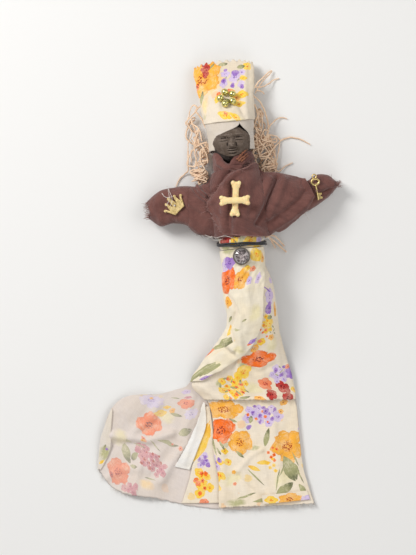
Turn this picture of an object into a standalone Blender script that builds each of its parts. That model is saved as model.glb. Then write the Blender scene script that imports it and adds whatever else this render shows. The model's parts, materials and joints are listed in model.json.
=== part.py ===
"""Cloth doll on a cross of two sticks, lying on its back.

Metres, +Z up. +Y runs along the spine stick from the hem to the head, +X is the
doll's left hand as it faces up, and the table is Z = 0. Pieces are modelled round
the waist, with the spine stick on X = 0, and then hung on one empty that brings
the middle of the whole doll over the origin.
"""

import math

import bmesh
import bpy
from mathutils import Matrix, Vector

# Cloth and clearances
CLOTH = 0.0009
CLOTH_GAP = 0.0005
SHAWL_SLACK = 0.0008
BODY_BLEND = 0.0040
FIT_GAP = 0.0003
LAYER = CLOTH + CLOTH_GAP
CUT_OVERRUN = 0.004

# Sticks and their lashing
SPINE_STICK_RADIUS = 0.0030
SPINE_STICK_FOOT = 0.084
ARM_STICK_RADIUS = 0.0025
ARM_STICK_Y = 0.042
ARM_STICK_LEFT = 0.066
ARM_STICK_RIGHT = 0.078
LASHING_RADIUS = 0.0006
LASHING_TURNS = 3
LASHING_PITCH = 0.0019

# Waist, belt and the cloth gathered under it
WAIST_RADIUS = 0.0202
WAIST_LIFT = 0.0030
BAND_TOP = 0.0095
BAND_FOOT = 0.0030
BAND_SEAT_RADIUS = 0.0205
BAND_GROOVE_RADIUS = 0.0194
BAND_FRILL_RADIUS = 0.0212
BAND_WALL = 0.0016
BAND_GATHER = 0.0005
BAND_GATHERS = 12
BELT_RADIUS = 0.0008
BELT_PITCH = 0.0026
BELT_FRONT_Y = -0.0008
BELT_KNOT_ANGLE = 250.0
BELT_TURNS = 2
BELT_KNOT_SIZE = (0.0048, 0.0072, 0.0038)

# Gem pendant on the belt
GEM_ANGLE = -3.7
GEM_RING_RADIUS = 0.00145
GEM_RING_WIRE = 0.00035
GEM_DROP = 0.0093
BEZEL_RADIUS = 0.0076
BEZEL_WALL = 0.0008
BEZEL_HEIGHT = 0.0026
BEZEL_FLOOR = 0.0008
BEZEL_LIFT = 0.0004
CRYSTAL_HEIGHT = 0.0034
CRYSTAL_TABLE_SHARE = 0.55
CRYSTAL_GIRDLE_SHARE = 0.55
CRYSTAL_FACETS = 16

# Torso, bodice and arms
TORSO_WIDTH = 0.044
TORSO_DEPTH = 0.0405
BODICE_FOOT = 0.0105
BODICE_TOP = 0.0665
HUSK_SLACK = 0.0008
HUSK_TAPER = 0.0045
ARM_LEFT = 0.079
ARM_RIGHT = 0.089
SLEEVE_LENGTH_Y = 0.062
SLEEVE_HEIGHT = 0.0330
SLEEVE_RISE = 0.00145
ARM_HUSK_RADIUS = 0.0075
ARM_HUSK_SHARE = 0.8

# Neck and head
NECK_FOOT = 0.0672
NECK_TOP = 0.0830
NECK_RADIUS = 0.0195
NECK_BORE = 0.0050
NECK_DIP_SHARE = 0.28
HEAD_Y = 0.0930
HEAD_RADIUS = 0.0193
HEAD_SOCKET = 0.016
FACE_WIDTH = 0.0320
FACE_LENGTH = 0.0245
FACE_Y = 0.0930
FACE_DEPTH = 0.0026
NOSE_HEIGHT = 0.0034
NOSE_WIDTH = 0.0026
NOSE_LENGTH = 0.0075
BROW_DEPTH = 0.0011
LIP_DEPTH = 0.0008
LIP_LENGTH = 0.0016

# Hat
HAT_FOOT = 0.1110
HAT_TOP = 0.1665
HAT_WIDTH = 0.0545
HAT_TOOTH = 0.0022
HAT_CORNER_DROP = 0.0040
HAT_THICKNESS = 0.0440
LINING_FOOT = 0.0850
LINING_TOP = 0.1180
LINING_SPREAD = 0.0060
STUFFING_TOP = 0.1500
BEAD_RADIUS = 0.0030
BEAD_BORE = 0.0006
BEAD_RING = 0.0059
BEAD_FIRST_ANGLE = 104.0
BEAD_FLOWER = (0.0001, 0.1299)

# Bone cross, crown and key
BONE_THICKNESS = 0.0044
BONE_UPRIGHT_LENGTH = 0.0318
BONE_CROSS_LENGTH = 0.0272
BONE_SHAFT = 0.0060
BONE_KNOB_RADIUS = 0.0023
BONE_UPRIGHT_SPOT = (-0.0017, 0.0414)
BONE_UPRIGHT_TURN = -8.1
BONE_CROSS_SPOT = (-0.0026, 0.0398)
BONE_CROSS_TURN = 85.8
CROWN_SPOT = (-0.0569, 0.0424)
CROWN_TURN = 38.7
CROWN_LEAN = -14.0
CROWN_BASE = 0.0110
CROWN_SPAN = 0.0215
CROWN_HEIGHT = 0.0150
CROWN_THICKNESS = 0.0016
CROWN_BALL = 0.0013
CROWN_HOLE = 0.0009
CROWN_STITCH = 0.0005
KEY_SPOT = (0.0719, 0.0415)
KEY_TURN = 4.3
KEY_LENGTH = 0.0247
KEY_BOW = (0.0088, 0.0072)
KEY_BOW_SHARE = 0.33
KEY_TIP_SHARE = 0.34
KEY_COLLAR_SHARES = (0.70, 0.49)
KEY_WIRE = 0.0010
KEY_LOOP_RADIUS = 0.0018
KEY_LOOP_WIRE = 0.0007
KEY_SHAFT_RADIUS = 0.0008
KEY_COLLAR_RADIUS = 0.0013
KEY_COLLAR_LENGTH = 0.0012
KEY_BIT = (0.0036, 0.0054, 0.0012)
KEY_NOTCH = (0.0016, 0.0012)
KEY_THREAD_RADIUS = 0.00025

# Skirt and train
SKIRT_LENGTH = 0.240
HEM_WIDTH = 0.092
SKIRT_START = 0.0036
UPPER_LAYER = -1.6
LOWER_LAYER = -3.5
SKIRT_FOLD = 0.0014
SKIRT_FOLDS = 3.5
TRAIN_REACH = 0.149
TRAIN_FOLD = 0.0042
TRAIN_FOLDS = 12
FRAY = 0.0012
PLEAT_WIDTH = 0.0120
WHITE_EDGE_WIDTH = 0.0065
TRAIN_EDGE_WIDTH = 0.0085
FRONT_LOWER_TOP_SHARE = 0.540
FRONT_HEM_SHARE = 0.975
HEM_SLOPE_SHARE = 0.020
TUCK_SHARE = 0.564
TUCK_SLOPE_SHARE = 0.033
WRAP_FOOT_SHARE = 0.492
TURNED_HEM_SHARES = (0.945, 0.962, 0.979)
TURNED_HEM_LAYER = -1.7
SKIRT_HUSK_SIDE = 0.0010
SKIRT_HUSK_SHARE = 0.9

# Hair and raffia
STRAND_RADIUS = 0.0010
HAIR_RISE = 0.0145
HAIR_NEAR = 0.022
HAIR_REACH = 0.026
HANK_Y = 0.081
HANK_LENGTH = 0.034
HANK_WIDTH = 0.0085
HANK_HEIGHT = 0.0120
RAFFIA_ANGLE = 100.0
RAFFIA_ROOT_SHARE = 0.60
RAFFIA_TIP = 0.0030

# Scale and turn of the photograph over the doll
PIXEL = 0.0009
WAIST_PIXEL = (241.7, 245.0)
SPINE_TURN = 5.8

# Skirt outline from the waist down: share of the skirt's length, then the left
# and right sides as shares of the hem, then crest and edge heights as shares of
# the crest at the waist
SKIRT_SHARES = (
    (0.165, -0.234, 0.268, 0.955, 0.47),
    (0.290, -0.224, 0.283, 0.83, 0.33),
    (0.350, -0.326, 0.291, 0.72, 0.235),
    (0.425, -0.505, 0.324, 0.55, 0.17),
    (0.505, -0.652, 0.364, 0.38, 0.12),
    (0.565, -0.545, 0.378, 0.310, 0.095),
    (0.650, -0.511, 0.380, 0.260, 0.088),
    (0.750, -0.538, 0.376, 0.240, 0.085),
    (0.865, -0.511, 0.386, 0.230, 0.085),
    (1.000, -0.545, 0.457, 0.220, 0.085),
)
# Free edge of the overwrap: down share, place across the section from -1 to 1
WRAP_EDGE_SHARES = (
    (0.000, 0.97), (0.073, 0.97), (0.175, 0.58), (0.265, 0.43), (0.330, 0.28), (0.390, 0.08),
    (0.427, -0.17), (0.465, -0.53), (0.495, -0.79),
)
# Left and right edges of the back panel: across share of the train's reach, down share
BACK_LEFT_SHARES = (
    (-0.425, 0.510), (-0.585, 0.527), (-0.770, 0.522), (-0.880, 0.560), (-0.955, 0.655), (-1.0, 0.785),
)
BACK_RIGHT_SHARES = (
    (0.225, 0.510), (0.235, 0.580), (0.236, 0.680), (0.234, 0.780), (0.240, 0.880), (0.282, 0.990),
)
BACK_HEM_SHARES = (
    (-0.935, 0.855), (-0.834, 0.892), (-0.683, 0.914), (-0.478, 0.957), (-0.212, 0.990), (0.011, 0.990),
)
STRIP_SHARES = ((-0.328, 0.585), (-0.352, 0.655), (-0.425, 0.735), (-0.500, 0.805))
PLEAT_SHARES = ((-0.335, 0.640), (-0.375, 0.700), (-0.390, 0.780), (-0.365, 0.860))
TURNED_EDGE_SHARES = ((-0.885, 0.572), (-0.955, 0.670), (-0.985, 0.775))

# Sections of the torso: share of the bodice, half width and height shares
TORSO_SHARES = (
    (0.00, 0.96, 1.00), (0.25, 0.99, 1.01), (0.55, 1.00, 1.02), (0.82, 0.94, 0.98), (1.00, 0.80, 0.86),
)
# Sleeves along the arm: share of the reach, near and far edge, crest share
LEFT_SLEEVE_SHARES = (
    (0.00, 0.16, 0.93, 1.00), (0.25, 0.24, 0.91, 0.95), (0.45, 0.37, 0.93, 0.88), (0.65, 0.42, 0.92, 0.78),
    (0.85, 0.40, 0.88, 0.68), (1.00, 0.50, 0.78, 0.60),
)
RIGHT_SLEEVE_SHARES = (
    (0.00, 0.13, 1.00, 1.02), (0.20, 0.18, 0.96, 0.96), (0.40, 0.31, 0.90, 0.86), (0.60, 0.40, 0.82, 0.76),
    (0.78, 0.50, 0.90, 0.68), (0.92, 0.60, 0.88, 0.60), (1.00, 0.68, 0.80, 0.56),
)
# Half width and half depth of the hat's cloth along its length, as shares
HAT_SHARES = (
    (0.00, 0.84, 0.90), (0.18, 0.86, 0.72), (0.36, 0.88, 0.48), (0.62, 0.94, 0.27), (0.86, 0.99, 0.16),
    (1.00, 0.97, 0.13),
)
# Face opening of the lining: share of its length, left and right half angles
LINING_SHARES = (
    (0.00, 62.0, 62.0), (0.26, 61.0, 63.0), (0.38, 56.0, 62.0), (0.48, 40.0, 52.0), (0.56, 24.0, 40.0),
    (0.64, 7.0, 32.0), (0.72, 2.0, 16.0), (0.80, 1.5, 2.0), (1.00, 1.5, 1.5),
)
FACE_RIM_SHARES = (
    1.01, 1.06, 1.03, 1.12, 0.98, 0.90, 0.88, 0.96, 1.01, 1.00, 1.00, 1.03, 1.06, 1.09, 1.12, 1.05,
)

RIGHT_STRANDS = (
    ((254, 96), (263, 106), (268, 122), (268, 140), (276, 158), (275, 174)),
    ((255, 104), (259, 120), (266, 138), (268, 152)),
    ((266, 146), (269, 127), (277, 118), (287, 118)),
    ((264, 150), (270, 135), (280, 139), (277, 160)),
    ((266, 156), (280, 141), (292, 136), (311, 144)),
    ((262, 110), (261, 90), (270, 82), (280, 77)),
    ((262, 110), (257, 88), (264, 76), (272, 70)),
    ((268, 166), (278, 171), (293, 162)),
)
LEFT_STRANDS = (
    ((197, 128), (190, 112), (188, 124), (191, 140), (187, 168)),
    ((202, 108), (194, 111), (188, 124)),
    ((196, 132), (201, 142), (208, 163), (194, 166)),
    ((202, 150), (189, 161), (183, 176), (179, 182)),
)
RAFFIA_STRANDS = (
    ((271, 240), (276, 248)),
    ((275, 236), (285, 246)),
    ((273, 240), (287, 252)),
)


def spine_z():
    """Height of the spine stick's axis over the table."""
    return WAIST_RADIUS + WAIST_LIFT


def spot(pixel):
    """Place on the doll, from the waist, of a point of the photograph."""
    across = (pixel[0] - WAIST_PIXEL[0]) * PIXEL
    up = (WAIST_PIXEL[1] - pixel[1]) * PIXEL
    turn = math.radians(SPINE_TURN)
    return Vector((across * math.cos(turn) + up * math.sin(turn),
                   up * math.cos(turn) - across * math.sin(turn)))


def read_table(rows, share):
    """Smooth reading of a table whose first column rises."""
    last = len(rows) - 1
    if share <= rows[0][0]:
        return rows[0][1:]
    if share >= rows[last][0]:
        return rows[last][1:]
    here = max(index for index in range(last) if rows[index][0] <= share)
    before, after = max(here - 1, 0), min(here + 2, last)
    span = rows[here + 1][0] - rows[here][0]
    t = (share - rows[here][0]) / span
    values = []
    for column in range(1, len(rows[0])):
        p0, p1 = rows[here][column], rows[here + 1][column]
        m0 = (p1 - rows[before][column]) / (rows[here + 1][0] - rows[before][0]) * span
        m1 = (rows[after][column] - p0) / (rows[after][0] - rows[here][0]) * span
        values.append((2 * t**3 - 3 * t**2 + 1) * p0 + (t**3 - 2 * t**2 + t) * m0
                      + (3 * t**2 - 2 * t**3) * p1 + (t**3 - t**2) * m1)
    return tuple(values)


def along(points, share):
    """Point at a share of a chain of places, smooth through each of them."""
    last = len(points) - 1
    rows = [(index / last, *point) for index, point in enumerate(points)]
    return Vector(read_table(rows, share))


def ease(share):
    """Smooth step from 0 to 1."""
    share = min(max(share, 0.0), 1.0)
    return share * share * (3 - 2 * share)


def finish(name, colour, roughness, metallic=0.0):
    """Plain surface of one piece."""
    material = bpy.data.materials.new(name)
    material.use_nodes = True
    shader = material.node_tree.nodes["Principled BSDF"]
    shader.inputs["Base Color"].default_value = (*colour, 1.0)
    shader.inputs["Roughness"].default_value = roughness
    shader.inputs["Metallic"].default_value = metallic
    return material


def add_piece(name, mesh, surface, smooth=True):
    """Named object with its own material, in the doll's collection."""
    piece = bpy.data.objects.new(name, mesh)
    bpy.data.collections["cloth_doll"].objects.link(piece)
    piece.data.materials.clear()
    piece.data.materials.append(finish(name + "_finish", *surface))
    if smooth and hasattr(mesh, "shade_smooth"):
        mesh.shade_smooth()
        mesh.set_sharp_from_angle(angle=math.radians(40))
    return piece


def mesh_from_rings(name, rings, close_round=True, cap=True, close_along=False):
    """Skin between rings of points."""
    bm = bmesh.new()
    loops = [[bm.verts.new(point) for point in ring] for ring in rings]
    count = len(loops[0])
    steps = len(loops) if close_along else len(loops) - 1
    for row in range(steps):
        lower, upper = loops[row], loops[(row + 1) % len(loops)]
        for index in range(count if close_round else count - 1):
            after = (index + 1) % count
            bm.faces.new((lower[index], lower[after], upper[after], upper[index]))
    if cap and not close_along:
        bm.faces.new(loops[0][::-1])
        bm.faces.new(loops[-1])
    bmesh.ops.recalc_face_normals(bm, faces=bm.faces)
    mesh = bpy.data.meshes.new(name)
    bm.to_mesh(mesh)
    bm.free()
    return mesh


def cloth(name, rings, surface, close_round=False, wall=CLOTH):
    """Sheet of cloth on a grid of points, with its thickness halved each way."""
    piece = add_piece(name, mesh_from_rings(name, rings, close_round, cap=False), surface)
    solid = piece.modifiers.new("wall", "SOLIDIFY")
    solid.thickness = wall
    solid.offset = 0.0
    solid.use_even_offset = True
    return piece


def tube(name, points, radius, surface, closed=False, sides=2):
    """Cord or wire through a list of points."""
    curve = bpy.data.curves.new(name, "CURVE")
    curve.dimensions = "3D"
    curve.bevel_depth = radius
    curve.bevel_resolution = sides
    curve.use_fill_caps = not closed
    spline = curve.splines.new("POLY")
    spline.points.add(len(points) - 1)
    for point, place in zip(spline.points, points):
        point.co = (*place, 1.0)
    spline.use_cyclic_u = closed
    return add_piece(name, curve, surface, smooth=False)


def outline(name, loops, thickness, bevel, surface):
    """Flat plate cut to closed outlines, with rounded edges."""
    curve = bpy.data.curves.new(name, "CURVE")
    curve.dimensions = "2D"
    curve.fill_mode = "BOTH"
    curve.extrude = thickness / 2 - bevel
    curve.bevel_depth = bevel
    curve.bevel_resolution = 1
    curve.offset = -bevel
    for loop in loops:
        spline = curve.splines.new("POLY")
        spline.points.add(len(loop) - 1)
        for point, place in zip(spline.points, loop):
            point.co = (place[0], place[1], 0.0, 1.0)
        spline.use_cyclic_u = True
    return add_piece(name, curve, surface, smooth=False)


def as_mesh(piece):
    """Turn a piece and its modifiers into one welded mesh."""
    graph = bpy.context.evaluated_depsgraph_get()
    mesh = bpy.data.meshes.new_from_object(piece.evaluated_get(graph))
    bm = bmesh.new()
    bm.from_mesh(mesh)
    bmesh.ops.remove_doubles(bm, verts=bm.verts, dist=CLOTH / 100)
    bmesh.ops.recalc_face_normals(bm, faces=bm.faces)
    bm.to_mesh(mesh)
    bm.free()
    name, place = piece.name, piece.matrix_world.copy()
    surface = piece.active_material
    bpy.data.objects.remove(piece)
    solid = bpy.data.objects.new(name, mesh)
    solid.name = name
    solid.matrix_world = place
    mesh.materials.clear()
    mesh.materials.append(surface)
    bpy.data.collections["cloth_doll"].objects.link(solid)
    return solid


def combine(piece, other, operation):
    """Cut or join a mesh piece with another, which becomes a guide."""
    other.hide_render = True
    other.display_type = "WIRE"
    bpy.data.collections["cloth_doll"].objects.unlink(other)
    bpy.data.collections["cutters"].objects.link(other)
    change = piece.modifiers.new(operation.lower(), "BOOLEAN")
    change.operation = operation
    change.object = other
    change.solver = "EXACT"
    return piece


def rod(name, start, end, radius, surface, sides=12):
    """Round rod between two points."""
    bm = bmesh.new()
    axis = Vector(end) - Vector(start)
    bmesh.ops.create_cone(bm, cap_ends=True, segments=sides, radius1=radius, radius2=radius,
                          depth=axis.length)
    turn = Vector((0, 0, 1)).rotation_difference(axis).to_matrix().to_4x4()
    middle = (Vector(start) + Vector(end)) / 2
    bmesh.ops.transform(bm, matrix=Matrix.Translation(middle) @ turn, verts=bm.verts)
    mesh = bpy.data.meshes.new(name)
    bm.to_mesh(mesh)
    bm.free()
    return add_piece(name, mesh, surface)


def ball(name, centre, size, surface, columns=16, rows=10):
    """Ellipsoid of three full sizes round a centre."""
    bm = bmesh.new()
    bmesh.ops.create_uvsphere(bm, u_segments=columns, v_segments=rows, radius=0.5)
    bmesh.ops.transform(bm, matrix=Matrix.Translation(centre) @ Matrix.Diagonal((*size, 1.0)),
                        verts=bm.verts)
    mesh = bpy.data.meshes.new(name)
    bm.to_mesh(mesh)
    bm.free()
    return add_piece(name, mesh, surface)


def block(name, centre, size, surface):
    """Box of three full sizes round a centre."""
    bm = bmesh.new()
    bmesh.ops.create_cube(bm, size=1.0)
    bmesh.ops.transform(bm, matrix=Matrix.Translation(centre) @ Matrix.Diagonal((*size, 1.0)),
                        verts=bm.verts)
    mesh = bpy.data.meshes.new(name)
    bm.to_mesh(mesh)
    bm.free()
    return add_piece(name, mesh, surface, smooth=False)


def turned(name, profile, surface, steps=24):
    """Shape turned about +Z from a profile of radius and height, top to bottom outside."""
    mesh = bpy.data.meshes.new(name)
    points = [(radius, 0.0, height) for radius, height in profile]
    count = len(points)
    mesh.from_pydata(points, [(index, (index + 1) % count) for index in range(count)], [])
    piece = add_piece(name, mesh, surface, smooth=False)
    screw = piece.modifiers.new("turn", "SCREW")
    screw.axis = "Z"
    screw.steps = steps
    screw.render_steps = steps
    screw.use_merge_vertices = True
    screw.merge_threshold = CLOTH / 100
    return piece


STICK = ((0.42, 0.30, 0.17), 0.7)
HUSK = ((0.80, 0.70, 0.48), 0.85)
PRINT = ((0.86, 0.76, 0.62), 0.9)
CREAM = ((0.84, 0.76, 0.64), 0.9)
BROWN = ((0.19, 0.08, 0.07), 0.95)
CLAY = ((0.10, 0.08, 0.06), 0.8)
STRAW = ((0.78, 0.50, 0.30), 0.85)
BONE = ((0.93, 0.76, 0.36), 0.4)
GOLD = ((0.72, 0.58, 0.16), 0.35, 1.0)
BLACK = ((0.02, 0.02, 0.02), 0.7)
SILVER = ((0.35, 0.36, 0.38), 0.3, 1.0)
CLEAR = ((0.75, 0.80, 0.85), 0.05)
THREAD = ((0.85, 0.83, 0.78), 0.9)
WOOL = ((0.80, 0.77, 0.70), 0.95)


def around(angle, radius, along_y):
    """Point round the spine stick; 0 degrees faces up and 90 faces +X."""
    turn = math.radians(angle)
    return Vector((radius * math.sin(turn), along_y, spine_z() + radius * math.cos(turn)))


def skirt_section(share, layer=UPPER_LAYER):
    """Middle, half width, crest and edge height of one layer of the skirt."""
    top = spine_z() + WAIST_RADIUS
    side = WAIST_RADIUS / HEM_WIDTH
    rows = ((0.0, -side, side, 1.0, spine_z() / top), (0.09, -side, side, 1.0, spine_z() / top))
    left, right, crest, edge = read_table(rows + SKIRT_SHARES, share)
    inward = layer * LAYER - CLOTH / 2
    half = (right - left) / 2 * HEM_WIDTH + inward
    return (left + right) / 2 * HEM_WIDTH, half, crest * top + inward, edge * top


def skirt_point(place, share, layer):
    """Point on the front of the skirt; place runs from -1 at the left to 1."""
    middle, half, crest, edge = skirt_section(share, layer)
    rise = math.sqrt(max(0.0, 1.0 - place * place))
    x = middle + half * place
    fold = 0.5 - 0.5 * math.cos(2 * math.pi * SKIRT_FOLDS * x / HEM_WIDTH)
    lift = SKIRT_FOLD * ease((share - 0.12) / 0.3) * fold * rise
    return Vector((x, -share * SKIRT_LENGTH, edge + (crest - edge) * rise + lift))


def across(index, count, end=1.0):
    """Places from -1 to an end, closer together towards the sides."""
    last = math.acos(-end)
    return -math.cos(last * index / count)


def skirt_front(name, layer, top, foot, right, surface, rows=10, columns=16):
    """Front cloth of the skirt between two shares of its length."""
    rings = []
    for row in range(rows + 1):
        ring = []
        for column in range(columns + 1):
            side = (1 + across(column, columns)) / 2
            share = top + (foot(side, column) - top) * row / rows
            place = across(column, columns, right(share))
            ring.append(skirt_point(place, share, layer))
        rings.append(ring)
    return cloth(name, rings, surface)


def front_hem(side, column):
    """Share of the skirt's length at the frayed hem; side runs from 0 at the left to 1."""
    return FRONT_HEM_SHARE + HEM_SLOPE_SHARE * side + (FRAY / SKIRT_LENGTH if column % 2 else 0.0)


def tuck_line(side, column):
    """Share of the skirt's length where the upper front ends over the lower one."""
    return TUCK_SHARE + TUCK_SLOPE_SHARE * side


def wrap_foot(side, column):
    """Share of the skirt's length where the overwrap ends."""
    return WRAP_FOOT_SHARE


def full_width(share):
    """Place of the right edge of a cloth that covers the whole front."""
    return 1.0


def train_lift(x, y):
    """Folds of the train over the table, left of the front cloth."""
    fade = ease((-x / TRAIN_REACH - 0.50) / 0.22)
    angle = math.atan2(-y / SKIRT_LENGTH - 0.40, -x / TRAIN_REACH - 0.22)
    return TRAIN_FOLD * fade * (0.5 - 0.5 * math.cos(TRAIN_FOLDS * angle))


def back_point(place, share):
    """Point on the back cloth of the skirt where it still rounds the husk."""
    middle, half, crest, edge = skirt_section(share)
    waist_rest = spine_z() - skirt_section(0.0)[1]
    rest = CLOTH / 2 + (waist_rest - CLOTH / 2) * (1 - ease(share / 0.27))
    rise = math.sqrt(max(0.0, 1.0 - place * place))
    rim = (edge - CLOTH_GAP - rest) * (1 - ease((share - 0.36) / 0.12))
    return Vector((middle + half * place, -share * SKIRT_LENGTH, rest + rim * (1 - rise)))


def train_point(side, down):
    """Point on the flat part of the back panel and its train."""
    left, right = along(BACK_LEFT_SHARES, down), along(BACK_RIGHT_SHARES, down)
    last_left, last_right = Vector(BACK_LEFT_SHARES[-1]), Vector(BACK_RIGHT_SHARES[-1])
    hem = along((BACK_LEFT_SHARES[-1], *BACK_HEM_SHARES, BACK_RIGHT_SHARES[-1]), side)
    bulge = hem - last_left.lerp(last_right, side)
    flat = left.lerp(right, side) + bulge * down**2
    x, y = flat[0] * TRAIN_REACH, -flat[1] * SKIRT_LENGTH
    return Vector((x, y, CLOTH / 2 + train_lift(x, y)))


def make_back_panel():
    """Back of the skirt and the long train beside the legs."""
    columns, rounds, flats = 20, 8, 8
    start = SKIRT_START / SKIRT_LENGTH
    rings = []
    for row in range(rounds + 1):
        share = start + (0.48 - start) * row / rounds
        rings.append([back_point(across(column, columns), share) for column in range(columns + 1)])
    for row in range(flats + 1):
        rings.append([train_point((1 + across(column, columns)) / 2, row / flats)
                      for column in range(columns + 1)])
    return cloth("back_panel", rings, PRINT)


def wrap_edge(share):
    """Place of the overwrap's free edge at a share of the skirt's length."""
    return read_table(WRAP_EDGE_SHARES, share)[0]


def strip(name, shares, width, layer, surface, turn=0.0):
    """Narrow turned edge of cloth along a chain of places on the train."""
    rings = []
    steps = 8
    for step in range(steps + 1):
        middle = along(shares, step / steps)
        x, y = middle[0] * TRAIN_REACH, -middle[1] * SKIRT_LENGTH
        ring = []
        for side in (-0.5, 0.0, 0.5):
            at_x = x + width * side * math.cos(turn)
            at_y = y + width * side * math.sin(turn)
            ring.append(Vector((at_x, at_y, CLOTH / 2 + layer * LAYER + train_lift(at_x, at_y))))
        rings.append(ring)
    return cloth(name, rings, surface)


def make_skirt():
    """Every cloth of the skirt, from the table up."""
    start = SKIRT_START / SKIRT_LENGTH
    make_back_panel()
    strip("pleat_strip", PLEAT_SHARES, PLEAT_WIDTH, 1, PRINT)
    strip("white_edge_strip", STRIP_SHARES, WHITE_EDGE_WIDTH, 2, CREAM)
    strip("turned_train_edge", TURNED_EDGE_SHARES, TRAIN_EDGE_WIDTH, 1, PRINT)
    skirt_front("front_lower", LOWER_LAYER, FRONT_LOWER_TOP_SHARE, front_hem, full_width, PRINT, rows=10)
    skirt_front("front_upper", UPPER_LAYER, start, tuck_line, full_width, PRINT, rows=14)
    skirt_front("overwrap", 0, start, wrap_foot, wrap_edge, CREAM, rows=13, columns=14)
    turned_hem()


def turned_hem():
    """Turned hem on the lower front, at its right corner."""
    rings = []
    for column in range(8, 15):
        place = across(column, 16)
        rings.append([skirt_point(place, share, TURNED_HEM_LAYER) for share in TURNED_HEM_SHARES])
    return cloth("turned_hem", rings, PRINT)


def make_skirt_husk():
    """Husk bundle that fills the top of the skirt, round the spine stick."""
    rings = []
    inset = 2 * LAYER
    for row in range(9):
        share = (SKIRT_START + (SPINE_STICK_FOOT - SKIRT_START) * row / 8) / SKIRT_LENGTH
        middle, half, crest, edge = skirt_section(share)
        half = min(half, WAIST_RADIUS + SKIRT_HUSK_SIDE) - inset
        low = back_point(0.0, share)[2] + inset / 2 + CLOTH_GAP
        high = crest - inset
        ring = []
        for step in range(20):
            angle = 2 * math.pi * step / 20
            z = (low + high) / 2 + (high - low) / 2 * math.sin(angle) * (0.94 if row else 0.98)
            x = middle * (1 - SKIRT_HUSK_SHARE) * 4 + half * SKIRT_HUSK_SHARE * math.cos(angle)
            ring.append(Vector((x, -share * SKIRT_LENGTH, z)))
        rings.append(ring)
    husk = add_piece("skirt_husk", mesh_from_rings("skirt_husk", rings), HUSK)
    return combine(husk, spine_bore("skirt_husk_bore", SKIRT_START, SPINE_STICK_FOOT), "DIFFERENCE")


def spine_bore(name, start, foot):
    """Cutter for the spine stick, running past both ends."""
    return rod(name, (0, -foot - CUT_OVERRUN, spine_z()), (0, -start + CUT_OVERRUN, spine_z()),
               SPINE_STICK_RADIUS + FIT_GAP, STICK)


def make_sticks():
    """Spine stick, arm stick under it, and the cord that lashes them."""
    head = HEAD_Y - HEAD_RADIUS + HEAD_SOCKET - FIT_GAP
    rod("spine_stick", (0, -SPINE_STICK_FOOT, spine_z()), (0, head, spine_z()), SPINE_STICK_RADIUS, STICK)
    rod("arm_stick", (-ARM_STICK_LEFT, ARM_STICK_Y, arm_stick_z()),
        (ARM_STICK_RIGHT, ARM_STICK_Y, arm_stick_z()), ARM_STICK_RADIUS, STICK)
    points = []
    steps = 14 * LASHING_TURNS
    wide = lashing_reach()
    tall = SPINE_STICK_RADIUS + ARM_STICK_RADIUS + LASHING_RADIUS + 3 * FIT_GAP
    middle = (spine_z() + arm_stick_z() + SPINE_STICK_RADIUS - ARM_STICK_RADIUS) / 2
    for step in range(steps + 1):
        turn = 2 * math.pi * step / 14
        out = math.copysign(abs(math.cos(turn)) ** 0.75, math.cos(turn)) * wide
        up = math.copysign(abs(math.sin(turn)) ** 0.75, math.sin(turn)) * tall
        slide = LASHING_PITCH * (step / 14 - LASHING_TURNS / 2)
        points.append(Vector(((out + slide) / math.sqrt(2), ARM_STICK_Y + (out - slide) / math.sqrt(2),
                              middle + up)))
    tube("stick_lashing", points, LASHING_RADIUS, THREAD, sides=1)


def lashing_reach():
    """Half width of the lashing, which clears both sticks over all its turns."""
    half_pitch = LASHING_PITCH * LASHING_TURNS / 2
    return SPINE_STICK_RADIUS * math.sqrt(2) + half_pitch + LASHING_RADIUS + 3 * FIT_GAP


def arm_stick_z():
    """Height of the arm stick, which lies under the spine stick."""
    return spine_z() - SPINE_STICK_RADIUS - FIT_GAP - ARM_STICK_RADIUS


def torso_section(y):
    """Half width, crest and underside of the bodice's cloth at a place along the spine."""
    share = (y - BODICE_FOOT) / (BODICE_TOP - BODICE_FOOT)
    wide, deep = read_table(TORSO_SHARES, min(max(share, 0.0), 1.0))
    return wide * TORSO_WIDTH / 2, spine_z() + deep * TORSO_DEPTH / 2, SLEEVE_RISE + CLOTH / 2


def torso_ring(y, inset, count=20):
    """Closed section of the torso, drawn in by an inset."""
    wide, top, low = torso_section(y)
    ring = []
    for step in range(count):
        angle = 2 * math.pi * step / count
        height = (top - inset if math.sin(angle) > 0 else 2 * spine_z() - low - inset) - spine_z()
        ring.append(Vector(((wide - inset) * math.cos(angle), y, spine_z() + height * math.sin(angle))))
    return ring


def make_torso():
    """Husk bundle of the torso and the bodice cloth round it."""
    length = BODICE_TOP - BODICE_FOOT
    husk_rings = [torso_ring(BODICE_FOOT - BAND_TOP / 2 + (length + BAND_TOP / 4) * row / 8,
                             LAYER + HUSK_SLACK + (HUSK_TAPER if row == 0 else 0.0)) for row in range(9)]
    husk = add_piece("torso_husk", mesh_from_rings("torso_husk", husk_rings), HUSK)
    combine(husk, spine_bore("torso_spine_bore", BODICE_TOP, -BODICE_TOP * 1.3), "DIFFERENCE")
    combine(husk, arm_bore("torso_arm_bore", TORSO_WIDTH), "DIFFERENCE")
    room = lashing_reach() + 4 * LASHING_RADIUS
    middle = (0, ARM_STICK_Y, (spine_z() + arm_stick_z()) / 2)
    combine(husk, ball("lashing_room", middle, (2 * room,) * 3, HUSK, 10, 6), "DIFFERENCE")
    rings = [torso_ring(BODICE_FOOT + length * row / 8, 0.0) for row in range(9)]
    bodice = cloth("bodice", rings, BROWN, close_round=True)
    return combine(bodice, arm_bore("bodice_arm_bore", TORSO_WIDTH), "DIFFERENCE")


def arm_bore(name, reach):
    """Cutter for the arm stick through the torso."""
    return rod(name, (-reach, ARM_STICK_Y, arm_stick_z()), (reach, ARM_STICK_Y, arm_stick_z()),
               ARM_STICK_RADIUS + FIT_GAP, STICK)


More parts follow.
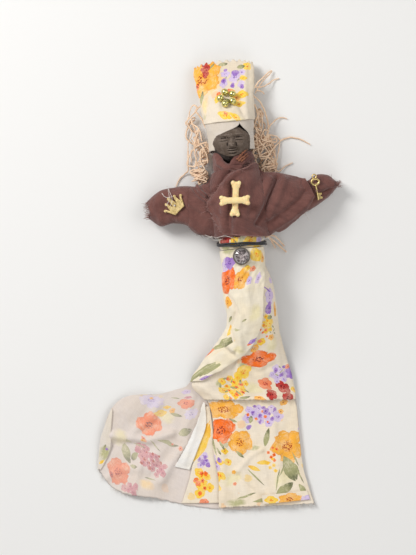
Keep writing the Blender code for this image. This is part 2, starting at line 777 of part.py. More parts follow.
def sleeve_start():
    """Distance from the spine to the open root of a sleeve."""
    return TORSO_WIDTH / 2 + CLOTH / 2 + CLOTH_GAP


def sleeve_section(x):
    """Middle, half width, crest and underside of the sleeve at a place across the doll."""
    rows, reach = (LEFT_SLEEVE_SHARES, ARM_LEFT) if x < 0 else (RIGHT_SLEEVE_SHARES, ARM_RIGHT)
    share = (abs(x) - sleeve_start()) / (reach - sleeve_start())
    near, far, crest = read_table(rows, min(max(share, 0.0), 1.0))
    middle = (near + far) / 2 * SLEEVE_LENGTH_Y
    return middle, (far - near) / 2 * SLEEVE_LENGTH_Y, crest * SLEEVE_HEIGHT, SLEEVE_RISE + CLOTH / 2


def rounded(turn, power):
    """Rounded box section: sine or cosine with full shoulders."""
    return math.copysign(abs(turn) ** power, turn)


def make_sleeve(side, name):
    """Brown cloth sleeve round one arm, open at both ends."""
    reach = ARM_LEFT if side < 0 else ARM_RIGHT
    rings = []
    for row in range(9):
        x = side * (sleeve_start() + (reach - sleeve_start()) * row / 8)
        middle, half, crest, low = sleeve_section(x)
        ring = []
        for step in range(20):
            angle = 2 * math.pi * step / 20
            fray = FRAY * (1 if step % 2 else -1) if row == 8 else 0.0
            ring.append(Vector((x + side * fray, middle + half * rounded(math.cos(angle), 0.8),
                                (crest + low) / 2 + (crest - low) / 2 * rounded(math.sin(angle), 0.8))))
        rings.append(ring)
    return cloth(name, rings, BROWN, close_round=True)


def make_arm_husk(side, name):
    """Husk rolled round one half of the arm stick, thinner to the hand."""
    reach = (ARM_STICK_LEFT if side < 0 else ARM_STICK_RIGHT) - sleeve_start()
    rings = []
    for row in range(5):
        x = side * (sleeve_start() + FIT_GAP + reach * ARM_HUSK_SHARE * row / 4)
        radius = ARM_HUSK_RADIUS * (1 - 0.14 * row)
        rings.append([Vector((x, ARM_STICK_Y + radius * math.cos(step * math.pi / 8),
                              arm_stick_z() + radius * math.sin(step * math.pi / 8))) for step in range(16)])
    roll = add_piece(name, mesh_from_rings(name, rings), HUSK)
    return combine(roll, arm_bore(name + "_bore", ARM_RIGHT), "DIFFERENCE")


def dome(place, limit=0.95):
    """Height share of a rounded section at a place from -1 to 1."""
    return (1 - min(abs(place), limit) ** 2.5) ** 0.5


def body_top(x, y):
    """Height of the dressed body's front at a place, over torso and sleeves."""
    wide, top, low = torso_section(y)
    torso = spine_z() + (top - spine_z()) * math.sqrt(1 - min(abs(x) / wide, 1.0) ** 2)
    torso -= 2 * max(abs(x) - wide, 0.0)
    middle, half, crest, low = sleeve_section(x)
    arm = (crest + low) / 2 + (crest - low) / 2 * dome((y - middle) / half)
    high, less = max(torso, arm), min(torso, arm)
    return high + BODY_BLEND * math.log(1 + math.exp((less - high) / BODY_BLEND))


def over(height, x, y, lift):
    """Point at a distance over a surface given by its height."""
    step = CLOTH
    slope_x = (height(x + step, y) - height(x - step, y)) / (2 * step)
    slope_y = (height(x, y + step) - height(x, y - step)) / (2 * step)
    normal = Vector((-slope_x, -slope_y, 1.0)).normalized()
    return Vector((x, y, height(x, y))) + normal * lift


def patch(top, bottom, left, right, u, v):
    """Place inside four edges; u runs along the top and v down the left."""
    t, b, l, r = along(top, u), along(bottom, u), along(left, v), along(right, v)
    upper = Vector(top[0]).lerp(Vector(top[-1]), u)
    lower = Vector(bottom[0]).lerp(Vector(bottom[-1]), u)
    corners = upper.lerp(lower, v)
    return t.lerp(b, v) + l.lerp(r, u) - corners


LEFT_SHAWL_SHARES = (
    ((-0.465, 0.835), (-0.370, 0.830), (-0.265, 0.850), (-0.130, 0.960), (0.020, 0.980)),
    ((-0.475, 0.325), (-0.345, 0.235), (-0.250, 0.170), (-0.150, 0.150), (0.020, 0.150)),
    ((-0.465, 0.835), (-0.480, 0.600), (-0.475, 0.325)),
    ((0.020, 0.980), (0.020, 0.500), (0.020, 0.150)),
)
RIGHT_SHAWL_SHARES = (
    ((0.060, 0.985), (0.230, 0.965), (0.360, 0.885), (0.560, 0.820), (0.700, 0.750)),
    ((-0.150, 0.170), (0.210, 0.110), (0.400, 0.235), (0.540, 0.330), (0.690, 0.450)),
    ((0.060, 0.985), (-0.070, 0.860), (-0.185, 0.700), (-0.300, 0.545), (-0.225, 0.390), (-0.150, 0.170)),
    ((0.700, 0.750), (0.715, 0.600), (0.690, 0.450)),
)
BACK_SHAWL_SHARES = (
    (-0.70, 0.30, 0.80), (-0.35, 0.17, 0.86), (0.0, 0.15, 0.96), (0.35, 0.20, 0.88), (0.76, 0.52, 0.76),
)


def shawl_panel(name, shares, lift, rows, columns):
    """Brown panel laid over the chest and one sleeve."""
    rings = []
    for row in range(rows + 1):
        ring = []
        for column in range(columns + 1):
            flat = patch(*shares, column / columns, row / rows)
            x, y = flat[0] * ARM_RIGHT, flat[1] * BODICE_TOP
            ring.append(over(body_top, x, y, lift))
        rings.append(ring)
    return cloth(name, rings, BROWN)


def make_shawl():
    """Shawl: flat back on the table and two panels crossed over the chest."""
    rings = []
    first, last = BACK_SHAWL_SHARES[0][0], BACK_SHAWL_SHARES[-1][0]
    for step in range(13):
        row = first + (last - first) * step / 12
        near, far = read_table(BACK_SHAWL_SHARES, row)
        x = row * ARM_RIGHT
        rings.append([Vector((x, (near + (far - near) * side) * BODICE_TOP, CLOTH / 2))
                      for side in (0.0, 0.5, 1.0)])
    cloth("shawl_back", rings, BROWN)
    shawl_panel("shawl_left", LEFT_SHAWL_SHARES, shawl_lift(1), 8, 10)
    shawl_panel("shawl_right", RIGHT_SHAWL_SHARES, shawl_lift(2), 10, 14)


def shawl_lift(layers):
    """Distance of the middle of the shawl's layer over the body's cloth."""
    return layers * (LAYER + SHAWL_SLACK)


def make_neck_wrap():
    """Cloth wound round the neck, lower in front where the chin is."""
    rings = []
    count = 24
    for step in range(count):
        angle = 360 * step / count
        front = max(0.0, math.cos(math.radians(angle)))
        top = NECK_TOP - (NECK_TOP - NECK_FOOT) * NECK_DIP_SHARE * front
        ring = []
        for share in (0.0, 0.35, 0.7, 1.0):
            y = NECK_FOOT + (top - NECK_FOOT) * share
            bulge = 0.90 + 0.10 * math.sin(math.pi * min(1.0, 0.15 + 0.8 * share))
            fold = 1 + 0.02 * math.sin(math.radians(3 * angle) + 5 * share)
            ring.append(around(angle, NECK_RADIUS * bulge * min(fold, 1.0), y))
        for share in (1.0, 0.75, 0.5, 0.0):
            y = NECK_FOOT + (top - NECK_FOOT) * share
            reach = HEAD_Y - y
            room = HEAD_RADIUS + CLOTH_GAP
            inner = math.sqrt(max(room * room - reach * reach, 0.0))
            ring.append(around(angle, max(inner, NECK_BORE), y))
        rings.append(ring)
    mesh = mesh_from_rings("neck_wrap", rings, close_along=True)
    return add_piece("neck_wrap", mesh, BROWN)


def make_head():
    """Stuffed ball of the head with a socket for the spine stick."""
    head = ball("head_ball", (0, HEAD_Y, spine_z()), (2 * HEAD_RADIUS,) * 3, WOOL, 20, 12)
    foot = HEAD_Y - HEAD_RADIUS
    socket = rod("head_socket", (0, foot - CUT_OVERRUN, spine_z()), (0, foot + HEAD_SOCKET, spine_z()),
                 SPINE_STICK_RADIUS + FIT_GAP, STICK)
    return combine(head, socket, "DIFFERENCE")


def face_relief(x, y):
    """Height of the face's features at a place from its middle."""
    nose_way = (NOSE_LENGTH * 0.55 - y) / NOSE_LENGTH
    nose = NOSE_HEIGHT * math.exp(-(x / NOSE_WIDTH) ** 2) * ease(nose_way) * ease((1.35 - nose_way) * 3)
    eyes = sum(math.exp(-((x - side * FACE_WIDTH * 0.18) / (FACE_WIDTH * 0.09)) ** 2
                        - ((y - FACE_LENGTH * 0.08) / (FACE_LENGTH * 0.07)) ** 2) for side in (-1, 1))
    mouth_y = y + FACE_LENGTH * 0.30
    mouth = math.exp(-(x / (FACE_WIDTH * 0.11)) ** 2 - (mouth_y / LIP_LENGTH) ** 2)
    return nose - BROW_DEPTH * eyes - LIP_DEPTH * mouth


def make_face():
    """Clay mask pressed on the front of the head, with a rough rim."""
    centre = Vector((0, HEAD_Y, spine_z()))
    spokes = 24
    back = HEAD_RADIUS + CLOTH_GAP
    shares = (0.05, 0.13, 0.22, 0.33, 0.46, 0.60, 0.75, 0.90, 1.0)
    rings = []
    for side, radii in ((1, shares), (0, (1.0, 0.72, 0.38, 0.05))):
        for share in radii:
            ring = []
            for step in range(spokes):
                angle = 2 * math.pi * step / spokes
                rim_rows = [(index / 16, value) for index, value in enumerate((*FACE_RIM_SHARES, 1.0))]
                rim = read_table(rim_rows, step / spokes)[0]
                x = FACE_WIDTH / 2 * share * rim * math.cos(angle)
                y = FACE_LENGTH / 2 * share * rim * math.sin(angle)
                offset = Vector((x, y + FACE_Y - HEAD_Y, 0.0))
                offset.z = math.sqrt(max(back * back - offset.length_squared, 0.0))
                depth = FACE_DEPTH * (1 - 0.4 * share * share) + face_relief(x, y)
                ring.append(centre + offset * ((back + side * depth) / back))
            rings.append(ring)
    return add_piece("clay_face", mesh_from_rings("clay_face", rings), CLAY)


def hat_section(y, inset):
    """Half width, half depth and height of the middle of the hat's cloth."""
    share = min(max((y - HAT_FOOT) / (HAT_TOP - HAT_FOOT), 0.0), 1.0)
    wide, deep = read_table(HAT_SHARES, share)
    return (wide * HAT_WIDTH / 2 - inset, deep * HAT_THICKNESS / 2 - inset,
            spine_z() * (1 - 0.60 * ease(share)))


def hat_top(x, y):
    """Height of the middle of the hat's upper cloth."""
    wide, deep, middle = hat_section(y, 0.0)
    return middle + deep * math.sqrt(1 - min(abs(x) / wide, 1.0) ** 2)


def make_hat():
    """Flattened cloth tube of the hat, with a pinked top edge, and its stuffing."""
    rings = []
    columns = 32
    for row in range(7):
        ring = []
        for step in range(columns):
            y = HAT_FOOT + (HAT_TOP - HAT_FOOT) * row / 6
            wide, deep, middle = hat_section(y, 0.0)
            angle = 2 * math.pi * step / columns
            if row == 6:
                y += HAT_TOOTH * (1 if step % 2 else -1) - HAT_CORNER_DROP * abs(math.cos(angle)) ** 3
            ring.append(Vector((wide * math.cos(angle), y, middle + deep * math.sin(angle))))
        rings.append(ring)
    cloth("hat", rings, PRINT, close_round=True)
    rings = []
    for row in range(6):
        foot = HEAD_Y + HEAD_RADIUS + CLOTH_GAP
        y = foot + (STUFFING_TOP - foot) * row / 5
        wide, deep, middle = hat_section(y, 2 * LAYER + CLOTH)
        narrow = 0.72 if row in (0, 5) else 0.95
        rings.append([Vector((wide * narrow * math.cos(step * math.pi / 8), y,
                              middle + deep * narrow * math.sin(step * math.pi / 8))) for step in range(16)])
    add_piece("hat_stuffing", mesh_from_rings("hat_stuffing", rings), WOOL)


def make_lining():
    """Cream lining that wraps the back and sides of the head, open at the face."""
    rings = []
    for row in range(11):
        share = row / 10
        y = LINING_FOOT + (LINING_TOP - LINING_FOOT) * share
        left, right = read_table(LINING_SHARES, share)
        fit = ease((y - HEAD_Y - LINING_SPREAD) / (HAT_FOOT - HEAD_Y - LINING_SPREAD - CLOTH))
        round_head = HEAD_RADIUS + CLOTH_GAP + CLOTH / 2
        wide, deep, middle = hat_section(max(y, HAT_FOOT), LAYER)
        wide, deep = round_head + (wide - round_head) * fit, round_head + (deep - round_head) * fit
        middle = spine_z() + (middle - spine_z()) * fit
        ring = []
        for step in range(19):
            angle = math.radians(right + (360 - left - right) * step / 18)
            ring.append(Vector((wide * math.sin(angle), y, middle + deep * math.cos(angle))))
        rings.append(ring)
    return cloth("hat_lining", rings, CREAM)


def make_beads():
    """Five drilled metal beads sewn on the hat as a flower."""
    for index in range(5):
        angle = math.radians(BEAD_FIRST_ANGLE + 72 * index)
        x = BEAD_FLOWER[0] + BEAD_RING * math.cos(angle)
        y = BEAD_FLOWER[1] + BEAD_RING * math.sin(angle)
        place = over(hat_top, x, y, CLOTH / 2 + FIT_GAP + BEAD_RADIUS)
        profile = []
        for step in range(6):
            turn = math.pi / 2 - math.pi * step / 5
            radius = max(BEAD_RADIUS * math.cos(turn), BEAD_BORE)
            profile.append((radius, BEAD_RADIUS * math.sin(turn) * 0.97))
        bead = turned("hat_bead_%d" % (index + 1), profile, GOLD, steps=12)
        bead.matrix_world = Matrix.Translation(place) @ Matrix.Rotation(angle, 4, "Z") @ Matrix.Rotation(
            math.pi / 2, 4, "X")


def bone_loop(length):
    """Outline of a bone with two lobes at each end, each an arc of its own."""
    lobe_x = BONE_SHAFT / 2 - BONE_KNOB_RADIUS / 3
    lobe_y = length / 2 - BONE_KNOB_RADIUS
    points = []
    for side, end, first in ((1, 1, -55), (-1, 1, 45), (-1, -1, 125), (1, -1, 225)):
        for step in range(6):
            angle = math.radians(first + 38 * step)
            points.append((side * lobe_x + BONE_KNOB_RADIUS * math.cos(angle),
                           end * lobe_y + BONE_KNOB_RADIUS * math.sin(angle)))
    return points


def make_bones():
    """Two bone beads sewn on the chest as a cross."""
    high = max(over(body_top, BONE_UPRIGHT_SPOT[0], BONE_UPRIGHT_SPOT[1] + way * BONE_UPRIGHT_LENGTH / 2,
                       shawl_lift(2) + CLOTH / 2).z for way in (-1, -0.5, 0, 0.5, 1))
    low = high + FIT_GAP + BONE_THICKNESS / 2
    for name, length, place, turn, z in (
            ("bone_upright", BONE_UPRIGHT_LENGTH, BONE_UPRIGHT_SPOT, BONE_UPRIGHT_TURN, low),
            ("bone_crosspiece", BONE_CROSS_LENGTH, BONE_CROSS_SPOT, BONE_CROSS_TURN,
             low + BONE_THICKNESS + FIT_GAP)):
        bone = outline(name, [bone_loop(length)], BONE_THICKNESS, BONE_THICKNESS / 4, BONE)
        bone.matrix_world = Matrix.Translation((*place, z)) @ Matrix.Rotation(math.radians(turn), 4, "Z")
        as_mesh(bone)


def crown_loop():
    """Outline of the crown: a base and five points that end in balls."""
    points = [(-CROWN_BASE / 2, 0.0), (CROWN_BASE / 2, 0.0)]
    tips = ((0.5, 0.58, 1.0), (0.27, 0.80, 1.0), (0.0, 0.91, 1.45), (-0.27, 0.80, 1.0), (-0.5, 0.58, 1.0))
    for index, (across_share, up_share, size) in enumerate(tips):
        radius = CROWN_BALL * size
        middle = Vector((across_share * (CROWN_SPAN - 2 * CROWN_BALL), up_share * CROWN_HEIGHT))
        aim = math.atan2(middle.y - CROWN_HEIGHT * 0.1, middle.x)
        for step in range(6):
            angle = aim + math.radians(-135 + 54 * step)
            points.append((middle.x + radius * math.cos(angle), middle.y + radius * math.sin(angle)))
        if index < 4:
            after = tips[index + 1]
            between = (across_share + after[0]) / 2
            points.append((between * CROWN_SPAN * 0.78, CROWN_HEIGHT * (0.46 - 0.15 * abs(between))))
    return points


def circle(radius, x=0.0, y=0.0, count=12):
    """Round hole or disc outline."""
    return [(x + radius * math.cos(2 * math.pi * step / count),
             y + radius * math.sin(2 * math.pi * step / count)) for step in range(count)]


def hang(piece, axis):
    """Carry a piece on a joint's empty, with its origin there."""
    piece.data.transform(Matrix.Translation(-axis.location) @ piece.matrix_world)
    piece.matrix_world = Matrix.Identity(4)
    piece.parent = axis
    return piece


def joint_axis(name, place, parent=None):
    """Empty on the axis of a joint, placed from its parent's own place."""
    axis = bpy.data.objects.new(name, None)
    bpy.data.collections["cloth_doll"].objects.link(axis)
    axis.location = place
    axis.parent = parent
    return axis


def make_crown():
    """Gold crown charm on the left sleeve, and the stitch that holds it."""
    stitch_y = CROWN_HEIGHT * 0.40
    turn = Matrix.Rotation(math.radians(CROWN_TURN), 4, "Z")
    middle = Vector((*CROWN_SPOT, 0.0))
    place = middle + turn @ Vector((0.0, stitch_y - CROWN_HEIGHT * 0.5, 0.0))
    seat = over(body_top, place.x, place.y, CLOTH / 2 + CLOTH_GAP)
    height = seat.z + CROWN_THICKNESS / 2
    crown = outline("crown_charm", [crown_loop(), circle(CROWN_HOLE, 0.0, stitch_y, 10)], CROWN_THICKNESS,
                    CROWN_THICKNESS / 5, GOLD)
    lean = Matrix.Rotation(math.radians(CROWN_LEAN), 4, "Y")
    crown.matrix_world = (Matrix.Translation((place.x, place.y, height)) @ lean @ turn
                          @ Matrix.Translation((0.0, -stitch_y, 0.0)))
    crown = as_mesh(crown)
    up = (lean @ Vector((0, 0, 1))).normalized()
    foot = Vector((place.x, place.y, height)) - up * (CROWN_THICKNESS / 2)
    head = foot + up * (CROWN_THICKNESS + FIT_GAP)
    stem = rod("crown_stitch", foot, head + up * CROWN_STITCH, CROWN_STITCH, THREAD, sides=8)
    knot = ball("crown_stitch_knot", head + up * CROWN_HOLE, (3.2 * CROWN_STITCH,) * 3, THREAD, 8, 6)
    combine(stem, knot, "UNION")
    return hang(crown, joint_axis("crown_axis", Vector((place.x, place.y, height))))


def key_height():
    """Height of the key's shaft over the right sleeve."""
    crest = max(over(body_top, KEY_SPOT[0], KEY_SPOT[1] + way * KEY_LENGTH / 2, CLOTH / 2).z
                for way in (-0.6, -0.3, 0.0, 0.3, 0.6))
    return crest + FIT_GAP + KEY_LOOP_RADIUS


def make_key():
    """Old key charm on the right sleeve and the thread round its shaft."""
    height = key_height()
    frame = Matrix.Translation((*KEY_SPOT, height)) @ Matrix.Rotation(math.radians(KEY_TURN), 4, "Z")
    bow_y = KEY_LENGTH * KEY_BOW_SHARE
    tip_y = -KEY_LENGTH * KEY_TIP_SHARE
    loop_y = bow_y + KEY_BOW[1] / 2 + KEY_LOOP_RADIUS - KEY_LOOP_WIRE / 2
    half_x, half_y = KEY_BOW[0] / 2 - KEY_WIRE, KEY_BOW[1] / 2 - KEY_WIRE
    bow = [Vector((half_x * x, bow_y + half_y * y, 0.0)) for x, y in circle(1.0, count=16)]
    loop = [Vector((x, loop_y + y, 0.0)) for x, y in circle(KEY_LOOP_RADIUS, count=12)]
    key = as_mesh(tube("key_charm", bow, KEY_WIRE, GOLD, closed=True, sides=1))
    parts = [as_mesh(tube("key_loop", loop, KEY_LOOP_WIRE, GOLD, closed=True, sides=1)),
             rod("key_shaft", (0, tip_y, 0), (0, bow_y - half_y, 0), KEY_SHAFT_RADIUS, GOLD, 10)]
    for share in KEY_COLLAR_SHARES:
        collar_y = bow_y * share
        parts.append(rod("key_collar", (0, collar_y, 0), (0, collar_y + KEY_COLLAR_LENGTH / 2, 0),
                         KEY_COLLAR_RADIUS, GOLD, 10))
    bit_y = tip_y + KEY_SHAFT_RADIUS + KEY_BIT[1] / 2
    bit = block("key_bit", (KEY_BIT[0] / 2 + KEY_SHAFT_RADIUS / 2, bit_y, 0), KEY_BIT, GOLD)
    notch = block("key_notch", (KEY_BIT[0] + KEY_SHAFT_RADIUS / 2, bit_y, 0),
                  (*KEY_NOTCH, KEY_BIT[2] + CUT_OVERRUN), GOLD)
    combine(bit, notch, "DIFFERENCE")
    parts.append(bit)
    for part in parts:
        combine(key, part, "UNION")
    key.matrix_world = frame
    for part in parts + [notch]:
        part.matrix_world = frame
    bpy.context.view_layer.update()
    key = as_mesh(key)
    ring_radius = KEY_SHAFT_RADIUS + KEY_THREAD_RADIUS + FIT_GAP
    ring = [frame @ Vector((x, 0.0, z)) for x, z in circle(ring_radius, count=12)]
    tube("key_thread", ring, KEY_THREAD_RADIUS, THREAD, closed=True, sides=1)
    return hang(key, joint_axis("key_axis", Vector((*KEY_SPOT, height))))


def make_waistband():
    """Gathered cloth round the waist, with a groove where the gem's ring runs."""
    seat = BELT_FRONT_Y + GEM_RING_RADIUS + GEM_RING_WIRE + FIT_GAP / 2
    outer = ((BAND_TOP, BAND_FRILL_RADIUS, BAND_GATHER), (BAND_TOP * 0.6, BAND_SEAT_RADIUS, BAND_GATHER / 2),
             (seat + BELT_PITCH, BAND_SEAT_RADIUS, 0.0), (seat, BAND_SEAT_RADIUS, 0.0),
             (seat - CLOTH / 10, BAND_GROOVE_RADIUS, 0.0), (-BAND_FOOT, BAND_GROOVE_RADIUS, 0.0))
    rings = []
    count = 36
    for step in range(count):
        angle = 360 * step / count
        gather = 0.5 - 0.5 * math.cos(math.radians(angle * BAND_GATHERS))
        ring = [around(angle, radius - depth * gather, y) for y, radius, depth in outer]
        inner = BAND_GROOVE_RADIUS - BAND_WALL
        ring += [around(angle, inner, y) for y in (-BAND_FOOT, BAND_TOP)]
        rings.append(ring)
    add_piece("waistband", mesh_from_rings("waistband", rings, close_along=True), PRINT)


def belt_line_radius():
    """Distance from the spine to the middle of the belt cord."""
    return BAND_SEAT_RADIUS + FIT_GAP + BELT_RADIUS


def make_belt(axis):
    """Black cord wound twice round the waist, with its knot at the side."""
    steps = 26 * BELT_TURNS
    start = BELT_KNOT_ANGLE - 360
    points = []
    for step in range(steps + 1):
        angle = start + 360 * BELT_TURNS * step / steps
        points.append(around(angle, belt_line_radius(), BELT_FRONT_Y + BELT_PITCH * angle / 360))
    gap = min((points[step + 26] - points[step]).length for step in range(steps - 25)) - 2 * BELT_RADIUS
    print("belt cord clears itself by", round(gap, 6))
    cord = as_mesh(tube("belt_cord", points, BELT_RADIUS, BLACK, sides=2))
    radius = belt_line_radius() - BELT_RADIUS + BELT_KNOT_SIZE[2] / 2
    knot = ball("belt_knot", (0, 0, radius), BELT_KNOT_SIZE, BLACK, 12, 8)
    middle_y = BELT_FRONT_Y + BELT_PITCH * (BELT_KNOT_ANGLE / 360)
    knot.matrix_world = (Matrix.Translation((0, middle_y, spine_z()))
                         @ Matrix.Rotation(math.radians(BELT_KNOT_ANGLE), 4, "Y"))
    combine(cord, knot, "UNION")
    bpy.context.view_layer.update()
    return hang(as_mesh(cord), axis)


def make_gem(axis, lift_axis):
    """Clear stone in a round setting, hung from the belt by its ring."""
    ring_place = Vector((0, BELT_FRONT_Y, belt_line_radius()))
    middle = Vector((0, BELT_FRONT_Y - GEM_DROP, WAIST_RADIUS + BEZEL_LIFT))
    bezel = turned("gem_setting", [(0.0, BEZEL_FLOOR), (BEZEL_RADIUS - BEZEL_WALL, BEZEL_FLOOR),
                                   (BEZEL_RADIUS - BEZEL_WALL, BEZEL_HEIGHT), (BEZEL_RADIUS, BEZEL_HEIGHT),
                                   (BEZEL_RADIUS, 0.0), (0.0, 0.0)], SILVER, steps=28)
    drop_open_edge(bezel)
    bezel.matrix_world = Matrix.Translation(middle)
    bezel = as_mesh(bezel)
    ring = [Vector((0.0, ring_place.y + y, ring_place.z + z)) for y, z in circle(GEM_RING_RADIUS, count=14)]
    hoop = as_mesh(tube("gem_ring", ring, GEM_RING_WIRE, SILVER, closed=True, sides=1))
    lug_y = ring_place.y - GEM_RING_RADIUS - GEM_RING_WIRE
    lug = block("gem_lug", (0, lug_y, ring_place.z), (BEZEL_WALL * 1.5, 2 * GEM_RING_WIRE, BEZEL_WALL * 1.5),
                SILVER)
    combine(bezel, hoop, "UNION")
    combine(bezel, lug, "UNION")
    girdle = BEZEL_RADIUS - BEZEL_WALL - FIT_GAP
    foot = BEZEL_FLOOR + FIT_GAP
    crystal = turned("gem_crystal", [(0.0, foot + CRYSTAL_HEIGHT),
                                     (girdle * CRYSTAL_TABLE_SHARE, foot + CRYSTAL_HEIGHT),
                                     (girdle, foot + CRYSTAL_HEIGHT * CRYSTAL_GIRDLE_SHARE), (girdle, foot),
                                     (0.0, foot)],
                     CLEAR, steps=CRYSTAL_FACETS)
    drop_open_edge(crystal)
    crystal.matrix_world = Matrix.Translation(middle)
    turn = Matrix.Translation((0, 0, spine_z())) @ Matrix.Rotation(math.radians(GEM_ANGLE), 4, "Y")
    for name in ("gem_setting", "gem_crystal"):
        piece = as_mesh(bpy.data.objects[name])
        piece.matrix_world = turn @ piece.matrix_world
        place = axis.location + lift_axis.location
        piece.data.transform(Matrix.Translation(-place) @ piece.matrix_world)
        piece.matrix_world = Matrix.Identity(4)
        piece.parent = lift_axis


def drop_open_edge(piece):
    """Leave a turned profile open where it meets its axis."""
    bm = bmesh.new()
    bm.from_mesh(piece.data)
    on_axis = [edge for edge in bm.edges if all(vert.co.x == 0.0 for vert in edge.verts)]
    bmesh.ops.delete(bm, geom=on_axis, context="EDGES")
    bm.to_mesh(piece.data)
    bm.free()


def hair_height(x):
    """Height of a strand's middle, lower away from the head."""
    return STRAND_RADIUS + FIT_GAP + HAIR_RISE * (1 - ease((abs(x) - HAIR_NEAR) / HAIR_REACH))


def fused_strands(name, strands, root, radius, surface, height):
    """Strands that all meet a root piece, joined into one body."""
    whole = root
    for index, pixels in enumerate(strands):
        places = [spot(pixel) for pixel in pixels]
        count = 2 * len(pixels)
        flat = [along(places, step / count) for step in range(count + 1)]
        points = [Vector((*place, height(place))) for place in flat]
        strand = as_mesh(tube("%s_%d" % (name, index), points, radius, surface, sides=0))
        combine(whole, strand, "UNION")
    return whole


def make_hair(side, name, strands):
    """Raffia hair down one side of the head, fused to the hank it grows from."""
    x = side * (HEAD_RADIUS + LAYER + CLOTH + HANK_WIDTH / 2)
    hank = ball(name, (x, HANK_Y, hair_height(x)), (HANK_WIDTH, HANK_LENGTH, HANK_HEIGHT), STRAW, 12, 10)
    return fused_strands(name, strands, hank, STRAND_RADIUS, STRAW, lambda place: hair_height(place.x))


def make_raffia():
    """Three raffia ends that come out under the shawl at the waist."""
    reach = BAND_FRILL_RADIUS + CLOTH_GAP + 2 * STRAND_RADIUS
    root = around(RAFFIA_ANGLE, reach, BAND_TOP * RAFFIA_ROOT_SHARE)
    knot = ball("raffia_ends", root, (3.6 * STRAND_RADIUS,) * 3, STRAW, 10, 8)
    whole = knot
    for index, pixels in enumerate(RAFFIA_STRANDS):
        places = [Vector((root.x, root.y))] + [spot(pixel) for pixel in pixels]
        points = [Vector((*along(places, step / 8), root.z + (RAFFIA_TIP - root.z) * ease(step / 8)))
                  for step in range(9)]
        strand = as_mesh(tube("raffia_%d" % index, points, STRAND_RADIUS * 0.8, STRAW, sides=0))
        combine(whole, strand, "UNION")
    return whole


def clear_scene():
    """Empty the scene and make its two collections."""
    for item in list(bpy.data.objects):
        bpy.data.objects.remove(item)
    for name in ("cloth_doll", "cutters"):
        collection = bpy.data.collections.new(name)
        bpy.context.scene.collection.children.link(collection)


def stand_on_origin():
    """Bring the bottom middle of the whole doll over the origin."""
    graph = bpy.context.evaluated_depsgraph_get()
    low, high = Vector((1.0, 1.0, 1.0)), Vector((-1.0, -1.0, -1.0))
    for piece in bpy.data.collections["cloth_doll"].objects:
        if piece.type == "EMPTY":
            continue
        mesh = piece.evaluated_get(graph).to_mesh()
        for vert in mesh.vertices:
            place = piece.matrix_world @ vert.co
            low = Vector(map(min, low, place))
            high = Vector(map(max, high, place))
    root = joint_axis("doll_root", Vector((-(low.x + high.x) / 2, -(low.y + high.y) / 2, -low.z)))
    for item in bpy.data.objects:
        if item.parent is None and item is not root:
            item.parent = root
    bpy.context.view_layer.update()
    print("doll spans", [round(value, 4) for value in high - low])
    for axis in bpy.data.collections["cloth_doll"].objects:
        if axis.type == "EMPTY":
            print(axis.name, [round(value, 6) for value in axis.matrix_world.translation])


def main():
    """Build the doll from the sticks outwards."""
    clear_scene()
    make_sticks()
    make_torso()
    make_skirt_husk()
    for side, word, strands in ((-1, "left", LEFT_STRANDS), (1, "right", RIGHT_STRANDS)):
        make_sleeve(side, "sleeve_" + word)
        make_arm_husk(side, "arm_husk_" + word)
        make_hair(side, "hair_" + word, strands)
    make_head()
    make_face()
    make_lining()
    make_hat()
    make_beads()
    make_neck_wrap()
    make_shawl()
    make_bones()
    make_crown()
    make_key()
    make_skirt()
    make_waistband()
    belt_axis = joint_axis("belt_axis", Vector((0, 0, spine_z())))
    make_belt(belt_axis)
    ring = around(GEM_ANGLE, belt_line_radius(), BELT_FRONT_Y)
    gem_axis = joint_axis("gem_axis", ring - belt_axis.location, belt_axis)
    make_gem(belt_axis, gem_axis)
    make_raffia()
    bpy.context.view_layer.update()
    stand_on_origin()


main()
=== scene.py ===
"""Looks of a dressed cloth doll that lies on its back on a table.

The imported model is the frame: +Z up from the table, +Y along the spine stick from
the hem to the hat, and +X to the doll's own left hand. Every length is in metres.
One class builds and dresses each sub-assembly, from the skirt up to the hat. Print,
weave and wear come from shader node groups, threads and stitches from Geometry Nodes.
"""

import json
import logging
import math
import random
from dataclasses import dataclass, field
from enum import Enum
from typing import Callable, Iterable, Sequence

import bmesh
import bpy
import numpy as np
from mathutils import Matrix, Vector, noise


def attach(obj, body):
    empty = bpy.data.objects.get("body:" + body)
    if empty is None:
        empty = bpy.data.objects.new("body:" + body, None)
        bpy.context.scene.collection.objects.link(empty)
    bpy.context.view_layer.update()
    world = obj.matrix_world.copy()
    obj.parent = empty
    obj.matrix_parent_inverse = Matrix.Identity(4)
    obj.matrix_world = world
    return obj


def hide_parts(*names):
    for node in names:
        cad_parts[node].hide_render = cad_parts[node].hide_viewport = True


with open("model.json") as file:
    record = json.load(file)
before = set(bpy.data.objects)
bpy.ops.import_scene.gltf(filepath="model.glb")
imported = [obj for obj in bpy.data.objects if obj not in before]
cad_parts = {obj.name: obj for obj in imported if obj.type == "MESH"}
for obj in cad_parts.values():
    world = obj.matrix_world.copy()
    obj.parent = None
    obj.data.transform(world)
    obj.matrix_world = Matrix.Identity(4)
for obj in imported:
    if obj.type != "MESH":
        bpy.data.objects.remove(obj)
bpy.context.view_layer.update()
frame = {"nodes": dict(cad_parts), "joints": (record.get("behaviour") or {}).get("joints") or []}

LOG = logging.getLogger("cloth_doll")

Pixel = tuple[float, float]
Colour = tuple[float, float, float]
Row = tuple[float, ...]
Surface = Callable[[float, float], Vector]
Socket = bpy.types.NodeSocket


def joint_place(name: str) -> Vector:
    """Place of one of the frame's joints at rest."""
    joint = next(item for item in frame["joints"] if item["name"] == name)
    return Vector(joint["pos_m"])


def ease(share: float) -> float:
    """Smooth step from 0 to 1."""
    share = min(max(share, 0.0), 1.0)
    return share * share * (3 - 2 * share)


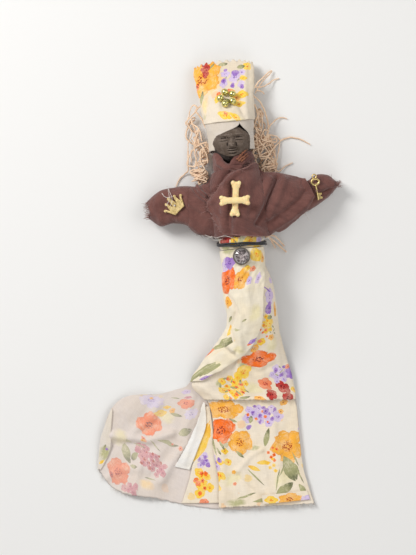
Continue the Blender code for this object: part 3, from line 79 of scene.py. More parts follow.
def read_table(rows: Sequence[Row], share: float) -> Row:
    """Read a table smoothly.

    Args:
        rows: Rows whose first column rises.
        share: Where to read.

    Returns:
        The other columns at that share.
    """
    last = len(rows) - 1
    if share <= rows[0][0]:
        return rows[0][1:]
    if share >= rows[last][0]:
        return rows[last][1:]
    here = max(index for index in range(last) if rows[index][0] <= share)
    before, after = max(here - 1, 0), min(here + 2, last)
    span = rows[here + 1][0] - rows[here][0]
    t = (share - rows[here][0]) / span
    values = []
    for column in range(1, len(rows[0])):
        p0, p1 = rows[here][column], rows[here + 1][column]
        m0 = (p1 - rows[before][column]) / (rows[here + 1][0] - rows[before][0]) * span
        m1 = (rows[after][column] - p0) / (rows[after][0] - rows[here][0]) * span
        values.append((2 * t**3 - 3 * t**2 + 1) * p0 + (t**3 - 2 * t**2 + t) * m0
                      + (3 * t**2 - 2 * t**3) * p1 + (t**3 - t**2) * m1)
    return tuple(values)


def along(points: Sequence[Row], share: float) -> Vector:
    """Point at a share of a chain of places, smooth through each of them."""
    last = len(points) - 1
    return Vector(read_table([(index / last, *point) for index, point in enumerate(points)], share))


@dataclass(frozen=True)
class PhotoMap:
    """Where a point of the photograph lies on the table.

    Attributes:
        pixel: Real size of one pixel.
        waist: Pixel over the middle of the waist.
        middle: Pixel in the middle of the photograph.
        size: Columns and rows of the photograph.
        turn: Degrees from the photograph's up to the spine stick.
    """

    pixel: float = 0.0009
    waist: Pixel = (241.7, 245.0)
    middle: Pixel = (208.0, 277.5)
    size: Pixel = (416.0, 555.0)
    turn: float = 5.8

    def spot(self, at: Pixel) -> Vector:
        """Place on the table under a pixel, as x and y."""
        across = (at[0] - self.waist[0]) * self.pixel
        up = (self.waist[1] - at[1]) * self.pixel
        turn = math.radians(self.turn)
        return Vector((WAIST.x + across * math.cos(turn) + up * math.sin(turn),
                       WAIST.y + up * math.cos(turn) - across * math.sin(turn)))


@dataclass(frozen=True)
class Build:
    """Sizes that several sub-assemblies share.

    Attributes:
        cloth: Thickness of every cloth.
        gap: Clearance between two cloths.
        waist_radius: Radius of the gathered waist.
        waist_lift: Height of the waist's underside over the table.
    """

    cloth: float = 0.0009
    gap: float = 0.0005
    waist_radius: float = 0.0202
    waist_lift: float = 0.0030

    @property
    def layer(self) -> float:
        """Rise from one cloth to the next."""
        return self.cloth + self.gap

    @property
    def spine(self) -> float:
        """Height of the spine stick's axis."""
        return self.waist_radius + self.waist_lift


BUILD = Build()
PHOTO = PhotoMap()
WAIST = joint_place("belt_turn") - Vector((0.0, 0.0, BUILD.spine))


class Graph:
    """Short way to add nodes to a tree and join them."""

    def __init__(self, tree: bpy.types.NodeTree) -> None:
        """Work on one tree."""
        self.tree = tree

    def put(self, socket: Socket, value: object) -> None:
        """Set or link one input."""
        if isinstance(value, bpy.types.NodeSocket):
            self.tree.links.new(value, socket)
        else:
            socket.default_value = value

    def add(self, kind: str, values: dict[str | int, object] | None = None,
            **settings: object) -> bpy.types.Node:
        """Add a node.

        Args:
            kind: Type name of the node.
            values: Inputs to set or link, by name or number.
            **settings: Properties of the node, set first.

        Returns:
            The new node.
        """
        node = self.tree.nodes.new(kind)
        for name, setting in settings.items():
            setattr(node, name, setting)
        for name, value in (values or {}).items():
            self.put(node.inputs[name], value)
        return node

    def math(self, operation: str, *values: object) -> Socket:
        """Result of a Math node."""
        return self.add("ShaderNodeMath", dict(enumerate(values)), operation=operation).outputs[0]

    def vector(self, operation: str, *values: object) -> Socket:
        """Result of a Vector Math node."""
        node = self.add("ShaderNodeVectorMath", dict(enumerate(values)), operation=operation)
        return node.outputs["Value" if operation in ("LENGTH", "DISTANCE") else "Vector"]

    def join(self, x: object, y: object, z: object) -> Socket:
        """Vector from three numbers."""
        return self.add("ShaderNodeCombineXYZ", {0: x, 1: y, 2: z}).outputs[0]

    def split(self, vector: Socket) -> tuple[Socket, Socket, Socket]:
        """Three numbers of a vector."""
        node = self.add("ShaderNodeSeparateXYZ", {0: vector})
        return node.outputs[0], node.outputs[1], node.outputs[2]

    def mix(self, share: object, first: object, second: object, blend: str = "MIX") -> Socket:
        """Blend of two colours, given as colours of three numbers or as sockets."""
        node = self.add("ShaderNodeMix", data_type="RGBA", blend_type=blend, clamp_factor=True)
        self.put(node.inputs[0], share)
        for socket, value in ((node.inputs[6], first), (node.inputs[7], second)):
            self.put(socket, value if isinstance(value, bpy.types.NodeSocket) else (*value, 1.0))
        return node.outputs[2]

    def remap(self, value: object, low: float, high: float, start: float = 0.0, end: float = 1.0) -> Socket:
        """Smooth, clamped change of range."""
        values = {"Value": value, "From Min": low, "From Max": high, "To Min": start, "To Max": end}
        return self.add("ShaderNodeMapRange", values, interpolation_type="SMOOTHSTEP").outputs[0]

    def noise(self, place: object, scale: float, detail: float = 2.0, roughness: float = 0.5) -> Socket:
        """Noise value at a place."""
        values = {"Vector": place, "Scale": scale, "Detail": detail, "Roughness": roughness}
        return self.add("ShaderNodeTexNoise", values).outputs[0]


class Group(Graph):
    """A node group under construction, with its named inputs and outputs."""

    SOCKETS = {float: "NodeSocketFloat", int: "NodeSocketInt", tuple: "NodeSocketVector"}

    def __init__(self, name: str, kind: str, inputs: dict[str, object], outputs: dict[str, str]) -> None:
        """Make the group.

        Args:
            name: Name of the group.
            kind: Type of tree.
            inputs: Each input's name with its default, or with a socket type.
            outputs: Each output's name with its socket type.
        """
        super().__init__(bpy.data.node_groups.new(name, kind))
        face = self.tree.interface
        for title, default in inputs.items():
            words = isinstance(default, str)
            socket_type = default if words else self.SOCKETS[type(default)]
            socket = face.new_socket(name=title, in_out="INPUT", socket_type=socket_type)
            if not words:
                socket.default_value = default
        for title, socket_type in outputs.items():
            face.new_socket(name=title, in_out="OUTPUT", socket_type=socket_type)
        self.entry = self.tree.nodes.new("NodeGroupInput")
        self.exit = self.tree.nodes.new("NodeGroupOutput")

    def __getitem__(self, title: str) -> Socket:
        """One of the group's inputs."""
        return self.entry.outputs[title]

    def give(self, title: str, value: Socket) -> None:
        """Send a value out of the group."""
        self.put(self.exit.inputs[title], value)


def blossom_group() -> bpy.types.NodeTree:
    """Group that lays one layer of watercolour flowers and leaves over a ground.

    Returns:
        Group from a ground and a flower's own coordinates to a colour.
    """
    group = Group("watercolour_blossom", "ShaderNodeTree",
                  {"Ground": "NodeSocketColor", "Place": (0.0, 0.0, 0.0), "Tint": "NodeSocketColor",
                   "Heart": "NodeSocketColor", "Leaf": 0.0, "Soft": 0.0, "Stain": (0.0, 0.0, 0.0)},
                  {"Colour": "NodeSocketColor"})
    x, y, petals = group.split(group["Place"])
    radius = group.vector("LENGTH", group.join(x, y, 0.0))
    turn = group.math("MULTIPLY", group.math("ARCTAN2", y, x), group.math("MULTIPLY", petals, 0.5))
    wave = group.math("ABSOLUTE", group.math("COSINE", turn))
    stain = group.math("SUBTRACT", group.noise(group["Stain"], 120.0, 4.0, 0.55), 0.5)
    reach = group.math("MULTIPLY_ADD", group.math("POWER", wave, 0.6), 0.26, 0.72)
    reach = group.math("MULTIPLY_ADD", stain, 0.9, reach)
    flower = group.math("DIVIDE", radius, reach)
    width = group.math("MAXIMUM", group.math("MULTIPLY_ADD", group.math("MULTIPLY", x, x), -1.0, 1.0), 0.04)
    blade = group.math("MAXIMUM", group.math("DIVIDE", group.math("ABSOLUTE", y), width),
                       group.math("ABSOLUTE", x))
    blade = group.math("MULTIPLY_ADD", stain, 0.8, blade)
    is_leaf = group["Leaf"]
    edge = group.math("ADD", group.math("MULTIPLY", blade, is_leaf),
                      group.math("MULTIPLY", flower, group.math("SUBTRACT", 1.0, is_leaf)))
    spread = group.math("MULTIPLY_ADD", group["Soft"], 0.75, 0.07)
    inside = group.remap(group.math("DIVIDE", group.math("SUBTRACT", 1.0, edge), spread), 0.0, 1.0)
    ray = group.vector("SCALE", group["Place"])
    group.put(ray.node.inputs["Scale"], group.math("DIVIDE", 2.2, group.math("ADD", radius, 0.10)))
    streak = group.noise(group.vector("ADD", ray, group.join(0.0, 0.0, group.math("MULTIPLY", radius, 1.4))),
                         1.5, 3.0, 0.6)
    light = group.mix(0.45, group["Tint"], (1.0, 0.88, 0.66))
    deep = group.mix(0.5, group["Tint"], group["Heart"])
    wash = group.mix(group.remap(group.math("ADD", streak, stain), 0.42, 0.80), group["Tint"], light)
    rim = group.math("MULTIPLY", group.remap(edge, 0.80, 0.97, 0.0, 0.55),
                     group.remap(stain, -0.10, 0.16, 1.0, 0.0))
    wash = group.mix(rim, wash, deep)
    seam = group.math("MULTIPLY", group.remap(wave, 0.26, 0.0), group.remap(radius, 0.20, 0.55, 0.0, 0.40))
    seam = group.math("MULTIPLY", seam, group.math("SUBTRACT", 1.0, is_leaf))
    wash = group.mix(seam, wash, deep)
    speck = group.remap(group.noise(group["Stain"], 760.0, 1.0), 0.47, 0.55)
    ring = group.math("MULTIPLY", group.remap(radius, 0.36, 0.22), group.remap(radius, 0.02, 0.10))
    tip = group.math("MULTIPLY", group.remap(x, -0.1, 0.9), group.remap(streak, 0.35, 0.62, 1.0, 0.25))
    heart = group.math("ADD", group.math("MULTIPLY", tip, is_leaf),
                       group.math("MULTIPLY", group.math("MULTIPLY", ring, speck),
                                  group.math("SUBTRACT", 1.0, is_leaf)))
    wash = group.mix(heart, wash, group["Heart"])
    group.give("Colour", group.mix(inside, group["Ground"], wash))
    return group.tree


def sprig_group() -> bpy.types.NodeTree:
    """Group that scatters small sprigs and buds of the print.

    Returns:
        Group from a place to a mask and a number that picks the colour.
    """
    group = Group("scattered_sprigs", "ShaderNodeTree", {"Place": (0.0, 0.0, 0.0), "Each Metre": 62.0},
                  {"Mask": "NodeSocketFloat", "Pick": "NodeSocketFloat"})
    bend = group.noise(group["Place"], 260.0, 2.0)
    place = group.vector("ADD", group["Place"], group.join(group.math("MULTIPLY", bend, 0.007), 0.0, 0.0))
    cell = group.add("ShaderNodeTexVoronoi", {"Vector": place, "Scale": group["Each Metre"]})
    tone, size, pick = group.split(cell.outputs["Color"])
    size = group.math("MULTIPLY_ADD", size, 0.16, 0.10)
    near = group.math("SUBTRACT", size, cell.outputs["Distance"])
    mask = group.math("MULTIPLY", group.remap(near, 0.0, 0.03), group.remap(tone, 0.50, 0.52))
    group.give("Mask", mask)
    group.give("Pick", pick)
    return group.tree


def weave_group() -> bpy.types.NodeTree:
    """Group for plain woven threads.

    Returns:
        Group from a place and a thread pitch to a height and a shade.
    """
    group = Group("plain_weave", "ShaderNodeTree", {"Place": (0.0, 0.0, 0.0), "Pitch": 0.0006},
                  {"Height": "NodeSocketFloat", "Shade": "NodeSocketFloat"})
    often = group.math("DIVIDE", 1.0, group["Pitch"])
    rarely = group.math("MULTIPLY", often, 0.09)
    threads = []
    for steps in ((often, rarely), (rarely, often)):
        place = group.vector("MULTIPLY", group["Place"], group.join(*steps, 1.0))
        threads.append(group.noise(place, 1.0, 1.0))
    height = group.math("ADD", *threads)
    group.give("Height", height)
    group.give("Shade", group.remap(height, 0.7, 1.25, 0.955, 1.02))
    return group.tree


def wear_group() -> bpy.types.NodeTree:
    """Group for uneven age, handling and dust.

    Returns:
        Group from a place and a patch size to a cloudy mask and a fine one.
    """
    group = Group("handled_wear", "ShaderNodeTree", {"Place": (0.0, 0.0, 0.0), "Patch": 0.02},
                  {"Cloud": "NodeSocketFloat", "Fine": "NodeSocketFloat"})
    often = group.math("DIVIDE", 1.0, group["Patch"])
    group.give("Cloud", group.remap(group.noise(group["Place"], often, 3.0, 0.6), 0.36, 0.66))
    fine = group.noise(group["Place"], group.math("MULTIPLY", often, 9.0), 2.0)
    group.give("Fine", group.remap(fine, 0.40, 0.62))
    return group.tree


SHARED = {"blossom": blossom_group(), "sprigs": sprig_group(), "weave": weave_group(), "wear": wear_group()}


@dataclass(frozen=True)
class Finish:
    """A named surface finish; its material is built once."""

    name: str

    def material(self) -> bpy.types.Material:
        """Material of this finish."""
        return bpy.data.materials.get(self.name) or self.build()

    def build(self) -> bpy.types.Material:
        """Build the material."""
        raise NotImplementedError

    def start(self, **values: object) -> tuple[bpy.types.Material, Graph, bpy.types.Node]:
        """Make the material with its shader.

        Args:
            **values: Inputs of the shader, with _ for a space.

        Returns:
            The material, its graph and its Principled BSDF.
        """
        material = bpy.data.materials.new(self.name)
        material.use_nodes = True
        graph = Graph(material.node_tree)
        shader = material.node_tree.nodes["Principled BSDF"]
        for name, value in values.items():
            graph.put(shader.inputs[name.replace("_", " ")], value)
        return material, graph, shader

    @staticmethod
    def shared(graph: Graph, key: str, values: dict[str, object]) -> bpy.types.Node:
        """Place one of the shared groups."""
        return graph.add("ShaderNodeGroup", values, node_tree=SHARED[key])

    @staticmethod
    def bump(graph: Graph, shader: bpy.types.Node, height: Socket, depth: float,
             strength: float = 0.6) -> None:
        """Roughen the surface of a shader by a height."""
        relief = graph.add("ShaderNodeBump", {"Height": height, "Distance": depth, "Strength": strength})
        graph.put(shader.inputs["Normal"], relief.outputs["Normal"])


@dataclass(frozen=True)
class PrintedCotton(Finish):
    """Cream cotton with a watercolour floral print.

    Attributes:
        ground: Colour of the bare cloth.
        fade: Share of the ground that shows through, high on the reverse side.
        sprigs: Strength of the small scattered sprigs.
    """

    ground: Colour = (0.86, 0.755, 0.61)
    fade: float = 0.0
    sprigs: float = 0.5

    LAYERS = ("back", "middle", "front")
    SPRIG_TINTS = ((0.94, 0.60, 0.08), (0.92, 0.40, 0.05), (0.86, 0.66, 0.30), (0.50, 0.50, 0.26),
                   (0.92, 0.50, 0.20), (0.96, 0.78, 0.34))

    def build(self) -> bpy.types.Material:
        """Build the material."""
        material, graph, shader = self.start(Roughness=0.92, Sheen_Weight=0.12, Specular_IOR_Level=0.25)
        place = graph.add("ShaderNodeUVMap", uv_map="cloth").outputs[0]
        wear = self.shared(graph, "wear", {"Place": place, "Patch": 0.030})
        weave = self.shared(graph, "weave", {"Place": place, "Pitch": 0.0007})
        tea = tuple(value * tone for value, tone in zip(self.ground, (0.98, 0.93, 0.82)))
        colour = graph.mix(graph.math("MULTIPLY", wear.outputs["Cloud"], 0.55), self.ground, tea)
        sprigs = self.shared(graph, "sprigs", {"Place": place})
        picked = graph.add("ShaderNodeValToRGB", {"Fac": sprigs.outputs["Pick"]})
        ramp = picked.color_ramp
        ramp.interpolation = "CONSTANT"
        for index, tint in enumerate(self.SPRIG_TINTS):
            stop = ramp.elements[index] if index < 2 else ramp.elements.new(0.5)
            stop.position = index / len(self.SPRIG_TINTS)
            stop.color = (*tint, 1.0)
        strength = graph.math("MULTIPLY", sprigs.outputs["Mask"], self.sprigs)
        colour = graph.mix(strength, colour, picked.outputs["Color"])
        for layer in self.LAYERS:
            tint = graph.add("ShaderNodeAttribute", attribute_name="tint_" + layer)
            heart = graph.add("ShaderNodeAttribute", attribute_name="heart_" + layer)
            local = graph.add("ShaderNodeAttribute", attribute_name="place_" + layer)
            values = {"Ground": colour, "Place": local.outputs["Vector"], "Tint": tint.outputs["Color"],
                      "Heart": heart.outputs["Color"], "Leaf": tint.outputs["Alpha"],
                      "Soft": heart.outputs["Alpha"], "Stain": place}
            colour = self.shared(graph, "blossom", values).outputs["Colour"]
        colour = graph.mix(self.fade, colour, self.ground)
        colour = graph.mix(1.0, colour, graph.join(*[weave.outputs["Shade"]] * 3), "MULTIPLY")
        graph.put(shader.inputs["Base Color"], colour)
        height = graph.math("MULTIPLY_ADD", wear.outputs["Fine"], 0.8, weave.outputs["Height"])
        self.bump(graph, shader, height, 0.0002, 0.4)
        return material


@dataclass(frozen=True)
class WovenCloth(Finish):
    """Plain woven cloth that has been handled.

    Attributes:
        colour: Colour on the high parts.
        deep: Colour in the furrows.
        pitch: Distance between its threads.
        sheen: Fuzz seen at a grazing angle.
    """

    colour: Colour = (0.185, 0.078, 0.064)
    deep: Colour = (0.085, 0.032, 0.028)
    pitch: float = 0.0008
    sheen: float = 0.25

    def build(self) -> bpy.types.Material:
        """Build the material."""
        material, graph, shader = self.start(Roughness=0.95, Sheen_Weight=self.sheen, Specular_IOR_Level=0.2)
        place = graph.add("ShaderNodeUVMap", uv_map="cloth").outputs[0]
        wear = self.shared(graph, "wear", {"Place": place, "Patch": 0.016})
        weave = self.shared(graph, "weave", {"Place": place, "Pitch": self.pitch})
        colour = graph.mix(graph.math("MULTIPLY", wear.outputs["Cloud"], 0.5), self.colour, self.deep)
        colour = graph.mix(graph.math("MULTIPLY", wear.outputs["Fine"], 0.18), colour, self.colour)
        colour = graph.mix(1.0, colour, graph.join(*[weave.outputs["Shade"]] * 3), "MULTIPLY")
        graph.put(shader.inputs["Base Color"], colour)
        height = graph.math("MULTIPLY_ADD", wear.outputs["Fine"], 0.9, weave.outputs["Height"])
        self.bump(graph, shader, height, 0.00028, 0.8)
        return material


@dataclass(frozen=True)
class Fibre(Finish):
    """Dry plant fibre, thread or twig, streaked along the piece.

    Attributes:
        pale: Colour of most of it.
        deep: Colour of the darker streaks.
        patch: Length of a streak.
        roughness: How matt it is.
    """

    pale: Colour = (0.79, 0.50, 0.31)
    deep: Colour = (0.47, 0.26, 0.14)
    patch: float = 0.006
    roughness: float = 0.8

    def build(self) -> bpy.types.Material:
        """Build the material."""
        material, graph, shader = self.start(Roughness=self.roughness, Sheen_Weight=0.1)
        place = graph.add("ShaderNodeTexCoord").outputs["Object"]
        wear = self.shared(graph, "wear", {"Place": place, "Patch": self.patch})
        share = graph.math("MULTIPLY_ADD", wear.outputs["Fine"], 0.35,
                           graph.math("MULTIPLY", wear.outputs["Cloud"], 0.6))
        graph.put(shader.inputs["Base Color"], graph.mix(share, self.pale, self.deep))
        self.bump(graph, shader, wear.outputs["Fine"], 0.0001)
        return material


@dataclass(frozen=True)
class CastMetal(Finish):
    """Gilt or silvered casting, rubbed on the high parts.

    Attributes:
        bright: Colour where it is rubbed.
        dull: Colour of the tarnish.
        grain: Distance between the hammered dimples.
        depth: Depth of the dimples.
        roughness: Roughness of the bright metal.
    """

    bright: Colour = (0.90, 0.70, 0.30)
    dull: Colour = (0.42, 0.30, 0.09)
    grain: float = 0.0009
    depth: float = 0.00025
    roughness: float = 0.28

    def build(self) -> bpy.types.Material:
        """Build the material."""
        material, graph, shader = self.start(Metallic=1.0)
        place = graph.add("ShaderNodeTexCoord").outputs["Object"]
        wear = self.shared(graph, "wear", {"Place": place, "Patch": 0.004})
        dimples = graph.add("ShaderNodeTexVoronoi", {"Vector": place, "Scale": 1.0 / self.grain})
        pit = graph.remap(dimples.outputs["Distance"], 0.05, 0.55)
        share = graph.math("MULTIPLY", wear.outputs["Cloud"], graph.math("MULTIPLY_ADD", pit, -0.5, 0.9))
        graph.put(shader.inputs["Base Color"], graph.mix(share, self.bright, self.dull))
        graph.put(shader.inputs["Roughness"],
                  graph.remap(wear.outputs["Cloud"], 0.0, 1.0, self.roughness, self.roughness + 0.22))
        self.bump(graph, shader, pit, self.depth)
        return material


@dataclass(frozen=True)
class Clay(Finish):
    """Dark baked clay with grit pits and random rubbed patches, painted shade in its hollows and a painted
    highlight on its bulges.
    """

    body: Colour = (0.122, 0.088, 0.066)
    # The lighter colour serves random rubbed patches and a painted highlight on bulges; the pit colour serves
    # grit specks and painted shade in hollows.
    rubbed_and_lit: Colour = (0.230, 0.180, 0.145)
    pit: Colour = (0.028, 0.020, 0.016)

    def build(self) -> bpy.types.Material:
        """Build the material."""
        material, graph, shader = self.start(Roughness=0.8, Specular_IOR_Level=0.2)
        place = graph.add("ShaderNodeTexCoord").outputs["Object"]
        wear = self.shared(graph, "wear", {"Place": place, "Patch": 0.005})
        hollow = graph.add("ShaderNodeAttribute", attribute_name="hollow").outputs["Fac"]
        colour = graph.mix(graph.math("MULTIPLY", wear.outputs["Cloud"], 0.5), self.body, self.rubbed_and_lit)
        # Painted highlight: the lighter colour goes on the parts of the relief that bulge out.
        colour = graph.mix(graph.remap(hollow, 0.42, 0.20, 0.0, 0.7), colour, self.rubbed_and_lit)
        # Painted shade: the pit colour fills the hollows of the relief, where shade falls.
        colour = graph.mix(graph.remap(hollow, 0.53, 0.76, 0.0, 0.95), colour, self.pit)
        grit = graph.noise(place, 1600.0, 2.0)
        colour = graph.mix(graph.remap(grit, 0.56, 0.66, 0.0, 0.35), colour, self.pit)
        graph.put(shader.inputs["Base Color"], colour)
        self.bump(graph, shader, graph.math("ADD", grit, wear.outputs["Fine"]), 0.0003)
        return material


@dataclass(frozen=True)
class CarvedBone(Finish):
    """Polished ivory-coloured bone with patchy stains, and painted shade that browns its hollows."""

    ivory: Colour = (0.95, 0.74, 0.37)
    stain: Colour = (0.70, 0.42, 0.14)

    def build(self) -> bpy.types.Material:
        """Build the material."""
        material, graph, shader = self.start(Roughness=0.38, Subsurface_Weight=0.15, Subsurface_Scale=0.002,
                                             Coat_Weight=0.15, Coat_Roughness=0.3)
        place = graph.add("ShaderNodeTexCoord").outputs["Object"]
        wear = self.shared(graph, "wear", {"Place": place, "Patch": 0.005})
        hollow = graph.add("ShaderNodeAttribute", attribute_name="hollow").outputs["Fac"]
        # The stain colour makes the random stains and also the painted shade in the hollows.
        share = graph.math("MAXIMUM", graph.math("MULTIPLY", wear.outputs["Cloud"], 0.30),
                           graph.remap(hollow, 0.50, 0.80, 0.0, 0.9))
        graph.put(shader.inputs["Base Color"], graph.mix(share, self.ivory, self.stain))
        self.bump(graph, shader, wear.outputs["Fine"], 0.0001)
        return material


@dataclass(frozen=True)
class CutGlass(Finish):
    """Clear cut stone over a silver foil, with fine scratches and faint clouds."""

    tint: Colour = (0.98, 0.975, 0.97)
    cloud: Colour = (0.88, 0.87, 0.88)

    def build(self) -> bpy.types.Material:
        """Build the material."""
        material, graph, shader = self.start(IOR=1.48, Transmission_Weight=1.0, Coat_Weight=0.3)
        place = graph.add("ShaderNodeTexCoord").outputs["Object"]
        wear = self.shared(graph, "wear", {"Place": place, "Patch": 0.003})
        graph.put(shader.inputs["Base Color"], graph.mix(wear.outputs["Cloud"], self.tint, self.cloud))
        graph.put(shader.inputs["Roughness"], graph.remap(wear.outputs["Fine"], 0.0, 1.0, 0.01, 0.07))
        return material


@dataclass(frozen=True)
class FacetFoil(Finish):
    """Silvered foil behind the stone, with painted reflections: light and dark patches that stand in for its
    facets.
    """

    bright: Colour = (0.90, 0.78, 0.76)
    dark: Colour = (0.17, 0.125, 0.12)
    facet: float = 0.0012
    metal: float = 0.10

    def build(self) -> bpy.types.Material:
        """Build the material."""
        material, graph, shader = self.start(Metallic=self.metal, Roughness=0.16)
        place = graph.add("ShaderNodeTexCoord").outputs["Object"]
        cell = graph.add("ShaderNodeTexVoronoi", {"Vector": place, "Scale": 1.0 / self.facet})
        share = graph.remap(graph.split(cell.outputs["Color"])[0], 0.20, 0.80)
        # Painted reflections: each cell is a facet, made bright or dark at random.
        graph.put(shader.inputs["Base Color"], graph.mix(share, self.dark, self.bright))
        self.bump(graph, shader, cell.outputs["Distance"], 0.0004)
        return material


@dataclass(frozen=True)
class StudioSurface(Finish):
    """Plain pale floor that looks white to the camera and keeps the shadow."""

    colour: Colour = (0.82, 0.81, 0.79)

    def build(self) -> bpy.types.Material:
        """Build the material."""
        material, _, _ = self.start(Roughness=0.9, Base_Color=(*self.colour, 1.0), Specular_IOR_Level=0.1)
        return material


PRINT = PrintedCotton("printed_cotton")
PRINT_BACK = PrintedCotton("printed_cotton_reverse", (0.74, 0.655, 0.60), 0.30, 0.3)
WRAP = PrintedCotton("wrapped_cotton", (0.85, 0.765, 0.61), 0.0, 0.10)
WHITE = PrintedCotton("white_cotton", (0.88, 0.85, 0.81), 0.0, 0.0)
LINING = PrintedCotton("cream_cotton", (0.78, 0.71, 0.635), 0.0, 0.0)
HAT_PRINT = PrintedCotton("hat_cotton", (0.79, 0.69, 0.555))
# Painted shade: a darker copy of the cream lining, for the lining that lies in shade under the hat.
HAT_LINING_SHADED = PrintedCotton("hat_lining_cotton_painted_shade", (0.66, 0.59, 0.52), 0.0, 0.0)
BROWN = WovenCloth("brown_cotton")
BROWN_PALE = Fibre("brown_cotton_rolled", (0.27, 0.135, 0.115), (0.16, 0.07, 0.058), 0.003)
# Painted shade: a darker copy of the brown cotton for the inner sides, which lie in shade.
BROWN_SHADED_INSIDE = WovenCloth("brown_cotton_inside_painted_shade", (0.11, 0.045, 0.037), (0.05, 0.02, 0.017))
RUST = Fibre("rust_cotton", (0.33, 0.12, 0.055), (0.15, 0.05, 0.03), 0.002)
HEAD_CLOTH = Fibre("head_cotton", (0.105, 0.080, 0.065), (0.050, 0.036, 0.030), 0.003)
WOOL = WovenCloth("wool_stuffing", (0.72, 0.68, 0.60), (0.5, 0.46, 0.38), 0.0015)
HUSK = Fibre("dry_husk", (0.74, 0.62, 0.38), (0.52, 0.40, 0.20), 0.02)
RAFFIA = Fibre("raffia", (0.92, 0.69, 0.49), (0.74, 0.50, 0.33))
TWIG = Fibre("dry_twig", (0.36, 0.24, 0.14), (0.16, 0.10, 0.06), 0.004)
THREAD = Fibre("pale_thread", (0.84, 0.79, 0.74), (0.60, 0.54, 0.48), 0.003)
BROWN_THREAD = Fibre("brown_thread", (0.34, 0.18, 0.155), (0.17, 0.08, 0.065), 0.003)
BLACK_CORD = Fibre("black_cord", (0.012, 0.011, 0.013), (0.045, 0.045, 0.05), 0.002, 0.38)
GILT = CastMetal("hammered_gilt", (0.78, 0.60, 0.29), (0.40, 0.29, 0.11), 0.0009, 0.0005, 0.40)
BEAD_THREAD = Fibre("olive_thread", (0.50, 0.46, 0.16), (0.20, 0.18, 0.06), 0.001)
OLD_GOLD = CastMetal("old_gold", (0.84, 0.65, 0.28), (0.30, 0.21, 0.07), 0.0020, 0.00008, 0.24)
BEAD_GOLD = CastMetal("bead_gold", (0.80, 0.74, 0.30), (0.36, 0.33, 0.09), 0.0030, 0.00002, 0.10)
SILVER = CastMetal("dark_silver", (0.27, 0.235, 0.20), (0.045, 0.036, 0.030), 0.0016, 0.00006, 0.28)
# Painted reflections: light and dark facet patches on the foil behind the stone.
FOIL = FacetFoil("stone_foil_painted_reflections")
# Painted highlight: a bright, near-white ring of foil for the light ring seen inside the stone's rim.
RING_HIGHLIGHT_FOIL = FacetFoil("stone_ring_painted_highlight", (0.96, 0.94, 0.91), (0.52, 0.47, 0.44), 0.0030)
CLAY = Clay("dark_clay")
BONE = CarvedBone("ivory_bone")
CRYSTAL = CutGlass("clear_crystal")
FLOOR = StudioSurface("pale_floor")


class Bloom(Enum):
    """Flowers and leaves of the print: petals, slimness, tint and heart colour."""

    POPPY = (4, 0.86, (0.95, 0.17, 0.015), (0.20, 0.012, 0.020))
    AMBER = (5, 0.94, (0.93, 0.44, 0.050), (0.38, 0.030, 0.015))
    YELLOW = (4, 0.90, (0.95, 0.62, 0.050), (0.88, 0.170, 0.020))
    LILAC = (5, 0.90, (0.66, 0.53, 0.76), (0.26, 0.130, 0.460))
    VIOLET = (3, 0.75, (0.33, 0.17, 0.56), (0.11, 0.030, 0.260))
    CORAL = (5, 0.90, (0.88, 0.23, 0.100), (0.42, 0.020, 0.030))
    RED = (5, 0.95, (0.52, 0.035, 0.030), (0.16, 0.010, 0.015))
    MAUVE = (5, 0.85, (0.62, 0.22, 0.27), (0.32, 0.050, 0.100))
    LEAF = (0, 0.34, (0.40, 0.39, 0.19), (0.075, 0.085, 0.050))
    STROKE = (0, 0.20, (0.93, 0.60, 0.080), (0.85, 0.420, 0.050))
    WASH = (0, 0.60, (0.92, 0.66, 0.330), (0.90, 0.560, 0.220))
    GLAZE = (0, 0.60, (0.50, 0.48, 0.25), (0.38, 0.370, 0.170))
    MIST = (0, 0.70, (0.86, 0.76, 0.480), (0.80, 0.690, 0.360))
    DAISY = (9, 0.80, (0.66, 0.58, 0.76), (0.40, 0.300, 0.560))


@dataclass(frozen=True)
class Motif:
    """One flower or leaf of the print.

    Attributes:
        bloom: Which one.
        at: Its middle in the photograph.
        size: Radius, or half the length of a leaf.
        turn: Degrees from the photograph's right, against the clock.
        slim: Its own width share, or 0 for the bloom's usual one.
    """

    bloom: Bloom
    at: Pixel
    size: float
    turn: float = 0.0
    slim: float = 0.0


def cluster(bloom: Bloom, middle: Pixel, reach: Pixel, size: float, count: int) -> tuple[Motif, ...]:
    """Small motifs scattered in an oval of the photograph.

    Args:
        bloom: Which one.
        middle: Middle of the oval.
        reach: Half its width and height, in pixels.
        size: Usual size of one motif.
        count: How many there are.

    Returns:
        The motifs, the same ones each time.
    """
    rng = random.Random(count + int(middle[0]) + int(middle[1]))
    motifs = []
    for index in range(count):
        turn, out = 2.4 * index, math.sqrt((index + 0.4) / count)
        at = (middle[0] + reach[0] * (out * math.cos(turn) + rng.uniform(-0.12, 0.12)),
              middle[1] + reach[1] * (out * math.sin(turn) + rng.uniform(-0.12, 0.12)))
        motifs.append(Motif(bloom, at, size * rng.uniform(0.75, 1.25), rng.uniform(0, 360)))
    return tuple(motifs)


@dataclass(frozen=True)
class Fold:
    """A fold or furrow of cloth along a line of the photograph.

    Attributes:
        path: Points of the line.
        height: Height of the fold; less than 0 for a furrow.
        width: Half width of its flank.
    """

    path: tuple[Pixel, ...]
    height: float
    width: float

    def lift(self, places: np.ndarray) -> np.ndarray:
        """Height of the fold at many places.

        Args:
            places: Rows of x and y.

        Returns:
            One height for each row.
        """
        best = np.full(len(places), np.inf)
        points = [np.array(PHOTO.spot(pixel)) for pixel in self.path]
        for start, end in zip(points[:-1], points[1:]):
            step = end - start
            t = np.clip(((places - start) @ step) / (step @ step), 0.0, 1.0)
            best = np.minimum(best, np.hypot(*(places - start - t[:, None] * step).T))
        return self.height * np.exp(-((best / self.width) ** 2))


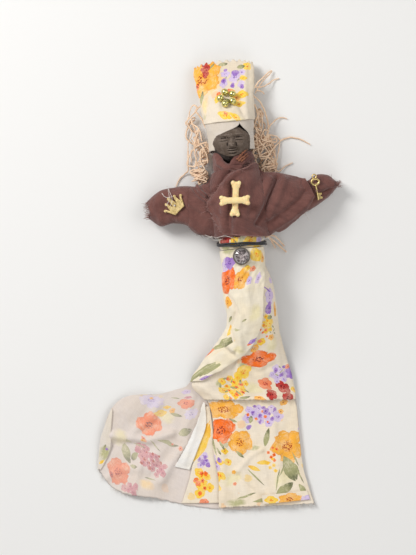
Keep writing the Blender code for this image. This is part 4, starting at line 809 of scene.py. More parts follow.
def smooth_rows(grid: np.ndarray, times: int, closed: bool) -> np.ndarray:
    """Add rows to a grid by cubic interpolation.

    Args:
        grid: Places as rows, columns and coordinates.
        times: New rows for each old one.
        closed: True when the last row joins the first.

    Returns:
        The finer grid.
    """
    count = len(grid)
    spots = np.arange(count * times if closed else (count - 1) * times + 1) / times
    base = np.floor(spots).astype(int)
    if not closed:
        base = np.minimum(base, count - 2)
    t = (spots - base)[:, None, None]
    taken = [base + step for step in (-1, 0, 1, 2)]
    a, b, c, d = (grid[index % count if closed else np.clip(index, 0, count - 1)] for index in taken)
    return b + 0.5 * t * (c - a + t * (2 * a - 5 * b + 4 * c - d + t * (3 * (b - c) + d - a)))


def mark_hollows(mesh: bpy.types.Mesh, reach: float, rounds: int = 2) -> None:
    """Store how hollow the surface is at each point: 0.5 where flat, more in a hollow.

    Args:
        mesh: Mesh to mark.
        reach: Radius of a bend that counts as fully hollow.
        rounds: How often the values are spread to their neighbours.
    """
    count = len(mesh.vertices)
    places, normals = np.empty(count * 3), np.empty(count * 3)
    mesh.vertices.foreach_get("co", places)
    mesh.vertices.foreach_get("normal", normals)
    places, normals = places.reshape(-1, 3), normals.reshape(-1, 3)
    ends = np.empty(len(mesh.edges) * 2, int)
    mesh.edges.foreach_get("vertices", ends)
    one, two = ends.reshape(-1, 2).T
    step = places[two] - places[one]
    length = np.maximum((step ** 2).sum(axis=1), 1e-12)
    bend = (np.bincount(one, (step * normals[one]).sum(axis=1) / length, count)
            - np.bincount(two, (step * normals[two]).sum(axis=1) / length, count))
    number = np.maximum(np.bincount(one, minlength=count) + np.bincount(two, minlength=count), 1)
    bend /= number
    for _ in range(rounds):
        near = np.bincount(one, bend[two], count) + np.bincount(two, bend[one], count)
        bend = 0.5 * bend + 0.5 * near / number
    store = mesh.attributes.new("hollow", "FLOAT", "POINT")
    store.data.foreach_set("value", np.clip(0.5 + bend * reach, 0.0, 1.0).astype(np.float32))


def turns(count: int) -> list[float]:
    """Angles of even steps round a circle."""
    return [2 * math.pi * step / count for step in range(count)]


def placed(name: str, data: bpy.types.ID) -> bpy.types.Object:
    """New object in the scene."""
    piece = bpy.data.objects.new(name, data)
    bpy.context.scene.collection.objects.link(piece)
    return piece


def baked(piece: bpy.types.Object) -> bpy.types.Mesh:
    """Plain mesh of a curve or of a piece with its modifiers."""
    bpy.context.view_layer.update()
    grid = bpy.context.evaluated_depsgraph_get()
    return bpy.data.meshes.new_from_object(piece.evaluated_get(grid), depsgraph=grid)


def face_outward(mesh: bpy.types.Mesh, merge: bool = False) -> None:
    """Turn every face of a closed mesh outward, and merge doubled points first where asked."""
    bm = bmesh.new()
    bm.from_mesh(mesh)
    if merge:
        bmesh.ops.remove_doubles(bm, verts=bm.verts, dist=1e-6)
    bmesh.ops.recalc_face_normals(bm, faces=bm.faces)
    bm.to_mesh(mesh)
    bm.free()


def add_object(name: str, mesh: bpy.types.Mesh, *finishes: Finish) -> bpy.types.Object:
    """Put a mesh in the scene with its finishes."""
    piece = placed(name, mesh)
    mesh.materials.clear()
    for finish in finishes:
        mesh.materials.append(finish.material())
    return piece


def seat(piece: bpy.types.Object, body: str, *nodes: str) -> bpy.types.Object:
    """Let a piece ride on a body and stand for the solids it covers.

    Args:
        piece: The finished piece.
        body: Body that it moves with.
        *nodes: Solids that it replaces.

    Returns:
        The piece.
    """
    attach(piece, body)
    if nodes:
        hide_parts(*nodes)
    LOG.info("%s rides on %s with %d faces", piece.name, body, len(piece.data.polygons))
    return piece


class Held(Enum):
    """What holds a cloth in its shape."""

    DRAPED = "draped"
    GATHERED = "gathered"
    FOLDED = "folded"
    STRETCHED = "stretched"
    LAID = "laid"


@dataclass
class ClothSheet:
    """A sheet of cloth over a grid of places.

    Attributes:
        name: Piece name.
        surface: Middle of the cloth from an across share and an along share.
        columns: Coarse steps across.
        rows: Coarse steps along.
        finish: Finish of the side that faces out or up.
        reverse: Finish of the other side.
        finer: Fine steps for each coarse one.
        wall: Thickness.
        closed: True when it runs round.
        folds: Folds and furrows in it.
        crumple: Height of its small unevenness.
        patch: Size of that unevenness.
        motifs: Flowers and leaves printed on it, back to front.
        frayed: Edges with loose ends, of "start", "end", "left" and "right".
        fray: Reach of a frayed edge.
        pinked: Depth of the saw teeth along its first edge.
        teeth: How many saw teeth there are.
        seed: Seed of its frayed edges.
        SMALL: Size under which a motif lies on top of the others.
        WASHES: Motifs that lie under all others.
        OVER: Leaves and small flowers that lie on top in any size.
    """

    name: str
    surface: Surface
    columns: int
    rows: int
    finish: Finish
    reverse: Finish
    finer: int = 4
    wall: float = BUILD.cloth
    closed: bool = False
    folds: tuple[Fold, ...] = ()
    crumple: float = 0.0003
    patch: float = 0.012
    motifs: tuple[Motif, ...] = ()
    frayed: tuple[str, ...] = ()
    fray: float = 0.0012
    pinked: float = 0.0
    teeth: int = 26
    seed: int = 1
    SMALL = 0.0030
    WASHES = (Bloom.WASH, Bloom.GLAZE, Bloom.MIST)
    OVER = (Bloom.LEAF, Bloom.VIOLET, Bloom.STROKE)

    grid: np.ndarray = field(init=False)
    normals: np.ndarray = field(init=False)
    table: np.ndarray = field(init=False)

    def build(self) -> bpy.types.Object:
        """Make the sheet.

        Returns:
            The finished object, with its print laid on.
        """
        across = self.columns if self.closed else self.columns + 1
        coarse = [[WAIST + self.surface(column / self.columns, row / self.rows) for column in range(across)]
                  for row in range(self.rows + 1)]
        grid = smooth_rows(np.array(coarse), self.finer, False)
        self.grid = smooth_rows(grid.transpose(1, 0, 2), self.finer, self.closed).transpose(1, 0, 2)
        self.normals = self.find_normals()
        self.grid = self.grid + self.normals * self.relief()[..., None]
        self.normals = self.find_normals()
        self.table = self.coordinates()
        self.fray_edges()
        self.grid[..., 2] = np.maximum(self.grid[..., 2], WAIST.z + self.wall / 2)
        return add_object(self.name, self.mesh(), self.finish, self.reverse)

    def find_normals(self) -> np.ndarray:
        """Normals of the grid, out of a closed sheet or up from an open one."""
        wide = self.grid
        if self.closed:
            right = np.roll(wide, -1, axis=1) - np.roll(wide, 1, axis=1)
        else:
            right = np.gradient(wide, axis=1)
        cross = np.cross(right, np.gradient(wide, axis=0))
        cross /= np.maximum(np.linalg.norm(cross, axis=2, keepdims=True), 1e-12)
        out = wide - wide.mean(axis=1, keepdims=True) if self.closed else np.array((0.0, 0.0, 1.0))
        self.flipped = bool((cross * out).sum() < 0)
        return -cross if self.flipped else cross

    def relief(self) -> np.ndarray:
        """Height of folds and crumples over the whole grid."""
        places = self.grid[..., :2].reshape(-1, 2)
        rise = np.zeros(len(places))
        facing = np.clip(self.normals[..., 2].reshape(-1), 0.0, 1.0)
        for fold in self.folds:
            rise += fold.lift(places) * facing
        if self.crumple:
            spots = self.grid.reshape(-1, 3) / self.patch
            worn = [noise.noise(Vector(spot)) + 0.45 * noise.noise(Vector(spot) * 2.7) for spot in spots]
            rise += self.crumple * np.array(worn)
        return rise.reshape(self.grid.shape[:2])

    def edge(self, side: str) -> tuple[np.ndarray, np.ndarray]:
        """Places of one edge and the directions out of it."""
        line, inner = {"start": (self.grid[0], self.grid[1]), "end": (self.grid[-1], self.grid[-2]),
                       "left": (self.grid[:, 0], self.grid[:, 1]),
                       "right": (self.grid[:, -1], self.grid[:, -2])}[side]
        out = line - inner
        return line, out / np.maximum(np.linalg.norm(out, axis=1, keepdims=True), 1e-9)

    def fray_edges(self) -> None:
        """Pull the frayed edges out unevenly."""
        rng = np.random.default_rng(self.seed)
        for side in self.frayed:
            line, out = self.edge(side)
            line += out * (rng.uniform(-0.5, 0.7, len(line)) * self.fray)[:, None]
        if self.pinked:
            line, out = self.edge("start")
            wave = np.abs(np.sin(np.pi * np.arange(len(line)) * self.teeth / len(line)))
            line += out * ((wave - 0.6) * self.pinked * 1.4)[:, None]

    def loose_threads(self, each: float, reach: float) -> list[list[Vector]]:
        """Short loose threads along the frayed edges.

        Args:
            each: Distance between two threads.
            reach: Longest thread.

        Returns:
            Points of each thread.
        """
        rng = random.Random(self.seed)
        threads = []
        for side in self.frayed:
            line, out = self.edge(side)
            length = float(np.linalg.norm(np.diff(line, axis=0), axis=1).sum())
            for _ in range(int(length / each)):
                index = rng.randrange(len(line))
                start, way = Vector(line[index]), Vector(out[index])
                bend = Vector((rng.uniform(-1, 1), rng.uniform(-1, 1), rng.uniform(-0.2, 0.6)))
                span = reach * rng.uniform(0.25, 1.0)
                points = [start + (way * share + bend * share * share * 0.8) * span
                          for share in (-0.2, 0.15, 0.45, 0.75, 1.0)]
                low = WAIST.z + 0.0003
                threads.append([Vector((*point.xy, max(point.z, low))) for point in points])
        return threads

    def coordinates(self) -> np.ndarray:
        """Lengths across and along the cloth, at every place of the grid."""
        across = np.linalg.norm(np.diff(self.grid, axis=1), axis=2).cumsum(axis=1)
        across = np.pad(across, ((0, 0), (1, 0)))
        across -= across[:, across.shape[1] // 2][:, None]
        down = np.linalg.norm(np.diff(self.grid, axis=0), axis=2).cumsum(axis=0)
        down = np.pad(down, ((1, 0), (0, 0)))
        return np.stack((across, -down), axis=2)

    def mesh(self) -> bpy.types.Mesh:
        """Closed mesh with both sides, its print coordinates and its motifs."""
        rows, columns = self.grid.shape[:2]
        half = self.normals * (self.wall / 2)
        count = rows * columns
        places = np.concatenate(((self.grid + half).reshape(-1, 3), (self.grid - half).reshape(-1, 3)))
        index = np.arange(count).reshape(rows, columns)
        if self.closed:
            index = np.concatenate((index, index[:, :1]), axis=1)
        corners = (index[:-1, :-1], index[:-1, 1:], index[1:, 1:], index[1:, :-1])
        quads = np.stack(corners, axis=-1).reshape(-1, 4)
        rims = [index[0], index[-1][::-1]] + ([] if self.closed else [index[::-1, 0], index[:, -1]])
        edge = np.concatenate([np.stack((line[1:], line[:-1], line[:-1] + count, line[1:] + count), axis=-1)
                               for line in rims])
        faces = np.concatenate((quads, quads[:, ::-1] + count, edge))
        if self.flipped:
            faces = faces[:, ::-1]
        mesh = bpy.data.meshes.new(self.name)
        mesh.from_pydata(places.tolist(), [], faces.tolist())
        mesh.update()
        slots = np.zeros(len(faces), int)
        slots[len(quads):2 * len(quads)] = 1
        mesh.polygons.foreach_set("material_index", slots)
        spots = np.tile(self.table.reshape(-1, 2), (2, 1))[faces]
        if self.closed:
            round_once = np.linalg.norm(self.grid[:, 0] - self.grid[:, -1], axis=1).mean()
            jump = (spots[..., 0].max(axis=1) - spots[..., 0].min(axis=1)) > 10 * round_once
            low = spots[..., 0] < 0
            spots[..., 0] += np.where(jump[:, None] & low,
                                      spots[..., 0].max() - spots[..., 0].min() + round_once, 0.0)
        layer = mesh.uv_layers.new(name="cloth")
        layer.uv.foreach_set("vector", spots.astype(np.float32).ravel())
        self.lay_motifs(mesh, spots)
        mesh.shade_smooth()
        return mesh

    def lay_motifs(self, mesh: bpy.types.Mesh, spots: np.ndarray) -> None:
        """Give each face the coordinates of the motif that covers it, in three layers.

        Args:
            mesh: Mesh of the sheet.
            spots: Print coordinates of every face's corners.
        """
        if not isinstance(self.finish, PrintedCotton):
            return
        faces = spots.mean(axis=1)
        table = self.table.reshape(-1, 2)
        flat = self.grid[..., :2].reshape(-1, 2)
        seen = np.where(self.normals[..., 2].reshape(-1) > 0.1, 0.0, 1.0)
        groups: tuple[list[Motif], ...] = ([], [], [])
        for motif in self.motifs:
            fine = motif.size < self.SMALL or motif.bloom in self.OVER
            groups[0 if motif.bloom in self.WASHES else 1 + fine].append(motif)
        for layer, motifs in zip(PrintedCotton.LAYERS, groups):
            corners = np.full((*spots.shape[:2], 3), 9.0)
            tints = np.zeros((*spots.shape[:2], 4))
            hearts = np.zeros((*spots.shape[:2], 4))
            best = np.full(len(faces), 1.7)
            for motif in motifs:
                petals, slim, tint, heart = motif.bloom.value
                middle = np.array(PHOTO.spot(motif.at))
                nearest = np.argmin(np.hypot(*(flat - middle).T) + seen)
                centre = table[nearest] + (middle - flat[nearest])
                turn = math.radians(motif.turn - PHOTO.turn)
                spin = np.array(((math.cos(turn), -math.sin(turn)), (math.sin(turn), math.cos(turn))))
                shape = motif.size * np.array((1.0, motif.slim or slim))
                reach = np.hypot(*((faces - centre) @ spin / shape).T)
                mine = reach < best
                best = np.where(mine, reach, best)
                corners[mine, :, :2] = (spots[mine] - centre) @ spin / shape
                corners[mine, :, 2] = petals
                tints[mine] = (*tint, 1.0 if petals == 0 else 0.0)
                hearts[mine] = (*heart, 1.0 if motif.bloom in self.WASHES else 0.0)
            for word, kind, values in (("place_", "FLOAT_VECTOR", corners), ("tint_", "FLOAT_COLOR", tints),
                                       ("heart_", "FLOAT_COLOR", hearts)):
                store = mesh.attributes.new(word + layer, kind, "CORNER")
                store.data.foreach_set("vector" if kind == "FLOAT_VECTOR" else "color",
                                       values.astype(np.float32).ravel())

    def lay(self, node: str, held: Held, rest: str) -> None:
        """Build the cloth for a solid.

        Args:
            node: Solid that it stands for.
            held: What holds it in its shape. Not used.
            rest: Piece that it rests on. Not used.
        """
        piece = seat(self.build(), "doll", node)
        across = np.linalg.norm(np.diff(self.grid, axis=1), axis=2).sum(axis=1).mean()
        down = np.linalg.norm(np.diff(self.grid, axis=0), axis=2).sum(axis=0).mean()
        sides = np.diff(self.grid, axis=1)[:-1], np.diff(self.grid, axis=0)[:, :-1]


def thread_tree() -> bpy.types.NodeTree:
    """Geometry Nodes that sweep threads, strands and wires along polylines.

    Returns:
        Group with its sizes and material as inputs.
    """
    graph = Group("thread_sweep", "GeometryNodeTree",
                  {"Geometry": "NodeSocketGeometry", "Radius": 0.001, "Flatten": 1.0, "Wobble": 0.0,
                   "Taper": 0.0, "Sides": 8, "Material": "NodeSocketMaterial"},
                  {"Geometry": "NodeSocketGeometry"})
    line = graph.add("GeometryNodeMeshToCurve", {"Mesh": graph["Geometry"]}).outputs[0]
    place = graph.add("GeometryNodeInputPosition").outputs[0]
    shake = graph.add("ShaderNodeTexNoise", {"Vector": place, "Scale": 320.0}).outputs["Color"]
    shake = graph.vector("SUBTRACT", shake, graph.join(0.5, 0.5, 0.5))
    moved = graph.vector("SCALE", shake)
    graph.put(moved.node.inputs["Scale"], graph["Wobble"])
    line = graph.add("GeometryNodeSetPosition", {"Geometry": line, "Offset": moved}).outputs[0]
    share = graph.add("GeometryNodeSplineParameter").outputs["Factor"]
    lost = graph.math("MULTIPLY", graph.math("POWER", share, 2.0), graph["Taper"])
    thin = graph.math("SUBTRACT", 1.0, lost)
    uneven = graph.add("ShaderNodeTexNoise", {"Vector": place, "Scale": 190.0}).outputs[0]
    thick = graph.math("MULTIPLY_ADD", uneven, 0.7, 0.65)
    line = graph.add("GeometryNodeSetCurveRadius",
                     {"Curve": line, "Radius": graph.math("MULTIPLY", thin, thick)}).outputs[0]
    ring = graph.add("GeometryNodeCurvePrimitiveCircle",
                     {"Radius": graph["Radius"], "Resolution": graph["Sides"]}).outputs[0]
    ring = graph.add("GeometryNodeTransform",
                     {"Geometry": ring, "Scale": graph.join(1.0, graph["Flatten"], 1.0)}).outputs[0]
    tube = graph.add("GeometryNodeCurveToMesh", {"Curve": line, "Profile Curve": ring, "Fill Caps": True})
    if "Scale" in tube.inputs:
        graph.put(tube.inputs["Scale"], graph.math("MULTIPLY", thin, thick))
    body = graph.add("GeometryNodeSetShadeSmooth", {"Geometry": tube.outputs[0]}).outputs[0]
    body = graph.add("GeometryNodeRealizeInstances", {"Geometry": body}).outputs[0]
    body = graph.add("GeometryNodeSetMaterial", {"Geometry": body, "Material": graph["Material"]}).outputs[0]
    graph.give("Geometry", body)
    return graph.tree


def row_tree() -> bpy.types.NodeTree:
    """Geometry Nodes that set a row of small beads or stitches along polylines.

    Returns:
        Group with its sizes and material as inputs.
    """
    graph = Group("bead_row", "GeometryNodeTree",
                  {"Geometry": "NodeSocketGeometry", "Step": 0.001, "Size": (0.0005, 0.0005, 0.0005),
                   "Turn": 0.0, "Material": "NodeSocketMaterial"},
                  {"Geometry": "NodeSocketGeometry"})
    line = graph.add("GeometryNodeMeshToCurve", {"Mesh": graph["Geometry"]}).outputs[0]
    points = graph.add("GeometryNodeCurveToPoints", {"Curve": line, "Length": graph["Step"]}, mode="LENGTH")
    bead = graph.add("GeometryNodeMeshUVSphere", {"Segments": 10, "Rings": 6, "Radius": 1.0}).outputs[0]
    turned = graph.add("FunctionNodeRotateRotation",
                       {0: points.outputs["Rotation"],
                        1: graph.add("FunctionNodeAxisAngleToRotation",
                                     {"Axis": (0.0, 1.0, 0.0), "Angle": graph["Turn"]}).outputs[0]},
                       rotation_space="LOCAL")
    row = graph.add("GeometryNodeInstanceOnPoints",
                    {"Points": points.outputs["Points"], "Instance": bead, "Rotation": turned.outputs[0],
                     "Scale": graph["Size"]}).outputs[0]
    body = graph.add("GeometryNodeRealizeInstances", {"Geometry": row}).outputs[0]
    body = graph.add("GeometryNodeSetShadeSmooth", {"Geometry": body}).outputs[0]
    body = graph.add("GeometryNodeSetMaterial", {"Geometry": body, "Material": graph["Material"]}).outputs[0]
    graph.give("Geometry", body)
    return graph.tree


TREES = {"thread": thread_tree(), "row": row_tree()}


def grown(name: str, key: str, paths: Iterable[Sequence[Vector]], finish: Finish, closed: bool = False,
          **inputs: object) -> bpy.types.Object:
    """Piece grown along lines by one of the node trees.

    Args:
        name: Piece name.
        key: Which tree.
        paths: Lines that it follows.
        finish: Its finish.
        closed: True for lines that end where they start.
        **inputs: Inputs of the tree by name.

    Returns:
        The piece, as a plain mesh.
    """
    places, edges = [], []
    for path in paths:
        first = len(places)
        places += [tuple(point) for point in path]
        edges += [(index, index + 1) for index in range(first, len(places) - 1)]
        if closed:
            edges.append((len(places) - 1, first))
    line = bpy.data.meshes.new(name + "_line")
    line.from_pydata(places, edges, [])
    piece = placed(name, line)
    tree = TREES[key]
    sweep = piece.modifiers.new("growth", "NODES")
    sweep.node_group = tree
    names = {item.name: item.identifier for item in tree.interface.items_tree if item.in_out == "INPUT"}
    for title, value in {**inputs, "Material": finish.material()}.items():
        sweep[names[title]] = value
    mesh = baked(piece)
    piece.modifiers.remove(sweep)
    piece.data = mesh
    mesh.name = name
    face_outward(mesh)
    return piece


def smooth_path(points: Sequence[Row], steps: int) -> list[Vector]:
    """Fine polyline through a chain of places."""
    return [along(points, step / steps) for step in range(steps + 1)]


def traced(line: Sequence[Pixel], steps: int) -> list[Vector]:
    """Fine flat line from the waist's middle through pixels of the photograph."""
    return smooth_path([tuple(PHOTO.spot(pixel) - WAIST.xy) for pixel in line], steps)


def plied(path: Sequence[Vector], radius: float, plies: int, pitch: float) -> list[list[Vector]]:
    """Plies that wind round each other along a path.

    Args:
        path: Middle of the cord, in small steps.
        radius: Distance of each ply from the middle.
        plies: How many there are.
        pitch: Length of one turn.

    Returns:
        One line for each ply.
    """
    lines: list[list[Vector]] = [[] for _ in range(plies)]
    run = 0.0
    side = Vector((0.0, 0.0, 1.0))
    for index, point in enumerate(path):
        after = path[min(index + 1, len(path) - 1)]
        before = path[max(index - 1, 0)]
        way = (after - before).normalized()
        side = (side - way * side.dot(way)).normalized()
        other = way.cross(side)
        for ply, line in enumerate(lines):
            angle = 2 * math.pi * (run / pitch + ply / plies)
            line.append(point + (side * math.cos(angle) + other * math.sin(angle)) * radius)
        run += (after - point).length
    return lines


def ring_mesh(name: str, rings: Sequence[Sequence[Vector]], capped: bool = True) -> bpy.types.Mesh:
    """Mesh through closed rings, with its ends filled."""
    count = len(rings[0])
    places = [tuple(point) for ring in rings for point in ring]
    faces = []
    for first in range(0, len(places) - count, count):
        for step in range(count):
            after = (step + 1) % count
            faces.append((first + step, first + after, first + count + after, first + count + step))
    if capped:
        faces.append(tuple(range(count)))
        faces.append(tuple(len(places) - 1 - step for step in range(count)))
    mesh = bpy.data.meshes.new(name)
    mesh.from_pydata(places, [], faces)
    face_outward(mesh)
    mesh.shade_smooth()
    return mesh


def lathe(name: str, profile: Sequence[Row], steps: int, place: Matrix) -> bpy.types.Mesh:
    """Mesh of a profile of radius and height turned round its Z axis, never narrower than a pin hole."""
    rings, pin_hole = [], 0.0001
    for wide, height in profile:
        radius = max(wide, pin_hole)
        rings.append([place @ Vector((radius * math.cos(turn), radius * math.sin(turn), height))
                      for turn in turns(steps)])
    return ring_mesh(name, rings)


def joined(name: str, meshes: Iterable[bpy.types.Mesh]) -> bpy.types.Mesh:
    """One mesh from several."""
    bm = bmesh.new()
    for mesh in meshes:
        bm.from_mesh(mesh)
    whole = bpy.data.meshes.new(name)
    bm.to_mesh(whole)
    bm.free()
    return whole


def around(angle: float, radius: float, y: float) -> Vector:
    """Place round the spine at a radius; angle 0 is the front and +90 the right."""
    turn = math.radians(angle)
    return Vector((radius * math.sin(turn), y, BUILD.spine + radius * math.cos(turn)))


def over(top: Callable[[float, float], float], x: float, y: float, lift: float) -> Vector:
    """Place at a distance over a surface.

    Args:
        top: Height of the surface at an x and a y.
        x: Place across.
        y: Place along the spine.
        lift: Distance from the surface.

    Returns:
        The place, from the waist's middle on the table.
    """
    step = BUILD.cloth
    slope_x = (top(x + step, y) - top(x - step, y)) / (2 * step)
    slope_y = (top(x, y + step) - top(x, y - step)) / (2 * step)
    return Vector((x, y, top(x, y))) + Vector((-slope_x, -slope_y, 1.0)).normalized() * lift


@dataclass
class Skirt:
    """Skirt: back panel with its train, two front cloths, overwrap and turned edges.

    Attributes:
        length: Length from waist to hem.
        hem_width: Width that the side shares refer to.
        reach: Reach of the train that its shares refer to.
        fold: Height of the soft folds down the front.
        train_fold: Height of the folds of the train.
        top: Where the cloth starts below the waist.
        SHARES: Share of the length with the left side, right side, crest and edge there.
        WRAP_SHARES: Share of the length with the place of the overwrap's free edge.
        BACK_LAYER: Layer of the back cloth where it rounds the husk.
    """

    length: float = 0.240
    hem_width: float = 0.092
    reach: float = 0.149
    fold: float = 0.0014
    train_fold: float = 0.0042
    top: float = 0.0036

    BACK_LAYER = -1.6
    SHARES = (
        (0.165, -0.234, 0.268, 0.955, 0.470), (0.290, -0.224, 0.283, 0.830, 0.330),
        (0.350, -0.326, 0.291, 0.720, 0.235), (0.425, -0.505, 0.324, 0.550, 0.170),
        (0.505, -0.652, 0.364, 0.380, 0.120), (0.565, -0.545, 0.378, 0.310, 0.095),
        (0.650, -0.511, 0.380, 0.260, 0.088), (0.750, -0.538, 0.376, 0.240, 0.085),
        (0.865, -0.511, 0.386, 0.230, 0.085), (1.000, -0.545, 0.457, 0.220, 0.085))
    WRAP_SHARES = (
        (0.0, 0.97), (0.073, 0.97), (0.175, 0.58), (0.265, 0.43), (0.330, 0.28), (0.390, 0.08),
        (0.427, -0.17), (0.465, -0.53), (0.495, -0.79))
    LEFT_SHARES = ((-0.425, 0.510), (-0.585, 0.527), (-0.770, 0.522), (-0.880, 0.560), (-0.955, 0.655),
                   (-1.000, 0.785))
    RIGHT_SHARES = ((0.225, 0.510), (0.235, 0.580), (0.236, 0.680), (0.234, 0.780), (0.240, 0.880),
                    (0.282, 0.990))
    HEM_SHARES = ((-0.935, 0.855), (-0.834, 0.892), (-0.683, 0.914), (-0.478, 0.957), (-0.212, 0.990),
                  (0.011, 0.990))
    PLEAT_SHARES = (((-0.326, 0.592), (-0.346, 0.650), (-0.400, 0.745), (-0.460, 0.860), (-0.520, 0.946)),
                    ((-0.292, 0.592), (-0.288, 0.650), (-0.285, 0.745), (-0.282, 0.860), (-0.277, 0.960)))
    WHITE_SHARES = (((-0.328, 0.574), (-0.382, 0.655), (-0.460, 0.735), (-0.540, 0.806)),
                    ((-0.318, 0.578), (-0.326, 0.664), (-0.386, 0.744), (-0.452, 0.824)))
    EDGE_SHARES = (((-0.886, 0.560), (-0.964, 0.661), (-0.986, 0.715), (-1.008, 0.786)),
                   ((-0.880, 0.568), (-0.903, 0.648), (-0.922, 0.722), (-0.988, 0.788)))

    FRONT_FOLDS = (
        Fold(((243, 270), (249, 300), (254, 335)), 0.0010, 0.0040),
        Fold(((228, 262), (226, 290), (222, 318)), -0.0014, 0.0026),
        Fold(((262, 262), (266, 300), (272, 345)), 0.0014, 0.0028),
        Fold(((275, 300), (280, 340), (286, 372)), -0.0012, 0.0030),
        Fold(((254, 345), (262, 376), (266, 398)), 0.0016, 0.0038),
        Fold(((236, 352), (232, 376), (226, 398)), -0.0014, 0.0034),
        Fold(((281, 372), (286, 392), (288, 404)), 0.0014, 0.0030),
        Fold(((203, 388), (214, 396), (230, 402)), 0.0014, 0.0030),
        Fold(((244, 366), (258, 372), (274, 366)), -0.0010, 0.0026),
        Fold(((238, 398), (256, 401), (276, 398)), 0.0012, 0.0022),
        Fold(((222, 250), (236, 262), (252, 262)), -0.0010, 0.0020),
        Fold(((248, 252), (256, 264), (268, 268)), -0.0008, 0.0020),
    )
    LOWER_FOLDS = (
        Fold(((246, 408), (250, 446), (252, 498)), -0.0014, 0.0040),
        Fold(((228, 410), (222, 450), (224, 500)), 0.0016, 0.0040),
        Fold(((272, 410), (276, 450), (283, 496)), 0.0014, 0.0040),
        Fold(((212, 430), (211, 465), (212, 500)), -0.0012, 0.0025),
        Fold(((294, 440), (298, 470), (304, 495)), 0.0012, 0.0030),
        Fold(((236, 474), (252, 456), (262, 450)), 0.0013, 0.0024),
        Fold(((236, 475), (248, 488), (260, 498)), -0.0013, 0.0022),
        Fold(((262, 452), (266, 476), (270, 496)), 0.0012, 0.0026),
        Fold(((204, 406), (204, 425), (207, 445)), -0.0012, 0.0020),
    )
    TRAIN_FOLDS = (
        Fold(((112, 436), (128, 439), (150, 441), (172, 434)), 0.0034, 0.0034),
        Fold(((112, 446), (130, 448), (150, 450)), -0.0020, 0.0040),
        Fold(((158, 404), (150, 420), (134, 432)), 0.0022, 0.0044),
        Fold(((186, 444), (172, 462), (160, 482)), 0.0026, 0.0036),
        Fold(((178, 446), (164, 462), (150, 478)), -0.0016, 0.0040),
        Fold(((140, 466), (136, 480), (134, 492)), 0.0022, 0.0034),
        Fold(((180, 404), (170, 414), (160, 426)), -0.0016, 0.0034),
        Fold(((192, 398), (188, 420), (182, 440)), 0.0018, 0.0030),
        Fold(((106, 480), (122, 470), (140, 470)), 0.0018, 0.0034),
    )
    WRAP_FOLDS = (
        Fold(((236, 298), (242, 313), (239, 330), (241, 348)), 0.0024, 0.0026),
        Fold(((224, 294), (231, 301), (236, 311), (232, 321), (229, 329), (233, 341)), -0.0042, 0.0020),
        Fold(((217, 337), (226, 342), (233, 350)), 0.0026, 0.0020),
        Fold(((214, 342), (224, 348), (234, 356)), -0.0020, 0.0020),
        Fold(((247, 288), (248, 305), (246, 330)), 0.0014, 0.0034),
        Fold(((206, 356), (214, 368), (222, 374)), 0.0014, 0.0030),
        Fold(((240, 352), (226, 366), (206, 378)), 0.0012, 0.0034),
    )
    WHITE_FOLDS = (Fold(((201, 408), (194, 436), (184, 464)), 0.0009, 0.0022),)
    WRAP_PRINT = (
        Motif(Bloom.MIST, (255, 313), 0.0110, 80), Motif(Bloom.MIST, (238, 350), 0.0100, 150),
        Motif(Bloom.GLAZE, (227, 250), 0.0110, 10, 0.50), Motif(Bloom.MIST, (216, 366), 0.0100, 130),
        Motif(Bloom.GLAZE, (236, 330), 0.0052, 5, 0.4), Motif(Bloom.GLAZE, (222, 325), 0.0060, 70, 0.4),
        Motif(Bloom.POPPY, (228, 280), 0.0138, 80, 1.05), Motif(Bloom.AMBER, (240, 279), 0.0112, 82, 0.75),
        Motif(Bloom.VIOLET, (230, 263), 0.0076, 150, 0.80), Motif(Bloom.LILAC, (226, 266), 0.0084, 30),
        Motif(Bloom.YELLOW, (256, 255), 0.0076, 30), Motif(Bloom.AMBER, (262, 258), 0.0050, 80, 0.5),
        Motif(Bloom.CORAL, (252.6, 268.4), 0.0032, 10), Motif(Bloom.YELLOW, (247, 268), 0.0034, 30),
        Motif(Bloom.LILAC, (248.7, 280.5), 0.0046, 100, 0.65),
        Motif(Bloom.LILAC, (258, 278), 0.0056, 80, 0.50),
        Motif(Bloom.AMBER, (228, 302), 0.0060, 110, 0.95),
        Motif(Bloom.STROKE, (230.5, 331), 0.0086, 115, 0.22),
        Motif(Bloom.LEAF, (230.5, 319), 0.0034, 60, 0.40), Motif(Bloom.LEAF, (224, 343), 0.0104, 15, 0.75),
        Motif(Bloom.POPPY, (209, 354), 0.0112, 57, 0.40), Motif(Bloom.LEAF, (204, 371), 0.0156, 228, 0.62),
        Motif(Bloom.VIOLET, (206, 378), 0.0070, 42, 0.55),
        Motif(Bloom.VIOLET, (253, 341), 0.0058, 55, 0.42),
        Motif(Bloom.CORAL, (249, 344), 0.0022), Motif(Bloom.LEAF, (244, 320), 0.0030, 40, 0.3),
    )
